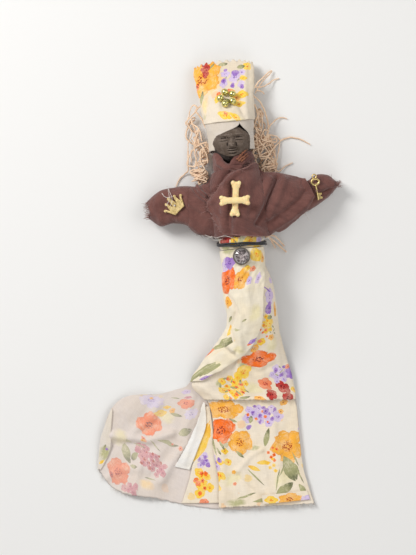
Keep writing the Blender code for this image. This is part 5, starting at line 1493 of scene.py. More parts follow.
    UPPER_PRINT = (
        Motif(Bloom.MIST, (252, 388), 0.0120, 10), Motif(Bloom.MIST, (272, 345), 0.0110, 100),
        Motif(Bloom.GLAZE, (219, 383), 0.0060, 60, 0.5), Motif(Bloom.GLAZE, (243, 364), 0.0070, 20, 0.5),
        Motif(Bloom.LILAC, (270, 280.5), 0.0034, 90), Motif(Bloom.LILAC, (269, 296), 0.0086, 78, 0.72),
        Motif(Bloom.VIOLET, (267, 289.5), 0.0058, 150, 0.16),
        Motif(Bloom.VIOLET, (268.5, 308), 0.0068, 75, 0.62),
        Motif(Bloom.AMBER, (274.5, 310), 0.0074, 90, 0.34), Motif(Bloom.LEAF, (269, 317), 0.0034, 10, 0.6),
        *cluster(Bloom.YELLOW, (267.5, 324), (5, 8), 0.0034, 8),
        *cluster(Bloom.POPPY, (264, 330), (4, 8), 0.0016, 5),
        *cluster(Bloom.LEAF, (272, 330), (4, 4), 0.0018, 4), Motif(Bloom.YELLOW, (261, 341.5), 0.0044),
        Motif(Bloom.CORAL, (259.5, 341), 0.0020), Motif(Bloom.AMBER, (271, 337), 0.0030),
        Motif(Bloom.POPPY, (258, 359), 0.0172, 8, 0.52), Motif(Bloom.AMBER, (255, 348), 0.0056, 75, 0.60),
        Motif(Bloom.YELLOW, (243, 372), 0.0088, 40, 0.80),
        *cluster(Bloom.YELLOW, (233, 387), (13, 12), 0.0040, 15),
        *cluster(Bloom.POPPY, (233, 388), (11, 12), 0.0018, 9),
        *cluster(Bloom.LEAF, (232, 388), (16, 13), 0.0030, 9),
        Motif(Bloom.CORAL, (265.5, 384), 0.0072, 10), Motif(Bloom.RED, (283, 387), 0.0072, 20),
        Motif(Bloom.RED, (271.5, 395), 0.0058, 40), Motif(Bloom.RED, (288, 398), 0.0060, 10),
        Motif(Bloom.VIOLET, (291, 374), 0.0062, 120), *cluster(Bloom.LILAC, (280, 375), (9, 8), 0.0040, 8),
        *cluster(Bloom.VIOLET, (284, 372), (9, 8), 0.0022, 6),
        *cluster(Bloom.LEAF, (279, 372), (5, 6), 0.0020, 3),
        Motif(Bloom.CORAL, (288, 367), 0.0032), Motif(Bloom.AMBER, (260, 398.5), 0.0060, 5, 0.40),
        Motif(Bloom.YELLOW, (294, 390), 0.0032), Motif(Bloom.LEAF, (245, 398), 0.0056, 20, 0.20),
    )
    LOWER_PRINT = (
        Motif(Bloom.GLAZE, (254, 449), 0.0066, 10, 0.5), Motif(Bloom.MIST, (232, 480), 0.0130, 30),
        Motif(Bloom.GLAZE, (236, 504), 0.0120, 5, 0.4), Motif(Bloom.MIST, (284, 480), 0.0150, 60),
        Motif(Bloom.AMBER, (224, 410), 0.0196, 5, 0.50), Motif(Bloom.POPPY, (221, 431), 0.0150, 30, 0.82),
        Motif(Bloom.AMBER, (240, 443), 0.0122, 60, 1.0), Motif(Bloom.AMBER, (288, 447), 0.0166, 50, 0.98),
        *cluster(Bloom.LILAC, (263, 415), (18, 9), 0.0046, 13),
        *cluster(Bloom.VIOLET, (264, 414), (17, 9), 0.0020, 8),
        *cluster(Bloom.POPPY, (262, 417), (14, 8), 0.0015, 5),
        Motif(Bloom.VIOLET, (266, 411.5), 0.0036, 40),
        Motif(Bloom.VIOLET, (249, 428), 0.0030, 40), Motif(Bloom.LEAF, (233, 421), 0.0044, 160, 0.25),
        Motif(Bloom.LEAF, (267, 438), 0.0088, 80, 0.30), Motif(Bloom.LEAF, (291, 470), 0.0132, 295, 0.50),
        Motif(Bloom.LEAF, (285, 490), 0.0104, 35, 0.42), Motif(Bloom.LEAF, (303, 490), 0.0058, 300, 0.42),
        Motif(Bloom.LEAF, (266, 501), 0.0120, 12, 0.16), Motif(Bloom.LEAF, (296, 460), 0.0070, 290, 0.10),
        Motif(Bloom.STROKE, (264, 463), 0.0068, 5, 0.32),
        Motif(Bloom.STROKE, (254, 469), 0.0062, 160, 0.34),
        *cluster(Bloom.POPPY, (273, 455), (5, 9), 0.0018, 6),
        *cluster(Bloom.YELLOW, (273, 466), (5, 8), 0.0020, 5),
        Motif(Bloom.LEAF, (214, 446), 0.0096, 105, 0.13), Motif(Bloom.LEAF, (219, 452), 0.0040, 300, 0.3),
        *cluster(Bloom.VIOLET, (213, 464), (9, 6), 0.0026, 7),
        *cluster(Bloom.LILAC, (212, 464), (9, 6), 0.0036, 4),
        Motif(Bloom.YELLOW, (225, 452), 0.0036), Motif(Bloom.YELLOW, (220, 463), 0.0036),
        *cluster(Bloom.YELLOW, (214, 482), (9, 12), 0.0042, 8),
        *cluster(Bloom.POPPY, (212, 481), (8, 12), 0.0022, 6),
        Motif(Bloom.AMBER, (234, 473), 0.0022), Motif(Bloom.CORAL, (235, 485), 0.0018),
        Motif(Bloom.LEAF, (256, 478), 0.0110, 315, 0.07), Motif(Bloom.LEAF, (278, 481), 0.0110, 78, 0.07),
        Motif(Bloom.LEAF, (283, 470), 0.0090, 62, 0.08), Motif(Bloom.LEAF, (247, 497), 0.0100, 20, 0.10),
        Motif(Bloom.LEAF, (300, 476), 0.0090, 295, 0.08), Motif(Bloom.LEAF, (240, 455), 0.0050, 320, 0.30),
        Motif(Bloom.LEAF, (222, 446), 0.0050, 300, 0.25), Motif(Bloom.YELLOW, (228, 463), 0.0040, 20),
        Motif(Bloom.LEAF, (251, 420), 0.0036, 80, 0.60), Motif(Bloom.AMBER, (281, 412), 0.0026),
        Motif(Bloom.LILAC, (302, 430), 0.0040, 20), Motif(Bloom.AMBER, (284, 403), 0.0046, 20, 0.6),
    )
    TRAIN_PRINT = (
        Motif(Bloom.MIST, (120, 440), 0.0130, 60), Motif(Bloom.MIST, (166, 418), 0.0110, 10),
        Motif(Bloom.GLAZE, (128, 442), 0.0060, 20, 0.4), Motif(Bloom.WASH, (146, 486), 0.0100, 20),
        Motif(Bloom.DAISY, (151, 401), 0.0138, 20, 0.62), Motif(Bloom.POPPY, (149, 425), 0.0134, 30),
        Motif(Bloom.AMBER, (151, 399), 0.0022), Motif(Bloom.CORAL, (186, 404), 0.0102, 10, 0.70),
        Motif(Bloom.LILAC, (186, 392.6), 0.0052, 0), Motif(Bloom.DAISY, (191, 415), 0.0072, 60),
        Motif(Bloom.YELLOW, (160, 414), 0.0066, 40, 0.6), Motif(Bloom.AMBER, (172, 411.6), 0.0034, 0),
        Motif(Bloom.LEAF, (176, 416), 0.0062, 20, 0.25), Motif(Bloom.LEAF, (185, 433), 0.0072, 50, 0.5),
        Motif(Bloom.LEAF, (125, 453), 0.0088, 310, 0.5), Motif(Bloom.LEAF, (133.6, 467.6), 0.0040, 20, 0.5),
        Motif(Bloom.CORAL, (143, 439.7), 0.0040, 160, 0.4), Motif(Bloom.LEAF, (168, 443), 0.0120, 20, 0.15),
        *cluster(Bloom.MAUVE, (143, 452), (8, 7), 0.0034, 8),
        *cluster(Bloom.MAUVE, (150, 461), (9, 8), 0.0036, 10),
        *cluster(Bloom.MAUVE, (159, 471), (8, 7), 0.0034, 8),
        *cluster(Bloom.RED, (151, 461), (11, 11), 0.0015, 10),
        Motif(Bloom.CORAL, (118, 474), 0.0134, 60, 0.95),
        *cluster(Bloom.MAUVE, (130, 490), (7, 4), 0.0036, 6),
        Motif(Bloom.RED, (111, 475), 0.0036, 60), Motif(Bloom.CORAL, (171.6, 446.6), 0.0020),
        Motif(Bloom.LEAF, (134, 457), 0.0050, 250, 0.5), Motif(Bloom.LEAF, (150, 480), 0.0060, 200, 0.12),
        Motif(Bloom.LEAF, (175, 399), 0.0046, 20, 0.3), Motif(Bloom.YELLOW, (167, 408), 0.0040, 40, 0.6),
        Motif(Bloom.AMBER, (142, 441), 0.0026, 20, 0.5), Motif(Bloom.LEAF, (139, 446), 0.0070, 10, 0.12),
        Motif(Bloom.MAUVE, (188, 398), 0.0040, 20), Motif(Bloom.CORAL, (180, 450), 0.0024),
        Motif(Bloom.LEAF, (155, 447), 0.0070, 345, 0.12),
    )
    TURNED_PRINT = (
        Motif(Bloom.GLAZE, (104, 454), 0.0096, 85, 0.7), Motif(Bloom.YELLOW, (101, 463), 0.0030, 60, 0.5),
        Motif(Bloom.LEAF, (104, 448), 0.0030, 80, 0.30), Motif(Bloom.VIOLET, (106, 450), 0.0016),
    )
    HEM_PRINT = (
        Motif(Bloom.AMBER, (290, 500), 0.0120, 5, 0.5), Motif(Bloom.LILAC, (308, 502), 0.0070, 10),
        Motif(Bloom.YELLOW, (272, 501), 0.0070, 5, 0.6),
    )
    PLEAT_PRINT = (
        Motif(Bloom.WASH, (200, 440), 0.0190, 95, 0.40), Motif(Bloom.STROKE, (201, 443), 0.0200, 76, 0.34),
        *cluster(Bloom.VIOLET, (205, 462), (6, 6), 0.0026, 5),
        *cluster(Bloom.LILAC, (204, 463), (6, 6), 0.0036, 3),
        *cluster(Bloom.YELLOW, (202, 484), (8, 13), 0.0046, 9),
        *cluster(Bloom.POPPY, (201, 482), (7, 13), 0.0024, 7),
        Motif(Bloom.CORAL, (204, 503), 0.0048, 0, 0.6),
    )

    def section(self, share: float, layer: float) -> tuple[float, float, float, float]:
        """Middle, half width, crest and side edge of the front at a share of the length."""
        top = BUILD.spine + BUILD.waist_radius
        side = BUILD.waist_radius / self.hem_width
        rows = ((0.0, -side, side, 1.0, BUILD.spine / top), (0.09, -side, side, 1.0, BUILD.spine / top),
                *self.SHARES)
        left, right, crest, edge = read_table(rows, share)
        inward = layer * BUILD.layer - BUILD.cloth / 2
        return ((left + right) / 2 * self.hem_width, (right - left) / 2 * self.hem_width + inward,
                crest * top + inward, edge * top)

    def point(self, place: float, share: float, layer: float) -> Vector:
        """Place on the front of the skirt.

        Args:
            place: From -1 at the left edge to 1 at the right.
            share: Share of the skirt's length.
            layer: Which layer of cloth.

        Returns:
            The place, from the waist's middle on the table.
        """
        middle, half, crest, edge = self.section(share, layer)
        rise = math.sqrt(max(1 - place * place, 0.0))
        x = middle + half * place
        fold = 0.5 - 0.5 * math.cos(2 * math.pi * 3.5 * x / self.hem_width)
        lift = self.fold * ease((share - 0.12) / 0.3) * fold * rise
        turn = 22 * math.asin(max(-1.0, min(1.0, place)))
        gather = 0.0007 * math.cos(turn) * (1 - ease((share - 0.02) / 0.22))
        height = edge + (crest - edge) * rise + lift - gather * (share > 0.02)
        return Vector((x, -share * self.length, height))

    @staticmethod
    def spread(u: float, end: float = 1.0) -> float:
        """Place from -1 to an end, in steps that are finer towards the sides."""
        return -math.cos(math.acos(-end) * u)

    def train_lift(self, x: float, y: float) -> float:
        """Height of the train's radiating folds over the table."""
        fade = ease((-x / self.reach - 0.50) / 0.22)
        angle = math.atan2(-y / self.length - 0.40, -x / self.reach - 0.22)
        return self.train_fold * fade * (0.5 - 0.5 * math.cos(12 * angle))

    def back(self, place: float, share: float) -> Vector:
        """Place on the back cloth where it rounds the husk."""
        middle, half, _, edge = self.section(share, self.BACK_LAYER)
        waist_rest = BUILD.spine - self.section(0.0, self.BACK_LAYER)[1]
        rest = BUILD.cloth / 2 + (waist_rest - BUILD.cloth / 2) * (1 - ease(share / 0.27))
        rise = math.sqrt(max(0.0, 1.0 - place * place))
        rim = (edge - BUILD.gap - rest) * (1 - ease((share - 0.36) / 0.12))
        return Vector((middle + half * place, -share * self.length, rest + rim * (1 - rise)))

    def train(self, side: float, down: float) -> Vector:
        """Place on the flat part of the back panel and its train."""
        left, right = along(self.LEFT_SHARES, down), along(self.RIGHT_SHARES, down)
        ends = Vector(self.LEFT_SHARES[-1]), Vector(self.RIGHT_SHARES[-1])
        hem = along((self.LEFT_SHARES[-1], *self.HEM_SHARES, self.RIGHT_SHARES[-1]), side)
        flat = left.lerp(right, side) + (hem - ends[0].lerp(ends[1], side)) * down**2
        x, y = flat[0] * self.reach, -flat[1] * self.length
        return Vector((x, y, BUILD.cloth / 2 + self.train_lift(x, y)))

    def panel(self, u: float, v: float) -> Vector:
        """Place on the whole back panel, from the waist to the train's hem."""
        start = self.top / self.length
        step = v * 17
        place, side = self.spread(u), (1 + self.spread(u)) / 2
        if step <= 8:
            return self.back(place, start + (0.48 - start) * step / 8)
        if step >= 9:
            return self.train(side, (step - 9) / 8)
        return self.back(place, 0.48).lerp(self.train(side, 0.0), step - 8)

    def front(self, layer: float, top: float, foot: tuple[float, float], spare: float = 0.0,
              edge: Callable[[float], float] | None = None) -> Surface:
        """Surface of one front cloth.

        Args:
            layer: Which layer of cloth.
            top: Share of the length where it starts.
            foot: Share where it ends, and how much further it goes to the right.
            spare: Width that its right edge has over below its top.
            edge: Place of its right edge for a share, or None for the full width.

        Returns:
            The surface.
        """
        def surface(u: float, v: float) -> Vector:
            side = (1 + self.spread(u)) / 2
            share = top + (foot[0] + foot[1] * side - top) * v
            place = self.point(self.spread(u, edge(share) if edge else 1.0), share, layer)
            place.x += spare * ease(v * 5) * max(2 * side - 1, 0.0) ** 3
            return place
        return surface

    def strip(self, left: Sequence[Row], right: Sequence[Row], layer: float, foot: float = 0.0) -> Surface:
        """Surface of a turned edge along the train.

        Args:
            left: Places of its left edge.
            right: Places of its right edge.
            layer: Which layer of cloth.
            foot: How many layers its end comes down.

        Returns:
            The surface.
        """
        def surface(u: float, v: float) -> Vector:
            flat = along(left, v).lerp(along(right, v), u)
            x, y = flat[0] * self.reach, -flat[1] * self.length
            level = layer - foot * ease((v - 0.80) / 0.20)
            return Vector((x, y, BUILD.cloth / 2 + level * BUILD.layer + self.train_lift(x, y)))
        return surface

    def turned(self, u: float, v: float) -> Vector:
        """Place on the turned hem at the right corner."""
        place = self.point(self.spread(0.5 + 0.375 * u), 0.945 + 0.034 * v, -1.7)
        return place + Vector((0.0035 * u, 0.0, 0.0))

    def cloths(self) -> tuple[tuple[str, ClothSheet, Held, str], ...]:
        """Solid, cloth, hold and rest of every cloth, from the table up."""
        start = self.top / self.length
        lower = self.front(-3.5, 0.540, (0.975, 0.020), 0.0050)
        upper = self.front(-1.6, start, (0.564, 0.033), 0.0024)
        wrap = self.front(0.0, start, (0.492, 0.0), edge=self.wrap_edge)
        return (
            ("back_panel", ClothSheet(
                "back_cloth", self.panel, 24, 34, PRINT_BACK, PRINT, 6, folds=self.TRAIN_FOLDS,
                crumple=0.0007, patch=0.016, motifs=self.TRAIN_PRINT, frayed=("end",), seed=4),
             Held.DRAPED, "skirt_bundle"),
            ("front_lower", ClothSheet(
                "lower_front", lower, 18, 22, PRINT, PRINT_BACK, 6, folds=self.LOWER_FOLDS, crumple=0.0006,
                motifs=self.LOWER_PRINT, frayed=("end",), seed=5), Held.DRAPED, "back_cloth"),
            ("front_upper", ClothSheet(
                "upper_front", upper, 18, 30, PRINT, PRINT_BACK, 6, folds=self.FRONT_FOLDS, crumple=0.0006,
                motifs=self.UPPER_PRINT, frayed=("end",), seed=6), Held.GATHERED, "waist_band"),
            ("overwrap", ClothSheet(
                "wrapped_front", wrap, 18, 28, WRAP, LINING, 6, folds=self.FRONT_FOLDS + self.WRAP_FOLDS,
                crumple=0.0006, motifs=self.WRAP_PRINT, frayed=("right",), fray=0.0008, seed=7),
             Held.GATHERED, "waist_band"),
            ("pleat_strip", ClothSheet(
                "side_pleat", self.strip(*self.PLEAT_SHARES, 1), 8, 20, PRINT, PRINT_BACK, 4,
                motifs=self.PLEAT_PRINT, seed=8), Held.FOLDED, "back_cloth"),
            ("white_edge_strip", ClothSheet(
                "white_edge", self.strip(*self.WHITE_SHARES, 2, 1.0), 4, 14, WHITE, WHITE, 4, crumple=0.0007,
                folds=self.WHITE_FOLDS, frayed=("left",), fray=0.0006, seed=9), Held.FOLDED, "back_cloth"),
            ("turned_train_edge", ClothSheet(
                "train_edge", self.strip(*self.EDGE_SHARES, 1), 4, 12, LINING, LINING, 4,
                motifs=self.TURNED_PRINT, seed=10), Held.FOLDED, "back_cloth"),
            ("turned_hem", ClothSheet(
                "folded_hem", self.turned, 10, 4, PRINT, PRINT, 4, motifs=self.HEM_PRINT, seed=11),
             Held.FOLDED, "back_cloth"),
        )

    def build(self) -> None:
        """Build every cloth of the skirt, its loose threads and its husk."""
        threads = []
        for node, sheet, held, rest in self.cloths():
            sheet.lay(node, held, rest)
            threads += sheet.loose_threads(0.0016, 0.0042)
        loose = grown("skirt_threads", "thread", threads, THREAD, Radius=0.00010, Taper=0.5, Sides=5)
        seat(loose, "doll")
        self.bundle()

    def wrap_edge(self, share: float) -> float:
        """Place of the overwrap's free edge."""
        return read_table(self.WRAP_SHARES, share)[0]

    def bundle(self) -> None:
        """Husk bundle in the top of the skirt."""
        rings, rows, foot = [], 24, 0.084
        for row in range(rows + 1):
            share = (self.top + (foot - self.top) * row / rows) / self.length
            middle, half, crest, _ = self.section(share, self.BACK_LAYER)
            half = min(half, BUILD.waist_radius + 0.0010) - 2 * BUILD.layer
            low = self.back(0.0, share).z + BUILD.layer + BUILD.gap
            high = crest - 2 * BUILD.layer
            ring = []
            for angle in turns(96):
                ridge = 0.93 + 0.05 * abs(math.sin(9 * angle + 0.7 * math.sin(3 * angle)))
                ring.append(WAIST + Vector((middle * 0.4 + half * 0.9 * ridge * math.cos(angle),
                                            -share * self.length,
                                            (low + high) / 2 + (high - low) / 2 * ridge * math.sin(angle))))
            rings.append(ring)
        piece = add_object("skirt_bundle", ring_mesh("skirt_bundle", rings), HUSK)
        seat(piece, "doll", "skirt_husk")


@dataclass
class Body:
    """Torso, sleeves and crossed shawl of brown cotton.

    Attributes:
        torso: Width and depth of the torso.
        ends: Foot and top of the bodice along the spine.
        reach: Reach of the left and right arm.
        span: Length that the sleeves' near and far shares refer to.
        height: Height that the sleeves' crest shares refer to.
        rise: Clearance of the sleeves' underside over the table.
        slack: Looseness of the shawl.
        blend: Softness where arm and torso meet.
    """

    torso: tuple[float, float] = (0.044, 0.0405)
    ends: tuple[float, float] = (0.0105, 0.0665)
    reach: tuple[float, float] = (0.079, 0.089)
    span: float = 0.062
    height: float = 0.0330
    rise: float = 0.00145
    slack: float = 0.0008
    blend: float = 0.0040

    TORSO_SHARES = ((0.0, 0.96, 1.0), (0.25, 0.99, 1.01), (0.55, 1.0, 1.02), (0.82, 0.94, 0.98),
                    (1.0, 0.80, 0.86))
    LEFT_SHARES = ((0.0, 0.16, 0.93, 1.00), (0.25, 0.24, 0.91, 0.95), (0.45, 0.37, 0.93, 0.88),
                   (0.65, 0.42, 0.92, 0.78), (0.85, 0.40, 0.88, 0.68), (1.0, 0.50, 0.78, 0.60))
    RIGHT_SHARES = ((0.0, 0.13, 1.00, 1.02), (0.20, 0.18, 0.96, 0.96), (0.40, 0.31, 0.90, 0.86),
                    (0.60, 0.40, 0.82, 0.76), (0.78, 0.50, 0.90, 0.68), (0.92, 0.60, 0.88, 0.60),
                    (1.0, 0.68, 0.80, 0.56))
    LEFT_PANEL = (
        ((-0.465, 0.835), (-0.370, 0.830), (-0.280, 0.870), (-0.205, 0.985), (-0.110, 1.030), (0.020, 1.020)),
        ((-0.495, 0.305), (-0.345, 0.178), (-0.250, 0.138), (-0.150, 0.125), (0.020, 0.125)),
        ((-0.465, 0.835), (-0.490, 0.600), (-0.495, 0.305)),
        ((0.020, 1.020), (0.020, 0.500), (0.020, 0.125)))
    RIGHT_PANEL = (
        ((0.175, 1.090), (0.250, 0.990), (0.360, 0.895), (0.560, 0.820), (0.700, 0.750)),
        ((-0.150, 0.170), (0.210, 0.090), (0.400, 0.190), (0.511, 0.275), (0.677, 0.440), (0.765, 0.560)),
        ((0.175, 1.090), (0.040, 0.985), (-0.081, 0.880), (-0.185, 0.715), (-0.300, 0.560), (-0.225, 0.390),
         (-0.150, 0.170)),
        ((0.700, 0.750), (0.745, 0.670), (0.765, 0.560)))
    BACK_PANEL = ((-0.70, 0.44, 0.80), (-0.35, 0.31, 0.86), (-0.15, 0.20, 0.94), (0.0, 0.15, 0.96),
                  (0.35, 0.22, 0.88), (0.76, 0.52, 0.76))
    FOLDS = (
        Fold(((277, 178), (270, 195), (262, 215), (257, 224)), -0.0046, 0.0022),
        Fold(((284, 180), (277, 198), (269, 218)), 0.0024, 0.0034),
        Fold(((270, 180), (262, 198), (254, 216)), 0.0016, 0.0030),
        Fold(((313, 195), (305, 206), (290, 219), (262, 234)), 0.0018, 0.0020),
        Fold(((308, 189), (298, 201), (284, 213), (262, 226)), -0.0022, 0.0028),
        Fold(((178, 219), (195, 229), (208, 236)), 0.0018, 0.0020),
        Fold(((176, 200), (188, 213), (204, 220)), -0.0018, 0.0030),
        Fold(((321, 193), (328, 190), (337, 188)), -0.0026, 0.0018),
        Fold(((303, 178), (312, 184), (324, 187)), 0.0018, 0.0026),
        Fold(((303, 182), (306, 190), (313, 198)), -0.0016, 0.0022),
        Fold(((290, 166), (300, 184), (304, 196)), -0.0014, 0.0034),
        Fold(((168, 190), (164, 204), (166, 220)), -0.0016, 0.0030),
        Fold(((158, 196), (156, 206), (160, 220)), 0.0012, 0.0022),
        Fold(((262, 172), (254, 192), (250, 214)), -0.0014, 0.0030),
        Fold(((246, 206), (243, 222), (244, 238)), 0.0014, 0.0036),
    )
    LEFT_FOLDS = (
        Fold(((192, 184), (197, 193), (204, 199), (212, 202)), -0.0052, 0.0018),
        Fold(((200, 184), (204, 190), (209, 196), (214, 198)), -0.0036, 0.0014),
        Fold(((196, 184), (200, 192), (206, 197)), 0.0030, 0.0016),
        Fold(((176, 190), (186, 206), (200, 214)), -0.0016, 0.0022),
        Fold(((254, 160), (239, 167), (225, 177), (208, 202)), -0.0034, 0.0022),
        Fold(((212, 210), (222, 222), (230, 234)), -0.0018, 0.0024),
    )
    RIGHT_FOLDS = (
        Fold(((253, 163), (240, 171), (228, 181), (212, 203)), 0.0020, 0.0020),
        Fold(((215, 212), (222, 222), (229, 233)), 0.0012, 0.0018),
        Fold(((233, 184), (231, 205), (229, 224), (229, 240)), -0.0040, 0.0024),
        Fold(((227, 184), (224, 205), (223, 228)), 0.0020, 0.0026),
        Fold(((239, 182), (238, 205), (236, 232)), 0.0018, 0.0030),
        Fold(((222, 188), (216, 198), (214, 206)), -0.0010, 0.0018),
    )

    @property
    def start(self) -> float:
        """Distance from the spine to the root of a sleeve."""
        return self.torso[0] / 2 + BUILD.cloth / 2 + BUILD.gap

    def torso_section(self, y: float) -> tuple[float, float, float]:
        """Half width, crest and underside of the bodice."""
        share = (y - self.ends[0]) / (self.ends[1] - self.ends[0])
        wide, deep = read_table(self.TORSO_SHARES, min(max(share, 0.0), 1.0))
        return wide * self.torso[0] / 2, BUILD.spine + deep * self.torso[1] / 2, self.rise + BUILD.cloth / 2

    def sleeve_section(self, x: float) -> tuple[float, float, float, float]:
        """Middle, half width, crest and underside of a sleeve."""
        rows, reach = (self.LEFT_SHARES, self.reach[0]) if x < 0 else (self.RIGHT_SHARES, self.reach[1])
        share = (abs(x) - self.start) / (reach - self.start)
        near, far, crest = read_table(rows, min(max(share, 0.0), 1.0))
        return ((near + far) / 2 * self.span, (far - near) / 2 * self.span, crest * self.height,
                self.rise + BUILD.cloth / 2)

    def top(self, x: float, y: float) -> float:
        """Height of the dressed body's front."""
        wide, crest, _ = self.torso_section(y)
        torso = BUILD.spine + (crest - BUILD.spine) * math.sqrt(1 - min(abs(x) / wide, 1.0) ** 2)
        torso -= 2 * max(abs(x) - wide, 0.0)
        middle, half, high, low = self.sleeve_section(x)
        dome = (1 - min(abs((y - middle) / half), 0.95) ** 2.5) ** 0.5
        arm = (high + low) / 2 + (high - low) / 2 * dome
        return max(torso, arm) + self.blend * math.log1p(math.exp(-abs(torso - arm) / self.blend))

    def over(self, x: float, y: float, lift: float) -> Vector:
        """Place at a distance over the body's front."""
        return over(self.top, x, y, lift)

    def panel(self, edges: Sequence[Sequence[Row]], lift: float) -> Surface:
        """Surface of one crossed panel inside its four edges."""
        top, bottom, left, right = edges

        def surface(u: float, v: float) -> Vector:
            corners = (Vector(top[0]).lerp(Vector(top[-1]), u)).lerp(
                Vector(bottom[0]).lerp(Vector(bottom[-1]), u), v)
            flat = (along(top, u).lerp(along(bottom, u), v) + along(left, v).lerp(along(right, v), u)
                    - corners)
            return self.over(flat[0] * self.reach[1], flat[1] * self.ends[1], lift)
        return surface

    def sleeve(self, side: int) -> Surface:
        """Surface of one sleeve, round the arm and then out along it."""
        reach = self.reach[0] if side < 0 else self.reach[1]

        def surface(u: float, v: float) -> Vector:
            x = side * (self.start + (reach - self.start) * v)
            middle, half, crest, low = self.sleeve_section(x)
            angle = 2 * math.pi * u - math.pi / 2
            y = math.copysign(abs(math.cos(angle)) ** 0.8, math.cos(angle))
            z = math.copysign(abs(math.sin(angle)) ** 0.8, math.sin(angle))
            return Vector((x, middle + half * y, (crest + low) / 2 + (crest - low) / 2 * z))
        return surface

    def bodice(self, u: float, v: float) -> Vector:
        """Place on the bodice."""
        y = self.ends[0] + (self.ends[1] - self.ends[0]) * v
        wide, crest, low = self.torso_section(y)
        angle = 2 * math.pi * u - math.pi / 2
        height = (crest if math.sin(angle) > 0 else 2 * BUILD.spine - low) - BUILD.spine
        return Vector((wide * math.cos(angle), y, BUILD.spine + height * math.sin(angle)))

    def back(self, u: float, v: float) -> Vector:
        """Place on the back of the shawl, flat on the table."""
        first, last = self.BACK_PANEL[0][0], self.BACK_PANEL[-1][0]
        across = first + (last - first) * u
        near, far = read_table(self.BACK_PANEL, across)
        return Vector((across * self.reach[1], (near + (far - near) * v) * self.ends[1], BUILD.cloth / 2))

    def cloths(self) -> tuple[tuple[str, ClothSheet, Held, str], ...]:
        """Solid, cloth, hold and rest of every cloth, from the inside out."""
        lift = BUILD.layer + self.slack
        left, right = self.panel(self.LEFT_PANEL, lift), self.panel(self.RIGHT_PANEL, 2 * lift)
        return (
            ("bodice", ClothSheet(
                "bodice_cloth", self.bodice, 24, 8, BROWN, BROWN_SHADED_INSIDE, 3, closed=True, folds=self.FOLDS,
                crumple=0.0003, seed=21), Held.STRETCHED, "torso_bundle"),
            ("sleeve_left", ClothSheet(
                "left_sleeve", self.sleeve(-1), 28, 12, BROWN, BROWN_SHADED_INSIDE, 4, closed=True, folds=self.FOLDS,
                crumple=0.0006, frayed=("end",), fray=0.0030, seed=22), Held.GATHERED, "left_arm_roll"),
            ("sleeve_right", ClothSheet(
                "right_sleeve", self.sleeve(1), 28, 14, BROWN, BROWN_SHADED_INSIDE, 4, closed=True, folds=self.FOLDS,
                crumple=0.0006, frayed=("end",), fray=0.0036, seed=23), Held.GATHERED, "right_arm_roll"),
            ("shawl_back", ClothSheet(
                "shawl_under", self.back, 28, 6, BROWN, BROWN, 4, crumple=0.0002, frayed=("left", "right"),
                seed=24), Held.LAID, "bodice_cloth"),
            ("shawl_left", ClothSheet(
                "left_panel", left, 20, 20, BROWN, BROWN_SHADED_INSIDE, 4, folds=self.FOLDS + self.LEFT_FOLDS,
                crumple=0.0006, frayed=("end",), seed=25), Held.DRAPED, "bodice_cloth"),
            ("shawl_right", ClothSheet(
                "right_panel", right, 30, 22, BROWN, BROWN_SHADED_INSIDE, 4, folds=self.FOLDS + self.RIGHT_FOLDS,
                crumple=0.0006, frayed=("left",), fray=0.0026, seed=26), Held.DRAPED, "left_panel"),
        )

    def build(self) -> None:
        """Build the cloths, threads, husk and sticks of the body."""
        threads, rolls = [], []
        for node, sheet, held, rest in self.cloths():
            sheet.lay(node, held, rest)
            threads += [line for line in sheet.loose_threads(0.0010, 0.0050)
                        if min(spot[1] for spot in line) > WAIST.y + self.ends[0] - 0.0025]
            if held is Held.DRAPED:
                rolls += [[Vector(spot) for spot in sheet.edge(side)[0]] for side in ("end", *sheet.frayed)]
        for name, lines, finish, radius in (("shawl_threads", threads, BROWN_THREAD, 0.00012),
                                            ("shawl_rolled_edge", rolls, BROWN_PALE, 0.00075)):
            piece = grown(name, "thread", lines, finish, Radius=radius, Wobble=0.0005, Taper=0.3, Sides=6)
            seat(piece, "doll")
        self.stray_threads()
        self.bundles()

    STRAYS = (
        ((168, 190), (171, 194), (174, 200), (172, 206)), ((164, 196), (168, 199), (175, 198)),
        ((168, 206), (171, 200), (170, 193)), ((205, 235), (212, 237), (220, 240), (226, 239)),
        ((208, 239), (215, 236), (222, 238)), ((258, 240), (264, 238), (270, 235)),
        ((262, 238), (268, 244), (273, 249)), ((303, 209), (305, 214), (308, 221)),
        ((300, 212), (303, 209), (306, 207)), ((220, 238), (228, 236), (236, 239)),
    )

    def stray_threads(self) -> None:
        """Stray white threads by the crown, the right sleeve and the waist."""
        lift = 2 * BUILD.layer + 2 * self.slack + 0.0008
        paths = [[WAIST + self.over(spot[0], spot[1], lift) for spot in traced(line, 20)]
                 for line in self.STRAYS]
        piece = grown("stray_threads", "thread", paths, THREAD, Radius=0.00022, Wobble=0.0008, Taper=0.4,
                      Sides=6)
        seat(piece, "doll")

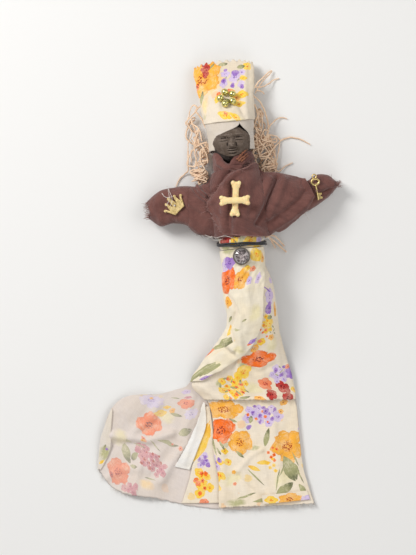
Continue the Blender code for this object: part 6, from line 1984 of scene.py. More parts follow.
    def bundles(self) -> None:
        """Husk of the torso and arms, the sticks and their lashing."""
        rings, rows = [], 20
        inset = BUILD.layer + self.slack
        foot, top = self.ends[0] - 0.0095 / 2, self.ends[1] - 0.0023
        for row in range(rows + 1):
            y = foot + (top - foot) * row / rows
            wide, crest, low = self.torso_section(y)
            draw = inset + 0.0006 + 0.0045 * (1 - ease(row / 3))
            ring = []
            for angle in turns(96):
                ridge = 0.94 + 0.05 * abs(math.sin(8 * angle + math.sin(2 * angle)))
                height = (crest if math.sin(angle) > 0 else 2 * BUILD.spine - low) - draw - BUILD.spine
                ring.append(WAIST + Vector(((wide - draw) * ridge * math.cos(angle), y,
                                            BUILD.spine + height * ridge * math.sin(angle))))
            rings.append(ring)
        seat(add_object("torso_bundle", ring_mesh("torso_bundle", rings), HUSK), "doll", "torso_husk")
        spine_radius, arm_radius, fit = 0.0030, 0.0025, 0.0003
        stick_y, stick_z = 0.042, BUILD.spine - spine_radius - fit - arm_radius
        for side, reach, name in ((-1, 0.066, "left"), (1, 0.078, "right")):
            length = (reach - self.start) * 0.8
            rings, rows = [], 12
            for row in range(rows + 1):
                radius = 0.0075 * (1 - 0.56 * row / rows) * 0.97
                x = side * (self.start + fit + length * row / rows)
                ring = []
                for turn in turns(48):
                    bulge = 0.95 + 0.05 * math.sin(6 * turn)
                    ring.append(WAIST + Vector((x, stick_y + radius * bulge * math.cos(turn),
                                                stick_z + radius * bulge * math.sin(turn))))
                rings.append(ring)
            mesh = ring_mesh(name + "_arm_roll", rings)
            seat(add_object(name + "_arm_roll", mesh, HUSK), "doll", "arm_husk_" + name)
        for node in ("spine_stick", "arm_stick"):
            dress(node, TWIG)
        dress("stick_lashing", THREAD)


def dress(node: str, finish: Finish) -> None:
    """Give a solid that stays in view a better finish."""
    data = frame["nodes"][node].data
    data.materials.clear()
    data.materials.append(finish.material())


@dataclass
class Waist:
    """Gathered waistband and twisted black cord.

    Attributes:
        ends: Top and foot of the band along the spine.
        seat: Radius of the band under the cord.
        cord: Radius of the cord.
        pitch: Rise of one turn of the cord.
        tilt: How much lower the cord hangs at the right side.
        front: Height of the cord over the waist, in front.
        knot: Angle of the cord's knot.
        lay: Length in which the cord's plies wind round once.
        gathers: How many gathers run round the band.
    """

    ends: tuple[float, float] = (0.0095, -0.0030)
    seat: float = 0.0205
    cord: float = 0.0008
    pitch: float = 0.0018
    tilt: float = 0.0016
    front: float = -0.0008
    knot: float = 250.0
    lay: float = 0.0040
    gathers: int = 24

    PROFILE = ((0.0, 0.0212, 0.0005), (0.30, 0.0206, 0.0004), (0.52, 0.0204, 0.0), (0.80, 0.0203, 0.0),
               (0.86, 0.0194, 0.0), (1.0, 0.0194, 0.0))
    BAND_PRINT = (
        Motif(Bloom.RED, (225, 238), 0.0100, 10, 0.70), Motif(Bloom.YELLOW, (234, 240), 0.0066, 80, 0.60),
        Motif(Bloom.GLAZE, (241, 240), 0.0060, 80, 0.7), Motif(Bloom.YELLOW, (250, 241), 0.0080, 20, 0.60),
        Motif(Bloom.AMBER, (251, 237), 0.0032, 60), Motif(Bloom.LILAC, (258, 240), 0.0046, 20, 0.7),
        Motif(Bloom.CORAL, (238, 236), 0.0030, 10, 0.6), Motif(Bloom.GLAZE, (226, 248), 0.0070, 10, 0.6),
        Motif(Bloom.YELLOW, (256, 248), 0.0060, 10, 0.6), Motif(Bloom.LEAF, (236, 243), 0.0030, 120, 0.3),
    )

    @property
    def line(self) -> float:
        """Distance from the spine to the middle of the cord."""
        return self.seat + 0.0003 + self.cord

    def band(self, u: float, v: float) -> Vector:
        """Place on the middle of the waistband's cloth."""
        angle = 360 * u - 180
        radius, depth = read_table(self.PROFILE, v)
        gather = 0.5 - 0.5 * math.cos(math.radians(angle * self.gathers))
        y = self.ends[0] + (self.ends[1] - self.ends[0]) * v
        return around(angle, radius - BUILD.cloth - depth * gather * 1.4, y)

    def build(self) -> None:
        """Build the band and the cord."""
        sheet = ClothSheet("waist_band", self.band, 120, 10, PRINT, PRINT_BACK, 2, 0.0014, True,
                           crumple=0.0001, motifs=self.BAND_PRINT, frayed=("start",), fray=0.0005, seed=31)
        sheet.lay("waistband", Held.GATHERED, "torso_bundle")
        self.belt()

    def belt(self) -> None:
        """Twisted cord in two turns with a knot at the side."""
        steps, up = 420, Vector((0, 1, 0))
        path = []
        for step in range(steps + 1):
            angle = self.knot - 360 + 720 * step / steps
            sway = 0.0003 * math.sin(math.radians(3.3 * angle)) + 0.0002 * math.sin(math.radians(7 * angle))
            sway -= self.tilt * math.sin(math.radians(angle)) + 0.0005 * math.cos(math.radians(angle))
            rise = self.front + self.pitch * (angle / 360 + 0.5) + sway
            path.append(WAIST + around(angle, self.line, rise))
        plies = plied(path, self.cord * 0.55, 3, self.lay)
        middle = WAIST + around(self.knot, self.line + 0.0004, self.front + self.pitch * 1.2 + self.tilt)
        out = (around(self.knot, 1.0, 0.0) - Vector((0, 0, BUILD.spine))).normalized()
        side = up.cross(out)
        for turn in (0.0, 1.1, 2.2):
            way = side * math.cos(turn) + up * math.sin(turn)
            plies.append([middle + way * 0.0014 * math.cos(angle) + out * 0.0009 * math.sin(angle)
                          for angle in (*turns(24), 2 * math.pi)])
        piece = grown("belt", "thread", plies, BLACK_CORD, Radius=self.cord * 0.66, Sides=8)
        seat(piece, "belt", "belt_cord")


@dataclass
class Gem:
    """Clear stone in a dark rope-edged setting, hung from the belt.

    Attributes:
        angle: Angle round the waist.
        radius: Outer radius of the setting.
        wall: Wall of the setting.
        height: Height of the setting.
        drop: Distance below the belt.
        belt: Height of the belt over the waist, and of its front over the spine.
        back: Height of the setting's back over the spine.
        fit: Clearance between two parts.
        hoop: Radius of the hoop and of its wire.
        STONE: Shares of the girdle and heights, from the point to the table.
        FOIL: The same for the foil, with its sloping ring.
    """

    angle: float = -3.7
    radius: float = 0.0076
    wall: float = 0.0008
    height: float = 0.0026
    drop: float = 0.0093
    belt: tuple[float, float] = (-0.0008, 0.0213)
    back: float = 0.0206
    fit: float = 0.0003
    hoop: tuple[float, float] = (0.00145, 0.00035)

    STONE = ((0.0, 0.00125), (0.55, 0.00112), (1.0, 0.0027), (1.0, 0.0030), (0.86, 0.0035), (0.66, 0.0041),
             (0.46, 0.0044), (0.0, 0.0044))
    FOIL = ((0.0, 0.00095), (1.0, 0.00095), (1.0, 0.0021), (0.97, 0.0022), (0.72, 0.00108), (0.0, 0.00108))
    LUG = ((0.0, -0.0007), (0.0006, -0.0007), (0.0006, 0.0007), (0.0, 0.0007))

    @property
    def place(self) -> Matrix:
        """Where the setting hangs, with its Z axis out of the stone."""
        return (Matrix.Translation(WAIST) @ Matrix.Translation((0, 0, BUILD.spine))
                @ Matrix.Rotation(math.radians(self.angle), 4, "Y")
                @ Matrix.Translation((0, self.belt[0] - self.drop, self.back)))

    def setting(self, place: Matrix, inner: float) -> bpy.types.Mesh:
        """Cup with its lug, hoop and rope edge."""
        outer, floor = self.radius, 0.0009
        profile = ((0.0, 0.0005), (outer * 0.94, 0.0005), (outer, floor), (outer, self.height * 0.7),
                   (outer * 0.985, self.height), (inner * 1.01, self.height), (inner, self.height * 0.85),
                   (inner, floor), (0.0, floor))
        cup = lathe("cup", profile, 96, place)
        middle = place @ Vector((0, self.drop, self.belt[1] + self.fit - self.back))
        hang, wire = self.hoop
        ring = [middle + (place.to_3x3() @ Vector((0, hang * math.cos(turn), hang * math.sin(turn))))
                for turn in turns(40)]
        loop = grown("gem_hoop", "thread", [ring], SILVER, True, Radius=wire, Sides=10)
        lug = lathe("lug", self.LUG, 20, place @ Matrix.Translation((0, self.drop - 0.00185, 0.0010)))
        edge = outer * 0.965
        rope = [place @ Vector((edge * math.cos(turn), edge * math.sin(turn), self.height))
                for turn in turns(144)]
        beads = grown("gem_rope", "row", [rope], SILVER, True, Step=0.00100,
                      Size=(0.00050, 0.00050, 0.00080), Turn=0.7)
        whole = joined("gem_cup", (cup, lug, loop.data, beads.data))
        for spare in (loop, beads):
            bpy.data.objects.remove(spare)
        return whole

    def build(self) -> None:
        """Build setting, stone and foil."""
        place, inner = self.place, self.radius - self.wall
        girdle = inner - self.fit
        mesh = self.setting(place, inner)
        piece = add_object("gem_cup", mesh, SILVER)
        mesh.shade_smooth()
        seat(piece, "gem", "gem_setting")
        stone = lathe("cut_stone", [(girdle * share, high) for share, high in self.STONE], 12, place)
        stone.shade_flat()
        seat(add_object("cut_stone", stone, CRYSTAL), "gem", "gem_crystal")
        foil = lathe("stone_foil_painted_reflections", [(girdle * share, high) for share, high in self.FOIL], 48, place)
        behind = add_object("stone_foil_painted_reflections", foil, FOIL, RING_HIGHLIGHT_FOIL)
        # The outer ring of the foil takes the painted highlight finish.
        for face in foil.polygons:
            face.material_index = int((face.center - place.translation).to_2d().length > girdle * 0.74)
        seat(behind, "gem")


@dataclass
class Charms:
    """Bone cross, crown and key sewn on the chest and the sleeves.

    Attributes:
        body: Body that they are sewn on.
        fit: Clearance between two parts.
        BONES: Node, length, place and turn of each bone, the lower one first.
        TIPS: Share across, share up and ball size of the crown's points.
        BIT: Outline of the key's notched bit.
    """

    body: Body
    fit: float = 0.0003

    BONES = (("bone_upright", 0.0318, (-0.0017, 0.0414), -8.1),
             ("bone_crosspiece", 0.0272, (-0.0026, 0.0398), 85.8))
    TIPS = ((0.5, 0.58, 1.0), (0.27, 0.80, 1.0), (0.0, 0.91, 1.45), (-0.27, 0.80, 1.0), (-0.5, 0.58, 1.0))
    BIT = ((0.0, 0.0), (0.0036, 0.0), (0.0036, 0.0019), (0.0022, 0.0019), (0.0022, 0.0035),
           (0.0036, 0.0035), (0.0036, 0.0054), (0.0, 0.0054))

    def bones(self) -> None:
        """Two carved bones, one across the other."""
        lift = 2 * (BUILD.layer + self.body.slack) + BUILD.cloth / 2
        _, lower, (x, y), _ = self.BONES[0]
        high = max(self.body.over(x, y + way * lower / 2, lift).z for way in (-1, -0.5, 0, 0.5, 1))
        for level, (node, length, spot, turn) in enumerate(self.BONES):
            height = high + self.fit + 0.0022 + level * (0.0044 + self.fit)
            piece = melted(add_object(node + "_bead", self.bone(node, length), BONE), 0.00025, 8)
            # Marks the hollows that the bone finish darkens with painted shade.
            mark_hollows(piece.data, 0.0010, 6)
            piece.data.transform(Matrix.Translation(WAIST + Vector((*spot, height)))
                                 @ Matrix.Rotation(math.radians(turn), 4, "Z"))
            seat(piece, "doll", node)

    @staticmethod
    def bone(name: str, length: float) -> bpy.types.Mesh:
        """Shaft of a bone with a flare and two knobs at each end."""
        bm = bmesh.new()
        lying = Matrix.Diagonal((1.0, 1.0, 0.68, 1.0)) @ Matrix.Rotation(math.pi / 2, 4, "X")
        bmesh.ops.create_cone(bm, cap_ends=True, segments=40, radius1=0.00285, radius2=0.00285,
                              depth=length * 0.84, matrix=lying)
        for end in (-1, 1):
            knobs = [((side * 0.0027, end * (length / 2 - 0.0021 * size), 0.0), (1.0, 1.15, 1.0),
                      0.0020 * size) for side, size in ((-1, 1.0), (1, 0.94))]
            flare = ((0.0, end * (length / 2 - 0.0044), 0.0), (1.72, 1.7, 0.88), 0.0022)
            for middle, shape, radius in (*knobs, flare):
                place = Matrix.Translation(middle) @ Matrix.Diagonal((*shape, 1.0))
                bmesh.ops.create_uvsphere(bm, u_segments=32, v_segments=20, radius=radius, matrix=place)
        mesh = bpy.data.meshes.new(name)
        bm.to_mesh(mesh)
        bm.free()
        return mesh

    def crown(self) -> None:
        """Gilt crown with five points that end in balls."""
        base, span, height, thick, ball, bore = 0.0118, 0.0226, 0.0158, 0.0016, 0.0013, 0.0009
        place = (Matrix.Translation(joint_place("crown_turn"))
                 @ Matrix.Rotation(math.radians(-14.0), 4, "Y")
                 @ Matrix.Rotation(math.radians(38.7), 4, "Z")
                 @ Matrix.Translation((0.0, -height * 0.40, 0.0)))
        points = [(-base / 2, 0.0), (base / 2, 0.0)]
        for index, (across, up, size) in enumerate(self.TIPS):
            middle = Vector((across * (span - 2 * ball), up * height))
            aim = math.degrees(math.atan2(middle.y - height * 0.1, middle.x))
            for step in range(16):
                turn = math.radians(aim - 135 + 18 * step)
                points.append((middle.x + ball * size * math.cos(turn),
                               middle.y + ball * size * math.sin(turn)))
            if index < len(self.TIPS) - 1:
                between = (across + self.TIPS[index + 1][0]) / 2
                points.append((between * span * 0.78, height * (0.46 - 0.15 * abs(between))))
        hole = [(bore * math.cos(turn), height * 0.4 + bore * math.sin(turn)) for turn in turns(24)]
        piece = plate("gilt_crown", (points, hole), thick, 0.0004, GILT)
        piece.data.transform(place)
        seat(piece, "crown", "crown_charm")
        dress("crown_stitch", THREAD)

    def key(self) -> None:
        """Old key with an open bow and a notched bit."""
        place = Matrix.Translation(joint_place("key_swing")) @ Matrix.Rotation(math.radians(4.3), 4, "Z")
        length, wire, bow, ring, shaft, collar = 0.0247, 0.0010, (0.0088, 0.0072), 0.0018, 0.0008, 0.0013
        bow_y, tip_y = length * 0.33, -length * 0.34
        half = bow[0] / 2 - wire, bow[1] / 2 - wire
        loop_y = bow_y + bow[1] / 2 + ring - 0.00035
        meshes = []
        for name, middle, across, up, radius in (("key_bow", bow_y, *half, wire * 0.92),
                                                 ("key_ring", loop_y, ring, ring, 0.0006)):
            path = [Vector((across * math.cos(turn), middle + up * math.sin(turn), 0.0))
                    for turn in turns(48)]
            part = grown(name, "thread", [path], OLD_GOLD, True, Radius=radius, Sides=14)
            meshes.append(part.data)
            bpy.data.objects.remove(part)
        profile = [(0.0, tip_y), (0.0007, tip_y + 0.0001), (shaft, tip_y + 0.0005), (shaft, bow_y * 0.46)]
        for share in (0.49, 0.70):
            foot = bow_y * share
            profile += [(shaft, foot), (collar, foot + 0.0001), (collar, foot + 0.0005),
                        (shaft, foot + 0.0006)]
        profile += [(shaft, bow_y - half[1]), (0.0, bow_y - half[1] + 0.0002)]
        meshes.append(lathe("key_shaft", profile, 28, Matrix.Rotation(-math.pi / 2, 4, "X")))
        flat = [(x + 0.0004, tip_y + 0.0008 + y) for x, y in self.BIT]
        part = plate("key_bit", (flat,), 0.0012, 0.0002, OLD_GOLD)
        meshes.append(part.data)
        bpy.data.objects.remove(part)
        piece = add_object("old_key", joined("old_key", meshes), OLD_GOLD)
        piece.data.shade_smooth()
        piece.data.transform(place)
        seat(piece, "key", "key_charm")
        eye = 0.00132
        loops = [[place @ Vector((eye * math.cos(turn), self.fit * way, eye * math.sin(turn)))
                  for turn in turns(48)] for way in (-1, 1)]
        piece = grown("key_loop", "thread", loops, BROWN_THREAD, True, Radius=0.00020, Sides=8)
        seat(piece, "doll", "key_thread")

    def build(self) -> None:
        """Build every charm."""
        self.bones()
        self.crown()
        self.key()


def melted(piece: bpy.types.Object, voxel: float, rounds: int) -> bpy.types.Object:
    """Melt overlapping solids into one smooth body."""
    remesh = piece.modifiers.new("melt", "REMESH")
    remesh.mode = "VOXEL"
    remesh.voxel_size = voxel
    soft = piece.modifiers.new("soften", "SMOOTH")
    soft.iterations = rounds
    mesh = baked(piece)
    piece.modifiers.clear()
    piece.data = mesh
    mesh.shade_smooth()
    return piece


def plate(name: str, loops: Sequence[Sequence[Row]], thick: float, bevel: float,
          finish: Finish) -> bpy.types.Object:
    """Flat plate with rounded edges from closed outlines."""
    curve = bpy.data.curves.new(name, "CURVE")
    curve.dimensions = "2D"
    curve.fill_mode = "BOTH"
    for loop in loops:
        spline = curve.splines.new("POLY")
        spline.points.add(len(loop) - 1)
        for point, place in zip(spline.points, loop):
            point.co = (*place, 0.0, 1.0)
        spline.use_cyclic_u = True
    curve.extrude = thick / 2 - bevel
    curve.bevel_depth = bevel
    curve.bevel_resolution = 3
    curve.offset = -bevel
    holder = placed(name, curve)
    mesh = baked(holder)
    bpy.data.objects.remove(holder)
    face_outward(mesh, True)
    mesh.shade_flat()
    return add_object(name, mesh, finish)


@dataclass
class Head:
    """Stuffed head, clay face, neck wrap and hair.

    Attributes:
        y: Place of the head's middle along the spine.
        radius: Radius of the head.
        face: Width and length of the face.
        depth: Thickness of the face's clay.
        nose: Length of the nose.
        neck: Foot and top of the neck wrap along the spine.
        PAIRS: Height, place and size of brows, eyes, lids, cheeks and nostrils, as shares of the face.
        MIDDLES: The same for lips, mouth and chin.
    """

    y: float = 0.0930
    radius: float = 0.0193
    face: tuple[float, float] = (0.0320, 0.0245)
    depth: float = 0.0026
    nose: float = 0.0075
    neck: tuple[float, float] = (0.0672, 0.0830)

    PAIRS = ((0.0010, 0.21, 0.215, 0.14, 0.045), (-0.0026, 0.19, 0.10, 0.12, 0.080),
             (0.0016, 0.20, 0.080, 0.085, 0.045), (-0.0010, 0.20, 0.028, 0.085, 0.013),
             (0.0014, 0.25, -0.12, 0.10, 0.11), (0.0013, 0.050, -0.075, 0.030, 0.032),
             (-0.0010, 0.105, -0.10, 0.028, 0.055))
    MIDDLES = ((0.0012, 0.0, -0.265, 0.075, 0.026), (0.0014, 0.0, -0.350, 0.062, 0.030),
               (-0.0016, 0.0, -0.305, 0.095, 0.013), (-0.0009, 0.0, -0.40, 0.08, 0.02),
               (-0.0010, 0.0, -0.165, 0.080, 0.018), (0.0009, 0.0, -0.47, 0.10, 0.05))
    NECK_FOLDS = (
        Fold(((221, 160), (232, 166), (250, 166)), -0.0014, 0.0014),
        Fold(((238, 172), (244, 162), (252, 156)), 0.0013, 0.0014),
        Fold(((214, 152), (218, 164), (230, 173)), 0.0012, 0.0016))
    SCRAPS = (((236, 161), (240, 157), (245, 152)), ((238, 162), (242, 158), (248, 154)),
              ((240, 156), (243, 154), (247, 150)), ((241, 163), (245, 158), (248, 156)))
    WAIST_ENDS = (((271, 240), (276, 248)), ((275, 236), (285, 246)), ((273, 240), (287, 252)))
    RIM_SHARES = (1.01, 1.06, 1.03, 1.12, 0.98, 0.90, 0.88, 0.96, 1.01, 1.00, 1.00, 1.03, 1.06, 1.09,
                  1.12, 1.05)
    RIGHT_HAIR = (
        ((254, 96), (259, 100), (263, 106), (266, 114), (268.5, 124), (268, 134), (269, 143), (273, 150),
         (276, 158), (277, 166), (275, 174)),
        ((255, 104), (257.5, 112), (259, 122), (261, 130), (266, 138), (267, 146)),
        ((262, 150), (266, 138), (269, 127.5), (274, 121), (279, 117.5), (283, 116.5), (287.5, 118)),
        ((262, 142), (268, 135), (276, 135.5), (280, 139), (280, 143), (279, 151), (277, 160)),
        ((270, 152), (280, 141), (286, 137.5), (292, 136.5), (300, 138), (307, 141.5), (311, 144)),
        ((254, 87), (261, 86.5), (268, 83.5), (274, 79), (279.5, 77)),
        ((254, 88), (258, 82), (263, 77), (268, 72), (272, 69.5), (270, 73), (263, 80), (258, 88), (255, 93)),
        ((256, 90), (262, 91), (264.5, 93.5)),
        ((268, 160), (278, 171), (285, 166), (293, 162)),
    )
    LEFT_HAIR = (
        ((206, 128), (201, 118), (196, 111), (197, 107), (193, 105), (190, 110), (189, 115), (187, 122),
         (190, 128), (192, 133), (190, 138), (188, 143), (188, 150), (188, 158), (187, 163)),
        ((203, 106), (199, 107), (195, 112), (190, 117), (186, 121.5), (186, 125)),
        ((191, 123), (196, 126), (200, 131), (201, 137), (202, 141)),
        ((207, 142), (200, 144.5), (195, 148), (190, 154), (187, 163), (191, 166), (199, 165), (205, 163)),
        ((200, 143), (204, 149), (207, 156), (208, 163)),
        ((188, 150), (188, 163), (188, 170), (184, 174), (179, 179), (176, 186)),
    )

    TANGLES = (
        ("hair_right", (264, 152), (14, 24), 13), ("hair_right", (260, 127), (6, 22), 6),
        ("hair_right", (270, 166), (8, 8), 9), ("hair_right", (257, 142), (5, 14), 5),
        ("hair_left", (199, 176), (9, 9), 10), ("hair_left", (193, 142), (7, 26), 5),
        ("hair_left", (203, 160), (6, 12), 6), ("hair_left", (208, 149), (4, 8), 5),
        ("hair_right", (252, 152), (3, 8), 6),
    )

    @property
    def centre(self) -> Vector:
        """Middle of the head."""
        return WAIST + Vector((0, self.y, BUILD.spine))

    @staticmethod
    def height(x: float) -> float:
        """Height of a strand's middle, lower away from the head."""
        return 0.0013 + 0.0145 * (1 - ease((abs(x) - 0.022) / 0.026))

    def ball(self) -> None:
        """Stuffed ball of wool."""
        rings, rows = [], 48
        for row in range(rows + 1):
            tilt = math.pi * row / rows
            ring = []
            for turn in turns(96):
                way = Vector((math.sin(tilt) * math.cos(turn), -math.cos(tilt),
                              math.sin(tilt) * math.sin(turn)))
                bulge = self.radius * 0.985 * (1 + 0.014 * noise.noise(way * 5.0))
                ring.append(self.centre + way * bulge)
            rings.append(ring)
        piece = add_object("stuffed_head", ring_mesh("stuffed_head", rings, False), HEAD_CLOTH)
        face_outward(piece.data, True)
        piece.data.shade_smooth()
        seat(piece, "doll", "head_ball")

    def relief(self, x: float, y: float) -> float:
        """Height of brow, eyes, nose, cheeks, mouth and chin at a place of the face."""
        wide, long = self.face
        way = (self.nose * 0.55 - y) / self.nose
        narrow = 0.0010 + 0.0015 * ease(way)
        total = 0.0052 * math.exp(-((x / narrow) ** 2)) * ease(way) * ease((1.35 - way) * 3)
        pairs = [(height, side * at_x, *rest) for side in (-1, 1) for height, at_x, *rest in self.PAIRS]
        for height, at_x, at_y, size_x, size_y in (*pairs, *self.MIDDLES):
            total += height * math.exp(-(((x - at_x * wide) / (size_x * wide)) ** 2)
                                       - ((y - at_y * long) / (size_y * long)) ** 2)
        return total

    def mask(self) -> None:
        """Clay face pressed on the front of the head."""
        back = self.radius + BUILD.gap
        rim_rows = [(index / 16, value) for index, value in enumerate((*self.RIM_SHARES, 1.0))]
        rings, steps, rows = [], 144, 52
        fronts = [0.004 + 0.996 * (row / rows) for row in range(rows + 1)]
        for side, shares in ((1, fronts), (0, (0.995, 0.8, 0.5, 0.2, 0.004))):
            for share in shares:
                ring = []
                for step, angle in enumerate(turns(steps)):
                    upper = max(math.sin(angle), 0.0)
                    ragged = noise.noise(Vector((math.cos(angle) * 7, math.sin(angle) * 7, 0.0)))
                    rough = 1 - 0.06 * upper + (0.025 + 0.035 * upper) * ragged
                    rim = read_table(rim_rows, step / steps)[0] * rough
                    x = self.face[0] / 2 * share * rim * math.cos(angle)
                    y = self.face[1] / 2 * share * rim * math.sin(angle)
                    offset = Vector((x, y, 0.0))
                    offset.z = math.sqrt(max(back * back - offset.length_squared, 0.0))
                    edge = 1 - ease((share - 0.93) / 0.07) * 0.45
                    depth = self.depth * (1 - 0.4 * share * share) * edge + self.relief(x, y) * edge
                    depth += 0.00018 * noise.noise(Vector((x, y, 0.0)) * 900)
                    ring.append(self.centre + offset * ((back + side * depth) / back))
                rings.append(ring)
        mesh = ring_mesh("pressed_face", rings)
        # Marks hollows and bulges, which the clay finish paints with shade and highlight.
        mark_hollows(mesh, 0.0013, 3)
        seat(add_object("pressed_face", mesh, CLAY), "doll", "clay_face")

    def wrap(self) -> None:
        """Brown cloth wound round the neck."""
        foot, top = self.neck

        def surface(u: float, v: float) -> Vector:
            angle = 360 * u - 180
            front = math.exp(-(((angle + 17) / 21) ** 2))
            high = top + 0.0012 * math.exp(-(((angle + 58) / 22) ** 2)) - (top - foot) * 0.62 * front
            bulge = 0.90 + 0.10 * math.sin(math.pi * min(1.0, 0.15 + 0.8 * v))
            fold = 1 + 0.02 * math.sin(math.radians(3 * angle) + 5 * v)
            fold -= 0.02 * abs(math.sin(9 * v + angle / 80))
            return around(angle, 0.0195 * bulge * min(fold, 1.0) - 0.0010, foot + (high - foot) * v)

        sheet = ClothSheet("neck_cloth", surface, 60, 12, BROWN, BROWN_SHADED_INSIDE, 3, 0.0016, True,
                           folds=self.NECK_FOLDS, crumple=0.0005, patch=0.006, seed=41)
        sheet.lay("neck_wrap", Held.GATHERED, "stuffed_head")
        scraps = [[WAIST + Vector((*spot, BUILD.spine + math.sqrt(0.0196**2 - spot[0]**2)))
                   for spot in traced(line, 16)] for line in self.SCRAPS]
        scrap = grown("rust_scrap", "thread", scraps, RUST, Radius=0.0010, Flatten=0.8, Wobble=0.0030,
                      Taper=0.7)
        seat(scrap, "doll")

    def hair(self) -> None:
        """Raffia hair: long strands along listed lines, and tangles of loose curls at both sides."""
        for name, lines in (("hair_left", self.LEFT_HAIR), ("hair_right", self.RIGHT_HAIR)):
            paths = [self.strand(line, 8 * len(line), 0.0, 1.0) for line in lines]
            for number, (side, middle, reach, count) in enumerate(self.TANGLES):
                if side == name:
                    paths += self.tangle(middle, reach, count, number)
            piece = grown(name + "_strands", "thread", paths, RAFFIA, Radius=0.00078, Flatten=0.7,
                          Wobble=0.0011, Taper=0.35, Sides=7)
            seat(piece, "doll", name)

    def strand(self, line: Sequence[Pixel], steps: int, rest: float, level: float) -> list[Vector]:
        """One strand over a line of the photograph.

        Args:
            line: Points of the strand.
            steps: Steps along it.
            rest: Least height over the table.
            level: Share of the hair's height at that place.

        Returns:
            Points of the strand.
        """
        flat = smooth_path([tuple(PHOTO.spot(pixel)) for pixel in line], steps)
        return [Vector((*spot, WAIST.z + rest + level * self.height(spot[0] - WAIST.x))) for spot in flat]

    def tangle(self, middle: Pixel, reach: Pixel, count: int, seed: int) -> list[list[Vector]]:
        """Loose curls that cross an oval of the photograph.

        Args:
            middle: Middle of the oval.
            reach: Half its width and height.
            count: How many curls it has.
            seed: Seed of the curls.

        Returns:
            Points of each curl.
        """
        rng = random.Random(seed)
        curls = []
        for _ in range(count):
            line = []
            for _ in range(6):
                turn, out = rng.uniform(0, 2 * math.pi), math.sqrt(rng.uniform(0.05, 1.0))
                line.append((middle[0] + reach[0] * out * math.cos(turn),
                             middle[1] + reach[1] * out * math.sin(turn)))
            line.sort(key=lambda spot: spot[1] + rng.uniform(-0.35, 0.35) * reach[1])
            curls.append(self.strand(line, 56, 0.0012, rng.uniform(0.2, 1.0)))
        return curls

    def raffia(self) -> None:
        """Three raffia ends that come out at the waist."""
        root = WAIST + around(100.0, 0.0212 + 0.0005 + 0.0020, 0.0095 * 0.60)
        low, knot, steps = WAIST.z + 0.0030, 0.0012, 24
        paths = []
        for pixels in self.WAIST_ENDS:
            flat = [(root.x, root.y)] + [tuple(PHOTO.spot(pixel)) for pixel in pixels]
            paths.append([Vector((*along(flat, step / steps), root.z + (low - root.z) * ease(step / steps)))
                          for step in range(steps + 1)])
        for turn in range(3):
            paths.append([root + Vector((knot * math.cos(angle) * math.cos(turn), knot * math.sin(angle),
                                         knot * math.cos(angle) * math.sin(turn))) for angle in turns(20)])
        piece = grown("waist_raffia", "thread", paths, RAFFIA, Radius=0.00075, Flatten=0.6, Wobble=0.0004,
                      Sides=8)
        seat(piece, "doll", "raffia_ends")

    def build(self) -> None:
        """Build head, face, neck and hair."""
        self.ball()
        self.mask()
        self.wrap()
        self.hair()
        self.raffia()


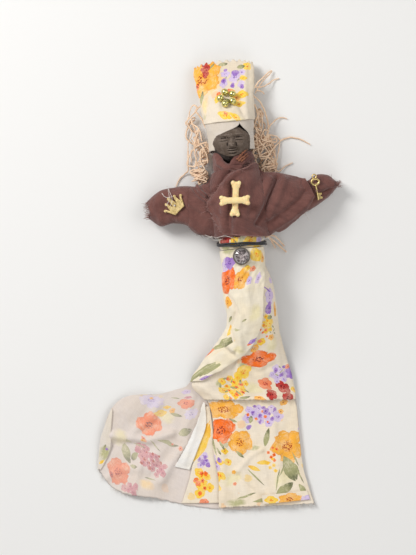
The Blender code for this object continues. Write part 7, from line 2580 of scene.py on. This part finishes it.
@dataclass
class Hat:
    """Flattened printed hat with its lining, stuffing and bead flower.

    Attributes:
        ends: Foot and top along the spine.
        size: Width and thickness that the shares refer to.
        tooth: Depth of the pinked edge.
        teeth: How many teeth run round it.
        head: Place along the spine and radius of the head under it.
        flower: Middle of the bead flower, and distance of its beads from there.
    """

    ends: tuple[float, float] = (0.1110, 0.1665)
    size: tuple[float, float] = (0.0545, 0.0440)
    tooth: float = 0.0022
    teeth: int = 26
    head: tuple[float, float] = (0.0930, 0.0193)
    flower: tuple[float, float, float] = (0.0001, 0.1299, 0.0058)

    SHARES = ((0.0, 0.84, 0.90), (0.18, 0.86, 0.72), (0.36, 0.88, 0.48), (0.62, 0.94, 0.27),
              (0.86, 0.99, 0.16), (1.0, 0.97, 0.13))
    LINING_ANGLES = ((0.0, 50.0, 52.0), (0.22, 51.0, 54.0), (0.34, 43.0, 55.0), (0.42, 29.0, 53.0),
                     (0.50, 10.0, 45.0), (0.58, -12.0, 35.0), (0.65, -22.0, 29.0), (0.72, -24.8, 25.1),
                     (1.0, -24.8, 25.1))
    PRINT = (
        Motif(Bloom.AMBER, (203, 79), 0.0200, 40, 0.9), Motif(Bloom.WASH, (214, 84), 0.0160, 50, 0.7),
        Motif(Bloom.WASH, (205, 106), 0.0130, 80, 0.35), Motif(Bloom.MIST, (236, 122), 0.0110, 10),
        Motif(Bloom.GLAZE, (202, 99), 0.0070, 78, 0.4),
        Motif(Bloom.POPPY, (198, 86), 0.0084, 78, 0.62),
        *cluster(Bloom.RED, (205.5, 70), (4, 6), 0.0024, 8),
        Motif(Bloom.LEAF, (202, 98), 0.0068, 75, 0.28), Motif(Bloom.LILAC, (225, 74), 0.0052, 10, 0.7),
        Motif(Bloom.VIOLET, (225.5, 70), 0.0020, 30), Motif(Bloom.LILAC, (235, 77), 0.0070, 60, 0.75),
        Motif(Bloom.VIOLET, (235, 73), 0.0040, 30, 0.8), Motif(Bloom.LILAC, (223.5, 84), 0.0056, 60, 0.7),
        Motif(Bloom.VIOLET, (223.5, 81), 0.0032, 60), Motif(Bloom.VIOLET, (232.5, 86), 0.0032, 80, 0.7),
        Motif(Bloom.LILAC, (241, 84), 0.0046, 60, 0.6), Motif(Bloom.VIOLET, (242, 87), 0.0028, 80),
        Motif(Bloom.LILAC, (242, 72), 0.0034, 20), Motif(Bloom.LEAF, (241, 66.5), 0.0042, 20, 0.5),
        Motif(Bloom.LEAF, (223, 64), 0.0046, 10, 0.4), Motif(Bloom.YELLOW, (247, 65.5), 0.0044, 60),
        Motif(Bloom.YELLOW, (243, 78), 0.0040, 10, 0.7), Motif(Bloom.YELLOW, (242, 95), 0.0066, 20, 0.7),
        Motif(Bloom.YELLOW, (218, 99), 0.0062, 75, 0.55), Motif(Bloom.POPPY, (218.5, 95), 0.0030, 70, 0.7),
        Motif(Bloom.AMBER, (230, 92), 0.0052, 10, 0.6), Motif(Bloom.POPPY, (229, 90.5), 0.0018),
        Motif(Bloom.YELLOW, (238.5, 105), 0.0064, 20, 0.6), Motif(Bloom.AMBER, (236, 99), 0.0044, 10),
        Motif(Bloom.YELLOW, (225, 117), 0.0076, 150, 0.55),
        Motif(Bloom.YELLOW, (235, 118), 0.0068, 145, 0.42),
        Motif(Bloom.POPPY, (225.5, 115), 0.0038, 150, 0.5), Motif(Bloom.LEAF, (226, 78), 0.0022, 70, 0.3),
        Motif(Bloom.LEAF, (238, 80), 0.0022, 60, 0.3), Motif(Bloom.LEAF, (212, 66), 0.0036, 50, 0.25),
    )
    FOLDS = (
        Fold(((203, 118), (232, 118), (240, 122)), -0.0006, 0.0014),
        Fold(((214, 70), (220, 92), (218, 112)), 0.0012, 0.0034),
        Fold(((246, 66), (245, 92), (246, 120)), 0.0012, 0.0024),
        Fold(((206, 84), (209, 102), (211, 122)), -0.0010, 0.0028),
        Fold(((238, 104), (243, 114), (246, 122)), -0.0012, 0.0022),
    )
    LINING_FOLDS = (
        Fold(((220, 122), (217, 132), (213, 143)), 0.0011, 0.0012),
        Fold(((224, 122), (221, 132)), -0.0011, 0.0014),
        Fold(((240, 124), (245, 132), (249, 142)), 0.0010, 0.0014),
        Fold(((236, 122), (240, 132)), -0.0010, 0.0014),
    )

    def section(self, y: float, inset: float) -> tuple[float, float, float]:
        """Half width, half depth and height of the middle."""
        share = min(max((y - self.ends[0]) / (self.ends[1] - self.ends[0]), 0.0), 1.0)
        wide, deep = read_table(self.SHARES, share)
        return (wide * self.size[0] / 2 - inset, deep * self.size[1] / 2 - inset,
                BUILD.spine * (1 - 0.60 * ease(share)))

    def tube(self, u: float, v: float) -> Vector:
        """Place on the hat's cloth, from the top edge down."""
        y = self.ends[1] + (self.ends[0] - self.ends[1]) * v
        wide, deep, middle = self.section(y, 0.0)
        angle = -math.pi / 2 - 2 * math.pi * u
        y -= 0.0040 * abs(math.cos(angle)) ** 3 * (1 - v) ** 4
        return Vector((wide * math.cos(angle), y, middle + deep * math.sin(angle)))

    def top(self, x: float, y: float) -> float:
        """Height of the hat's upper cloth."""
        wide, deep, middle = self.section(y, 0.0)
        return middle + deep * math.sqrt(1 - min(abs(x) / wide, 1.0) ** 2)

    def lining(self, u: float, v: float) -> Vector:
        """Place on the lining, open at the face."""
        low = 0.0850 + 0.0015 * ease((u - 0.74) / 0.16)
        y = low + (0.1180 - low) * v
        left, right = read_table(self.LINING_ANGLES, v)
        start = 0.0060
        fit = ease((y - self.head[0] - start) / (self.ends[0] - self.head[0] - start - BUILD.cloth))
        ball = self.head[1] + BUILD.gap + BUILD.cloth / 2
        wide, deep, middle = self.section(max(y, self.ends[0]), BUILD.layer)
        wide, deep = ball + (wide - ball) * fit, ball + (deep - ball) * fit
        middle = BUILD.spine + (middle - BUILD.spine) * fit
        angle = math.radians(right + (360 - left - right) * u)
        return Vector((wide * math.sin(angle), y, middle + deep * math.cos(angle)))

    def build(self) -> None:
        """Build the hat."""
        hat = ClothSheet("hat_cloth", self.tube, 104, 14, HAT_PRINT, LINING, 4, closed=True, crumple=0.0008,
                         patch=0.011, motifs=self.PRINT, folds=self.FOLDS, pinked=self.tooth,
                         teeth=self.teeth, seed=51)
        hat.lay("hat", Held.STRETCHED, "hat_wool")
        lining = ClothSheet("lining_cloth", self.lining, 44, 16, HAT_LINING_SHADED, HAT_LINING_SHADED, 4, crumple=0.0004,
                            folds=self.LINING_FOLDS, frayed=("start",), fray=0.0007, seed=52)
        lining.lay("hat_lining", Held.STRETCHED, "stuffed_head")
        self.stuffing()
        self.beads()

    def stuffing(self) -> None:
        """Wool in the lower part of the hat."""
        foot, top = sum(self.head) + BUILD.gap, 0.1500
        rings, rows = [], 24
        for row in range(rows + 1):
            y = foot + (top - foot) * row / rows
            wide, deep, middle = self.section(y, 2 * BUILD.layer + BUILD.cloth)
            narrow = 0.95 * math.sqrt(max(1 - abs(2 * row / rows - 1) ** 4 * 0.6, 0.05))
            ring = []
            for turn in turns(64):
                lump = noise.noise(Vector((3 * math.cos(turn), row / 5, 3 * math.sin(turn))))
                lump = 1 + 0.03 * lump - 0.02
                ring.append(WAIST + Vector((wide * narrow * lump * math.cos(turn), y,
                                            middle + deep * narrow * lump * math.sin(turn))))
            rings.append(ring)
        piece = add_object("hat_wool", ring_mesh("hat_wool", rings), WOOL)
        seat(piece, "doll", "hat_stuffing")

    def beads(self) -> None:
        """Five drilled metal beads sewn on as a flower."""
        radius, bore, steps = 0.0033, 0.0006, 40
        at_x, at_y, ring = self.flower
        outer = [(max(radius * math.sin(turn), bore * 1.2), radius * 0.97 * math.cos(turn))
                 for turn in (math.pi * step / steps for step in range(1, steps))]
        profile = [*outer, (bore, -radius * 0.86), (bore, radius * 0.86), outer[0]]
        for index in range(5):
            angle = math.radians(104.0 + 72 * index)
            x, y = at_x + ring * math.cos(angle), at_y + ring * math.sin(angle)
            spot = over(self.top, x, y, BUILD.cloth / 2 + 0.0003 + radius)
            place = Matrix.Translation(WAIST + spot) @ Matrix.Rotation(angle, 4, "Z") @ Matrix.Rotation(
                math.pi / 2, 4, "X")
            rings = [[place @ Vector((wide * math.cos(turn), wide * math.sin(turn), high))
                      for turn in turns(56)] for wide, high in profile]
            mesh = ring_mesh("gold_bead_%d" % (index + 1), rings, False)
            face_outward(mesh, True)
            mesh.shade_smooth()
            seat(add_object(mesh.name, mesh, BEAD_GOLD), "doll", "hat_bead_%d" % (index + 1))
        rng, knot = random.Random(7), []
        for _ in range(26):
            turn, out = rng.uniform(0, 2 * math.pi), rng.uniform(0.0008, 0.0020)
            x, y = at_x + out * math.cos(turn), at_y + out * math.sin(turn)
            knot.append(WAIST + Vector((x, y, self.top(x, y) + BUILD.cloth + rng.uniform(0.0005, 0.0024))))
        piece = grown("bead_knot", "thread", [smooth_path(knot, 260)], BEAD_THREAD, Radius=0.00045, Sides=7)
        seat(piece, "doll")


@dataclass
class Studio:
    """Pale floor, soft lights and the camera of the photograph.

    Attributes:
        height: Height of the camera over the doll.
        lens: Focal length in millimetres.
        daylight: Strength of the white surroundings.
        LAMPS: Name, place, width and power of each soft lamp.
    """

    height: float = 3.0
    lens: float = 200.0
    daylight: float = 0.32

    LAMPS = (("key_light", (-0.80, 0.85, 1.05), 0.55, 17.5), ("fill_light", (0.95, 0.20, 1.10), 1.1, 5.5),
             ("foot_light", (0.10, -1.10, 0.95), 1.0, 4.0))

    def build(self) -> None:
        """Build floor, lights, world and camera."""
        scene = bpy.context.scene
        scene.view_settings.view_transform = "Standard"
        self.floor()
        for lamp in self.LAMPS:
            self.lamp(*lamp)
        self.world()
        self.camera(scene)

    @staticmethod
    def floor() -> None:
        """Floor that catches the shadow."""
        mesh = bpy.data.meshes.new("floor")
        mesh.from_pydata([(-2, -2, 0), (2, -2, 0), (2, 2, 0), (-2, 2, 0)], [], [(0, 1, 2, 3)])
        add_object("floor", mesh, FLOOR)

    @staticmethod
    def lamp(name: str, place: Row, size: float, power: float) -> None:
        """Soft square lamp that points at the doll."""
        light = bpy.data.lights.new(name, "AREA")
        light.energy, light.size = power, size
        lamp = placed(name, light)
        lamp.location = place
        lamp.rotation_euler = (Vector((0, 0, 0.02)) - Vector(place)).to_track_quat("-Z", "Y").to_euler()

    def world(self) -> None:
        """White surroundings for the camera and plain soft light for the doll."""
        world = bpy.data.worlds.new("studio")
        world.use_nodes = True
        background = world.node_tree.nodes["Background"]
        background.inputs["Color"].default_value = (1.0, 1.0, 1.0, 1.0)
        background.inputs["Strength"].default_value = self.daylight
        bpy.context.scene.world = world

    def camera(self, scene: bpy.types.Scene) -> None:
        """Camera straight over the middle of the photograph."""
        lens = bpy.data.cameras.new("camera")
        lens.lens = self.lens
        lens.sensor_fit = "VERTICAL"
        tall = PHOTO.size[1] * PHOTO.pixel
        lens.sensor_height = self.lens * tall / self.height
        camera = placed("camera", lens)
        camera.location = (*PHOTO.spot(PHOTO.middle), self.height + 0.02)
        camera.rotation_euler = (0.0, 0.0, -math.radians(PHOTO.turn))
        scene.camera = camera


def main() -> None:
    """Build the whole doll and its studio."""
    logging.basicConfig(level=logging.INFO, format="%(message)s")
    body = Body()
    Skirt().build()
    body.build()
    Waist().build()
    Gem().build()
    Head().build()
    Hat().build()
    Charms(body).build()
    Studio().build()


if __name__ == "__main__":
    main()
